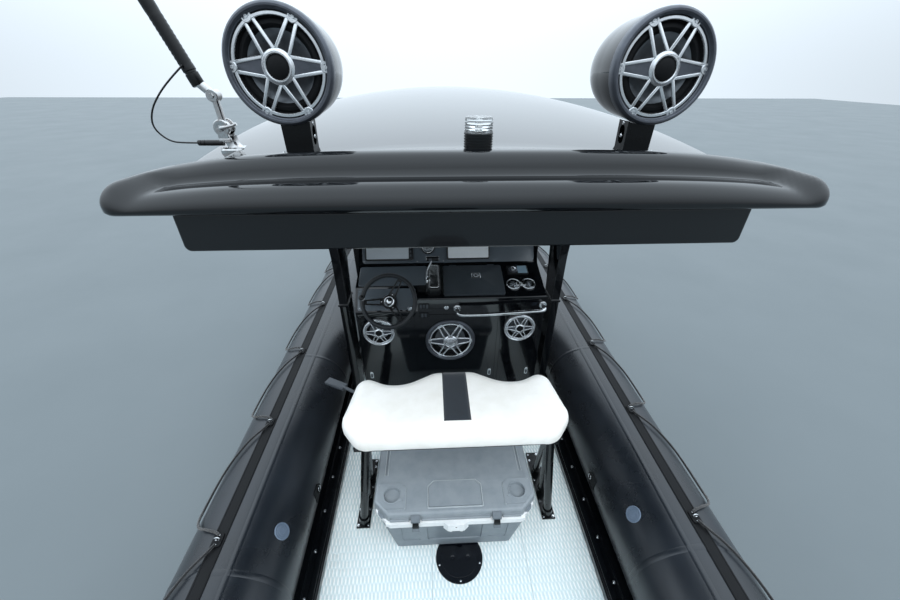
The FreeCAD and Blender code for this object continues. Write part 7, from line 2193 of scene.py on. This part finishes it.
@dataclass
class DeckFittings:
    """Deck sheet's seams, the bolts along both side rails and the round inspection plate."""

    deck: float = 0.150
    seams: tuple[float, float] = (-0.150, 0.370)
    rail_x: float = 0.792
    rail_z: float = 0.1972
    bolt_y: float = -0.890
    bolt_pitch: float = 0.2215
    bolts: range = range(-9, 11)
    plate: tuple[float, float] = (-1.380, 0.156)     # y of its middle, height of its face

    def build(self) -> None:
        """Makes the seams, the bolts and the plate."""
        form = Form("deck_seams")
        for x in self.seams:
            form.plate((x - 0.0018, x + 0.0018, -3.285, -0.402, 0.0005),
                       (self.deck - 0.0005, self.deck + 0.0005, 0.0006, self.deck + 0.0009), steps=1)
        form.piece("root", [SEAM_GREY], sharp=40.0)
        bolts = Form("side_rail_bolts")
        for step in self.bolts:
            y = self.bolt_y - self.bolt_pitch * step
            for side in (-1, 1):
                spot = Matrix.Translation((side * self.rail_x, y, self.rail_z))
                bolts.lathe([(0.0095, -0.001), (0.0095, 0.0010), (0.0088, 0.0016), (0.0066, 0.0016)], spot, 20)
                bolts.screw((side * self.rail_x, y, self.rail_z + 0.0022), (0, 0, 1), 0.0070)
        bolts.piece("root", [STAINLESS], sharp=40.0)
        self.inspection()

    def inspection(self) -> None:
        """Plate with a groove inside its rim, three finger dents and five bright screws."""
        y, top = self.plate
        at = Matrix.Translation((0, y, top))
        cutter = Form("plate_cutter")
        cutter.lathe([(0.1035, 0.004), (0.1035, -0.0016), (0.1005, -0.0016), (0.1005, 0.004), (0.1035, 0.004)],
                     at, 72)
        for x, along in ((-0.037, -0.004), (0.048, -0.004), (0.008, 0.064)):
            dent = at @ Matrix.Translation((x, along, 0.0))
            cutter.lathe([(0.0, 0.004), (0.0145, 0.004), (0.0140, 0.0), (0.0115, -0.0030), (0.0060, -0.0045),
                          (0.0, -0.0048)], dent, 32)
        softened("inspection_plate", PLATE_BLACK, "root", 0.0015, cutter=cutter)
        form = Form("inspection_plate_screws")
        for i in range(5):
            turn = math.radians(-90 + 72 * i)
            form.screw((0.1155 * math.cos(turn), y + 0.1155 * math.sin(turn), top + 0.0004), (0, 0, 1), 0.0058)
        form.piece("root", [STAINLESS], sharp=40.0)


@dataclass
class LeaningPost:
    """Tubular frame with bolted base plates, and the grey lever."""

    foot_x: float = 0.554
    plate_top: float = 0.160
    bolt_y: tuple[float, ...] = (-1.186, -1.092, -0.948, -0.806, -0.760)

    def build(self) -> None:
        """Softens the frame and the lever, and adds the frame's bolts."""
        softened("post_frame", POWDER_COAT, "root", 0.0018)
        form = Form("post_bolts")
        for side in (-1, 1):
            for y in self.bolt_y:
                for dx in (-0.029, 0.029):
                    spot = Matrix.Translation((side * self.foot_x + dx, y, self.plate_top))
                    form.lathe([(0.0080, -0.0005), (0.0080, 0.0012), (0.0074, 0.0018), (0.0058, 0.0018)], spot, 20)
                    form.lathe([(0.0058, 0.0016), (0.0058, 0.0062), (0.0050, 0.0070), (0.0, 0.0070)], spot, 6)
        form.piece("root", [STAINLESS], sharp=30.0)
        softened("seat_handle", LEVER_GREY, "root", 0.003)


@dataclass
class FrontCushions:
    """White seat and back cushions on the console's front, each with a piped seam."""

    half: tuple[float, float] = (0.422, 0.380)
    seat_y: tuple[float, float] = (0.530, 0.922)
    seat_z: tuple[float, float] = (0.5603, 0.650)
    back: tuple[float, float] = (0.130, 0.560)
    back_thick: float = 0.075
    toe: tuple[float, float] = (0.500, 0.560)
    lean: float = 9.6
    slack: float = 0.004
    welt: float = 0.0030

    def build(self) -> None:
        """Simulates both pads, then lays a welt round each."""
        seat = rectangle(-self.half[0], self.half[0], *self.seat_y, 0.055)
        self.pad("front_seat_cushion", seat, self.seat_z[1] - self.seat_z[0],
                 Matrix.Translation((0, 0, self.seat_z[0])))
        turn = math.radians(self.lean)
        lean = aim((0, *self.toe), (0, math.cos(turn), math.sin(turn)))
        back = rectangle(-self.half[1], self.half[1], *self.back, 0.060)
        self.pad("front_back_cushion", back, self.back_thick, lean)

    def pad(self, name: str, corners: list[Corner], thick: float, matrix: Matrix) -> None:
        """One pad: rounded slab, swollen by the cloth simulation, with a cord of piping round its side."""
        edge = [(0.010, 0.0), (0.002, 0.006), (0.0, 0.016), (0.0, thick * 0.62), (0.004, thick * 0.80),
                (0.014, thick * 0.93), (0.034, thick * 0.985), (0.060, thick)]
        profile = [(self.slack + inset, self.slack * 0.3 + z * (1 - self.slack / thick)) for inset, z in edge]
        form = Form(name)
        form.slab(corners, profile, matrix, steps=10)
        upholstered(form, "front_cushions", voxel=0.0100, cap=0.007)
        ring = rounded(inset_corners(corners, self.welt), 10)
        welt = Form(name + "_welt")
        welt.sweep(placed(at_height(ring, thick * 0.70), matrix), self.welt, steps=8, ring=True)
        welt.piece("root", [WHITE_VINYL], sharp=60.0)


# The outboard engine, the hull and the frames of the hardtop


@dataclass
class Outboard:
    """Engine cover, leg with gearcase, brackets and propeller, each on the body that it moves with."""

    # Cover's sections: z, aft y, forward y, half breadth, corner radius
    sections: tuple = ((0.470, -4.060, -3.400, 0.225, 0.090), (0.600, -4.150, -3.345, 0.278, 0.130),
                       (0.860, -4.185, -3.342, 0.283, 0.150), (1.040, -4.140, -3.400, 0.250, 0.150),
                       (1.130, -4.010, -3.540, 0.150, 0.100))
    seam: float = 0.560
    case_z: float = -0.560
    hub_aft: float = -4.0853
    # Split lines of the leg: height, radius of the bead
    leg_lines: tuple = ((-0.320, 0.0040), (0.300, 0.0030))

    def build(self) -> None:
        """Makes the cover, the leg, the brackets and the propeller."""
        self.cover()
        self.leg()
        self.brackets()
        softened("powerhead", CAST_BLOCK, "engine", 0.006)
        self.propeller()

    def section(self, z: float, inset: float) -> Points:
        """Outline of the cover at a height, drawn in by inset."""
        y0, y1, half, radius = self.cover_at(z)
        sides = rectangle(-half + inset, half - inset, y0 + inset, y1 - inset, radius - inset)
        return at_height(rounded(sides, 16), z)

    def cover_at(self, z: float | Points) -> tuple:
        """Aft y, forward y, half breadth and corner radius of the cover at a height, between its sections."""
        rows = np.array(self.sections).T
        return tuple(np.interp(z, rows[0], row) for row in rows[1:])

    def cover(self) -> None:
        """Glossy cover with a rubber seal line, a bright trim line, aft air louvres, latch and top grip."""
        softened("cowl", ENGINE_PAINT, "engine", 0.004)
        form = Form("cowl_trim")
        form.sweep(self.section(self.seam, -0.0006), 0.0030, steps=8, ring=True, finish=1)
        form.sweep(self.section(self.seam + 0.022, -0.0004), 0.0016, steps=8, ring=True, finish=2)
        for i in range(7):
            z = 0.905 + 0.017 * i
            spot = aim((0, self.cover_at(z)[0] + 0.0005, z), (0, -1, 0.25))
            half = 0.105 - 0.004 * i
            form.plate((-half, half, -0.0045, 0.0045, 0.004), (-0.004, 0.0015, 0.0018, 0.0042), spot, 1, 4)
        spot = aim((0, self.cover_at(0.520)[0] - 0.001, 0.520), (0, -1, -0.65))
        form.plate((-0.036, 0.036, -0.017, 0.017, 0.006), (-0.004, 0.004, 0.003, 0.007), spot, 1, 5)
        form.plate((-0.026, 0.026, -0.009, 0.009, 0.004), (0.006, 0.0105, 0.002, 0.0125), spot, 2, 4)
        for side in (-1, 1):
            self.side_panel(form, side)
        grip = rounded(rectangle(-0.095, 0.095, -3.840, -3.720, 0.045), 8)
        form.sweep(at_height(grip, 1.1305), 0.0035, steps=8, ring=True, finish=1)
        form.piece("engine", [ENGINE_SILVER, TRIM_RUBBER, STAINLESS], sharp=36.0)

    def side_panel(self, form: Form, side: int) -> None:
        """Swept silver blade along the cover's flank, which follows its breadth."""
        share = np.linspace(0, 1, 33)
        y = -3.520 - 0.520 * share
        middle = 0.760 + 0.070 * share ** 1.4
        tall = 0.004 + 0.034 * np.sin(math.pi * np.clip(share, 0.02, 0.98)) ** 0.8
        surface = np.zeros((2, len(share), 7, 3))
        for layer, out in ((0, 0.0035), (1, -0.003)):
            for j, place in enumerate(np.linspace(-1, 1, 7)):
                z = middle + tall * place
                half = self.cover_at(z)[2]
                drop = out - (0.003 if abs(place) > 0.99 and layer == 0 else 0.0)
                surface[layer, :, j] = joined(side * (half + drop), y, z)
        loop = np.concatenate([surface[0], surface[1][:, ::-1]], 1)
        form.grid(loop, around=True, caps=True)

    def leg(self) -> None:
        """Leg with its split line, bolts, zinc, water grilles and trim tab."""
        softened("drive_leg", ENGINE_PAINT, "engine", 0.003)
        form = Form("drive_leg_details")
        mid = rounded([(-0.085, -3.930, 0.045), (0.085, -3.930, 0.045), (0.095, -3.596, 0.016),
                       (-0.095, -3.596, 0.016)], 8)
        for z, radius in self.leg_lines:
            form.sweep(at_height(mid, z), radius, steps=8, ring=True)
        for side in (-1, 1):
            for y in (-3.900, -3.790, -3.680):
                form.screw((side * 0.112, y, -0.3385), (0, 0, 1), 0.007, 1)
            for i in range(5):
                spot = aim((side * 0.0505, -3.650 - 0.014 * i, -0.480), (side, 0, 0))
                form.plate((-0.0040, 0.0040, -0.024, 0.024, 0.003), (-0.004, 0.003, 0.0015, 0.0042), spot, 2, 3)
            for z in (0.04, 0.20):
                spot = aim((side * 0.0905, -3.700, z), (side, 0, 0))
                form.lathe([(0.016, -0.004), (0.016, 0.003), (0.013, 0.005), (0.0, 0.005)], spot, 32, 2)
        form.slab([(-0.010, -4.045, 0.006), (0.010, -4.045, 0.006), (0.012, -3.965, 0.004), (-0.012, -3.965, 0.004)],
                  [(0.004, -0.386), (0.0, -0.380), (0.0, -0.352)], finish=1, steps=4)
        form.plate((-0.034, 0.034, -3.960, -3.880, 0.010), (-0.3395, -0.333, 0.003, -0.330), finish=3, steps=4)
        form.piece("engine", [ENGINE_PAINT, STAINLESS, MOULDED_BLACK, CAST_BLOCK], sharp=34.0)

    def brackets(self) -> None:
        """Clamp bracket with its transom bolts and tilt tube nuts; swivel bracket with its grease points."""
        softened("clamp_bracket", ENGINE_PAINT, "root", 0.003)
        form = Form("clamp_bolts")
        for side in (-1, 1):
            for z in (0.245, 0.130, 0.050):
                spot = aim((side * 0.136, -3.289, z), (0, 1, 0))
                form.lathe([(0.016, -0.003), (0.016, 0.003), (0.014, 0.004), (0.011, 0.004)], spot, 28)
                form.lathe([(0.011, 0.003), (0.011, 0.012), (0.009, 0.014), (0.0, 0.014)], spot, 6)
            spot = aim((side * 0.160, -3.400, 0.340), (side, 0, 0))
            form.lathe([(0.022, -0.006), (0.022, 0.003), (0.019, 0.006), (0.0, 0.006)], spot, 6)
        form.piece("root", [STAINLESS], sharp=30.0)
        softened("swivel_bracket", ENGINE_PAINT, "swivel", 0.003)

    def propeller(self) -> None:
        """Three twisted blades on their hub with the nut and washer of the shaft."""
        softened("propeller", PROP_METAL, "propeller", 0.0015, 40.0)
        form = Form("propeller_nut")
        spot = aim((0, self.hub_aft + 0.001, self.case_z), (0, -1, 0))
        form.lathe([(0.026, -0.004), (0.026, 0.003), (0.024, 0.004), (0.016, 0.004)], spot, 32)
        form.lathe([(0.0165, 0.003), (0.0165, 0.016), (0.0140, 0.019), (0.0, 0.019)], spot, 6)
        form.piece("propeller", [STAINLESS], sharp=30.0)


@dataclass
class HullDetails:
    """Transom fittings and the bolted feet of the hardtop's side frames."""

    transom_y: float = -3.350
    frame_x: float = 0.688

    def build(self) -> None:
        """Makes the transom's drains and cleats, then the frames' feet with their screws."""
        form = Form("transom_fittings")
        for x in (-0.520, 0.520):
            spot = aim((x, self.transom_y + 0.0005, 0.215), (0, -1, 0))
            form.lathe([(0.034, 0.0), (0.034, 0.004), (0.030, 0.007), (0.020, 0.008), (0.018, 0.004), (0.0, 0.004)],
                       spot, 40)
            for turn in range(4):
                angle = math.radians(45 + 90 * turn)
                form.screw((x + 0.026 * math.cos(angle), self.transom_y - 0.006, 0.215 + 0.026 * math.sin(angle)),
                           (0, -1, 0), 0.0035, 1)
            top = Matrix.Translation((x * 1.25, self.transom_y + 0.030, 0.4802))
            form.plate((-0.045, 0.045, -0.018, 0.018, 0.016), (0.0, 0.003, 0.002, 0.0045), top, 1)
            bend = np.array([(-0.030, 0, 0.002), (-0.028, 0, 0.022), (-0.012, 0, 0.036), (0.012, 0, 0.036),
                             (0.028, 0, 0.022), (0.030, 0, 0.002)])
            form.sweep(placed(smooth_through(bend, 6), top), 0.0055, steps=12, finish=1)
        form.piece("root", [MOULDED_BLACK, STAINLESS], sharp=36.0)
        feet = Form("frame_feet")
        for side in (-1, 1):
            for y in (-0.370, 0.400):
                feet.plate((side * self.frame_x - 0.036, side * self.frame_x + 0.036, y - 0.050, y + 0.050, 0.010),
                           (0.1500, 0.1565, 0.0025, 0.1590), steps=5)
                for dy in (-0.038, 0.038):
                    for dx in (-0.026, 0.026):
                        feet.screw((side * self.frame_x + dx, y + dy, 0.1592), (0, 0, 1), 0.0062, 1)
        feet.piece("root", [POWDER_COAT, STAINLESS], sharp=36.0)


# Pieces whose CAD form is right and that only need soft edges and a finish

# CAD node: finish, body, material slot, width of the edge
SOFTENED = {
    "hull": (GELCOAT, "root", "black_gelcoat", 0.006),
    "transom": (GELCOAT, "root", "black_gelcoat", 0.006),
    "foredeck": (NON_SKID, "root", "black_gelcoat", 0.008),
    "deck_sheet": (NON_SKID, "root", "deck_white", 0.001),
    "side_rail_starboard": (RAIL_BLACK, "root", "black_gelcoat", 0.002),
    "side_rail_port": (RAIL_BLACK, "root", "black_gelcoat", 0.002),
    "bow_eye": (STAINLESS, "root", "stainless", 0.003),
    "stern_eyes": (STAINLESS, "root", "stainless", 0.003),
    "t_top_support_starboard": (GELCOAT, "root", "black_gelcoat", 0.006),
    "t_top_support_port": (GELCOAT, "root", "black_gelcoat", 0.006),
    "electronics_box": (GELCOAT, "root", "black_gelcoat", 0.005),
}


def soften_the_rest() -> None:
    """Softens every node that no piece replaces yet."""
    for node, (finish, body, slot, edge) in SOFTENED.items():
        softened(node, finish, body, edge)


# In the order in which they are built
ASSEMBLIES = (Studio, AerialLead, Tubes, Hardtop, TowerSpeakers, AllRoundLight, AerialOnMount, Console, SteeringWheel,
              IceChest, DeckFittings, LeaningPost, BenchCushion, FrontCushions, Outboard, HullDetails)


def main() -> None:
    """Builds every sub-assembly, then softens the nodes that no piece replaces."""
    logging.basicConfig(level=logging.INFO, format="%(message)s")
    for assembly in ASSEMBLIES:
        assembly().build()
    soften_the_rest()


if __name__ == "__main__":
    main()
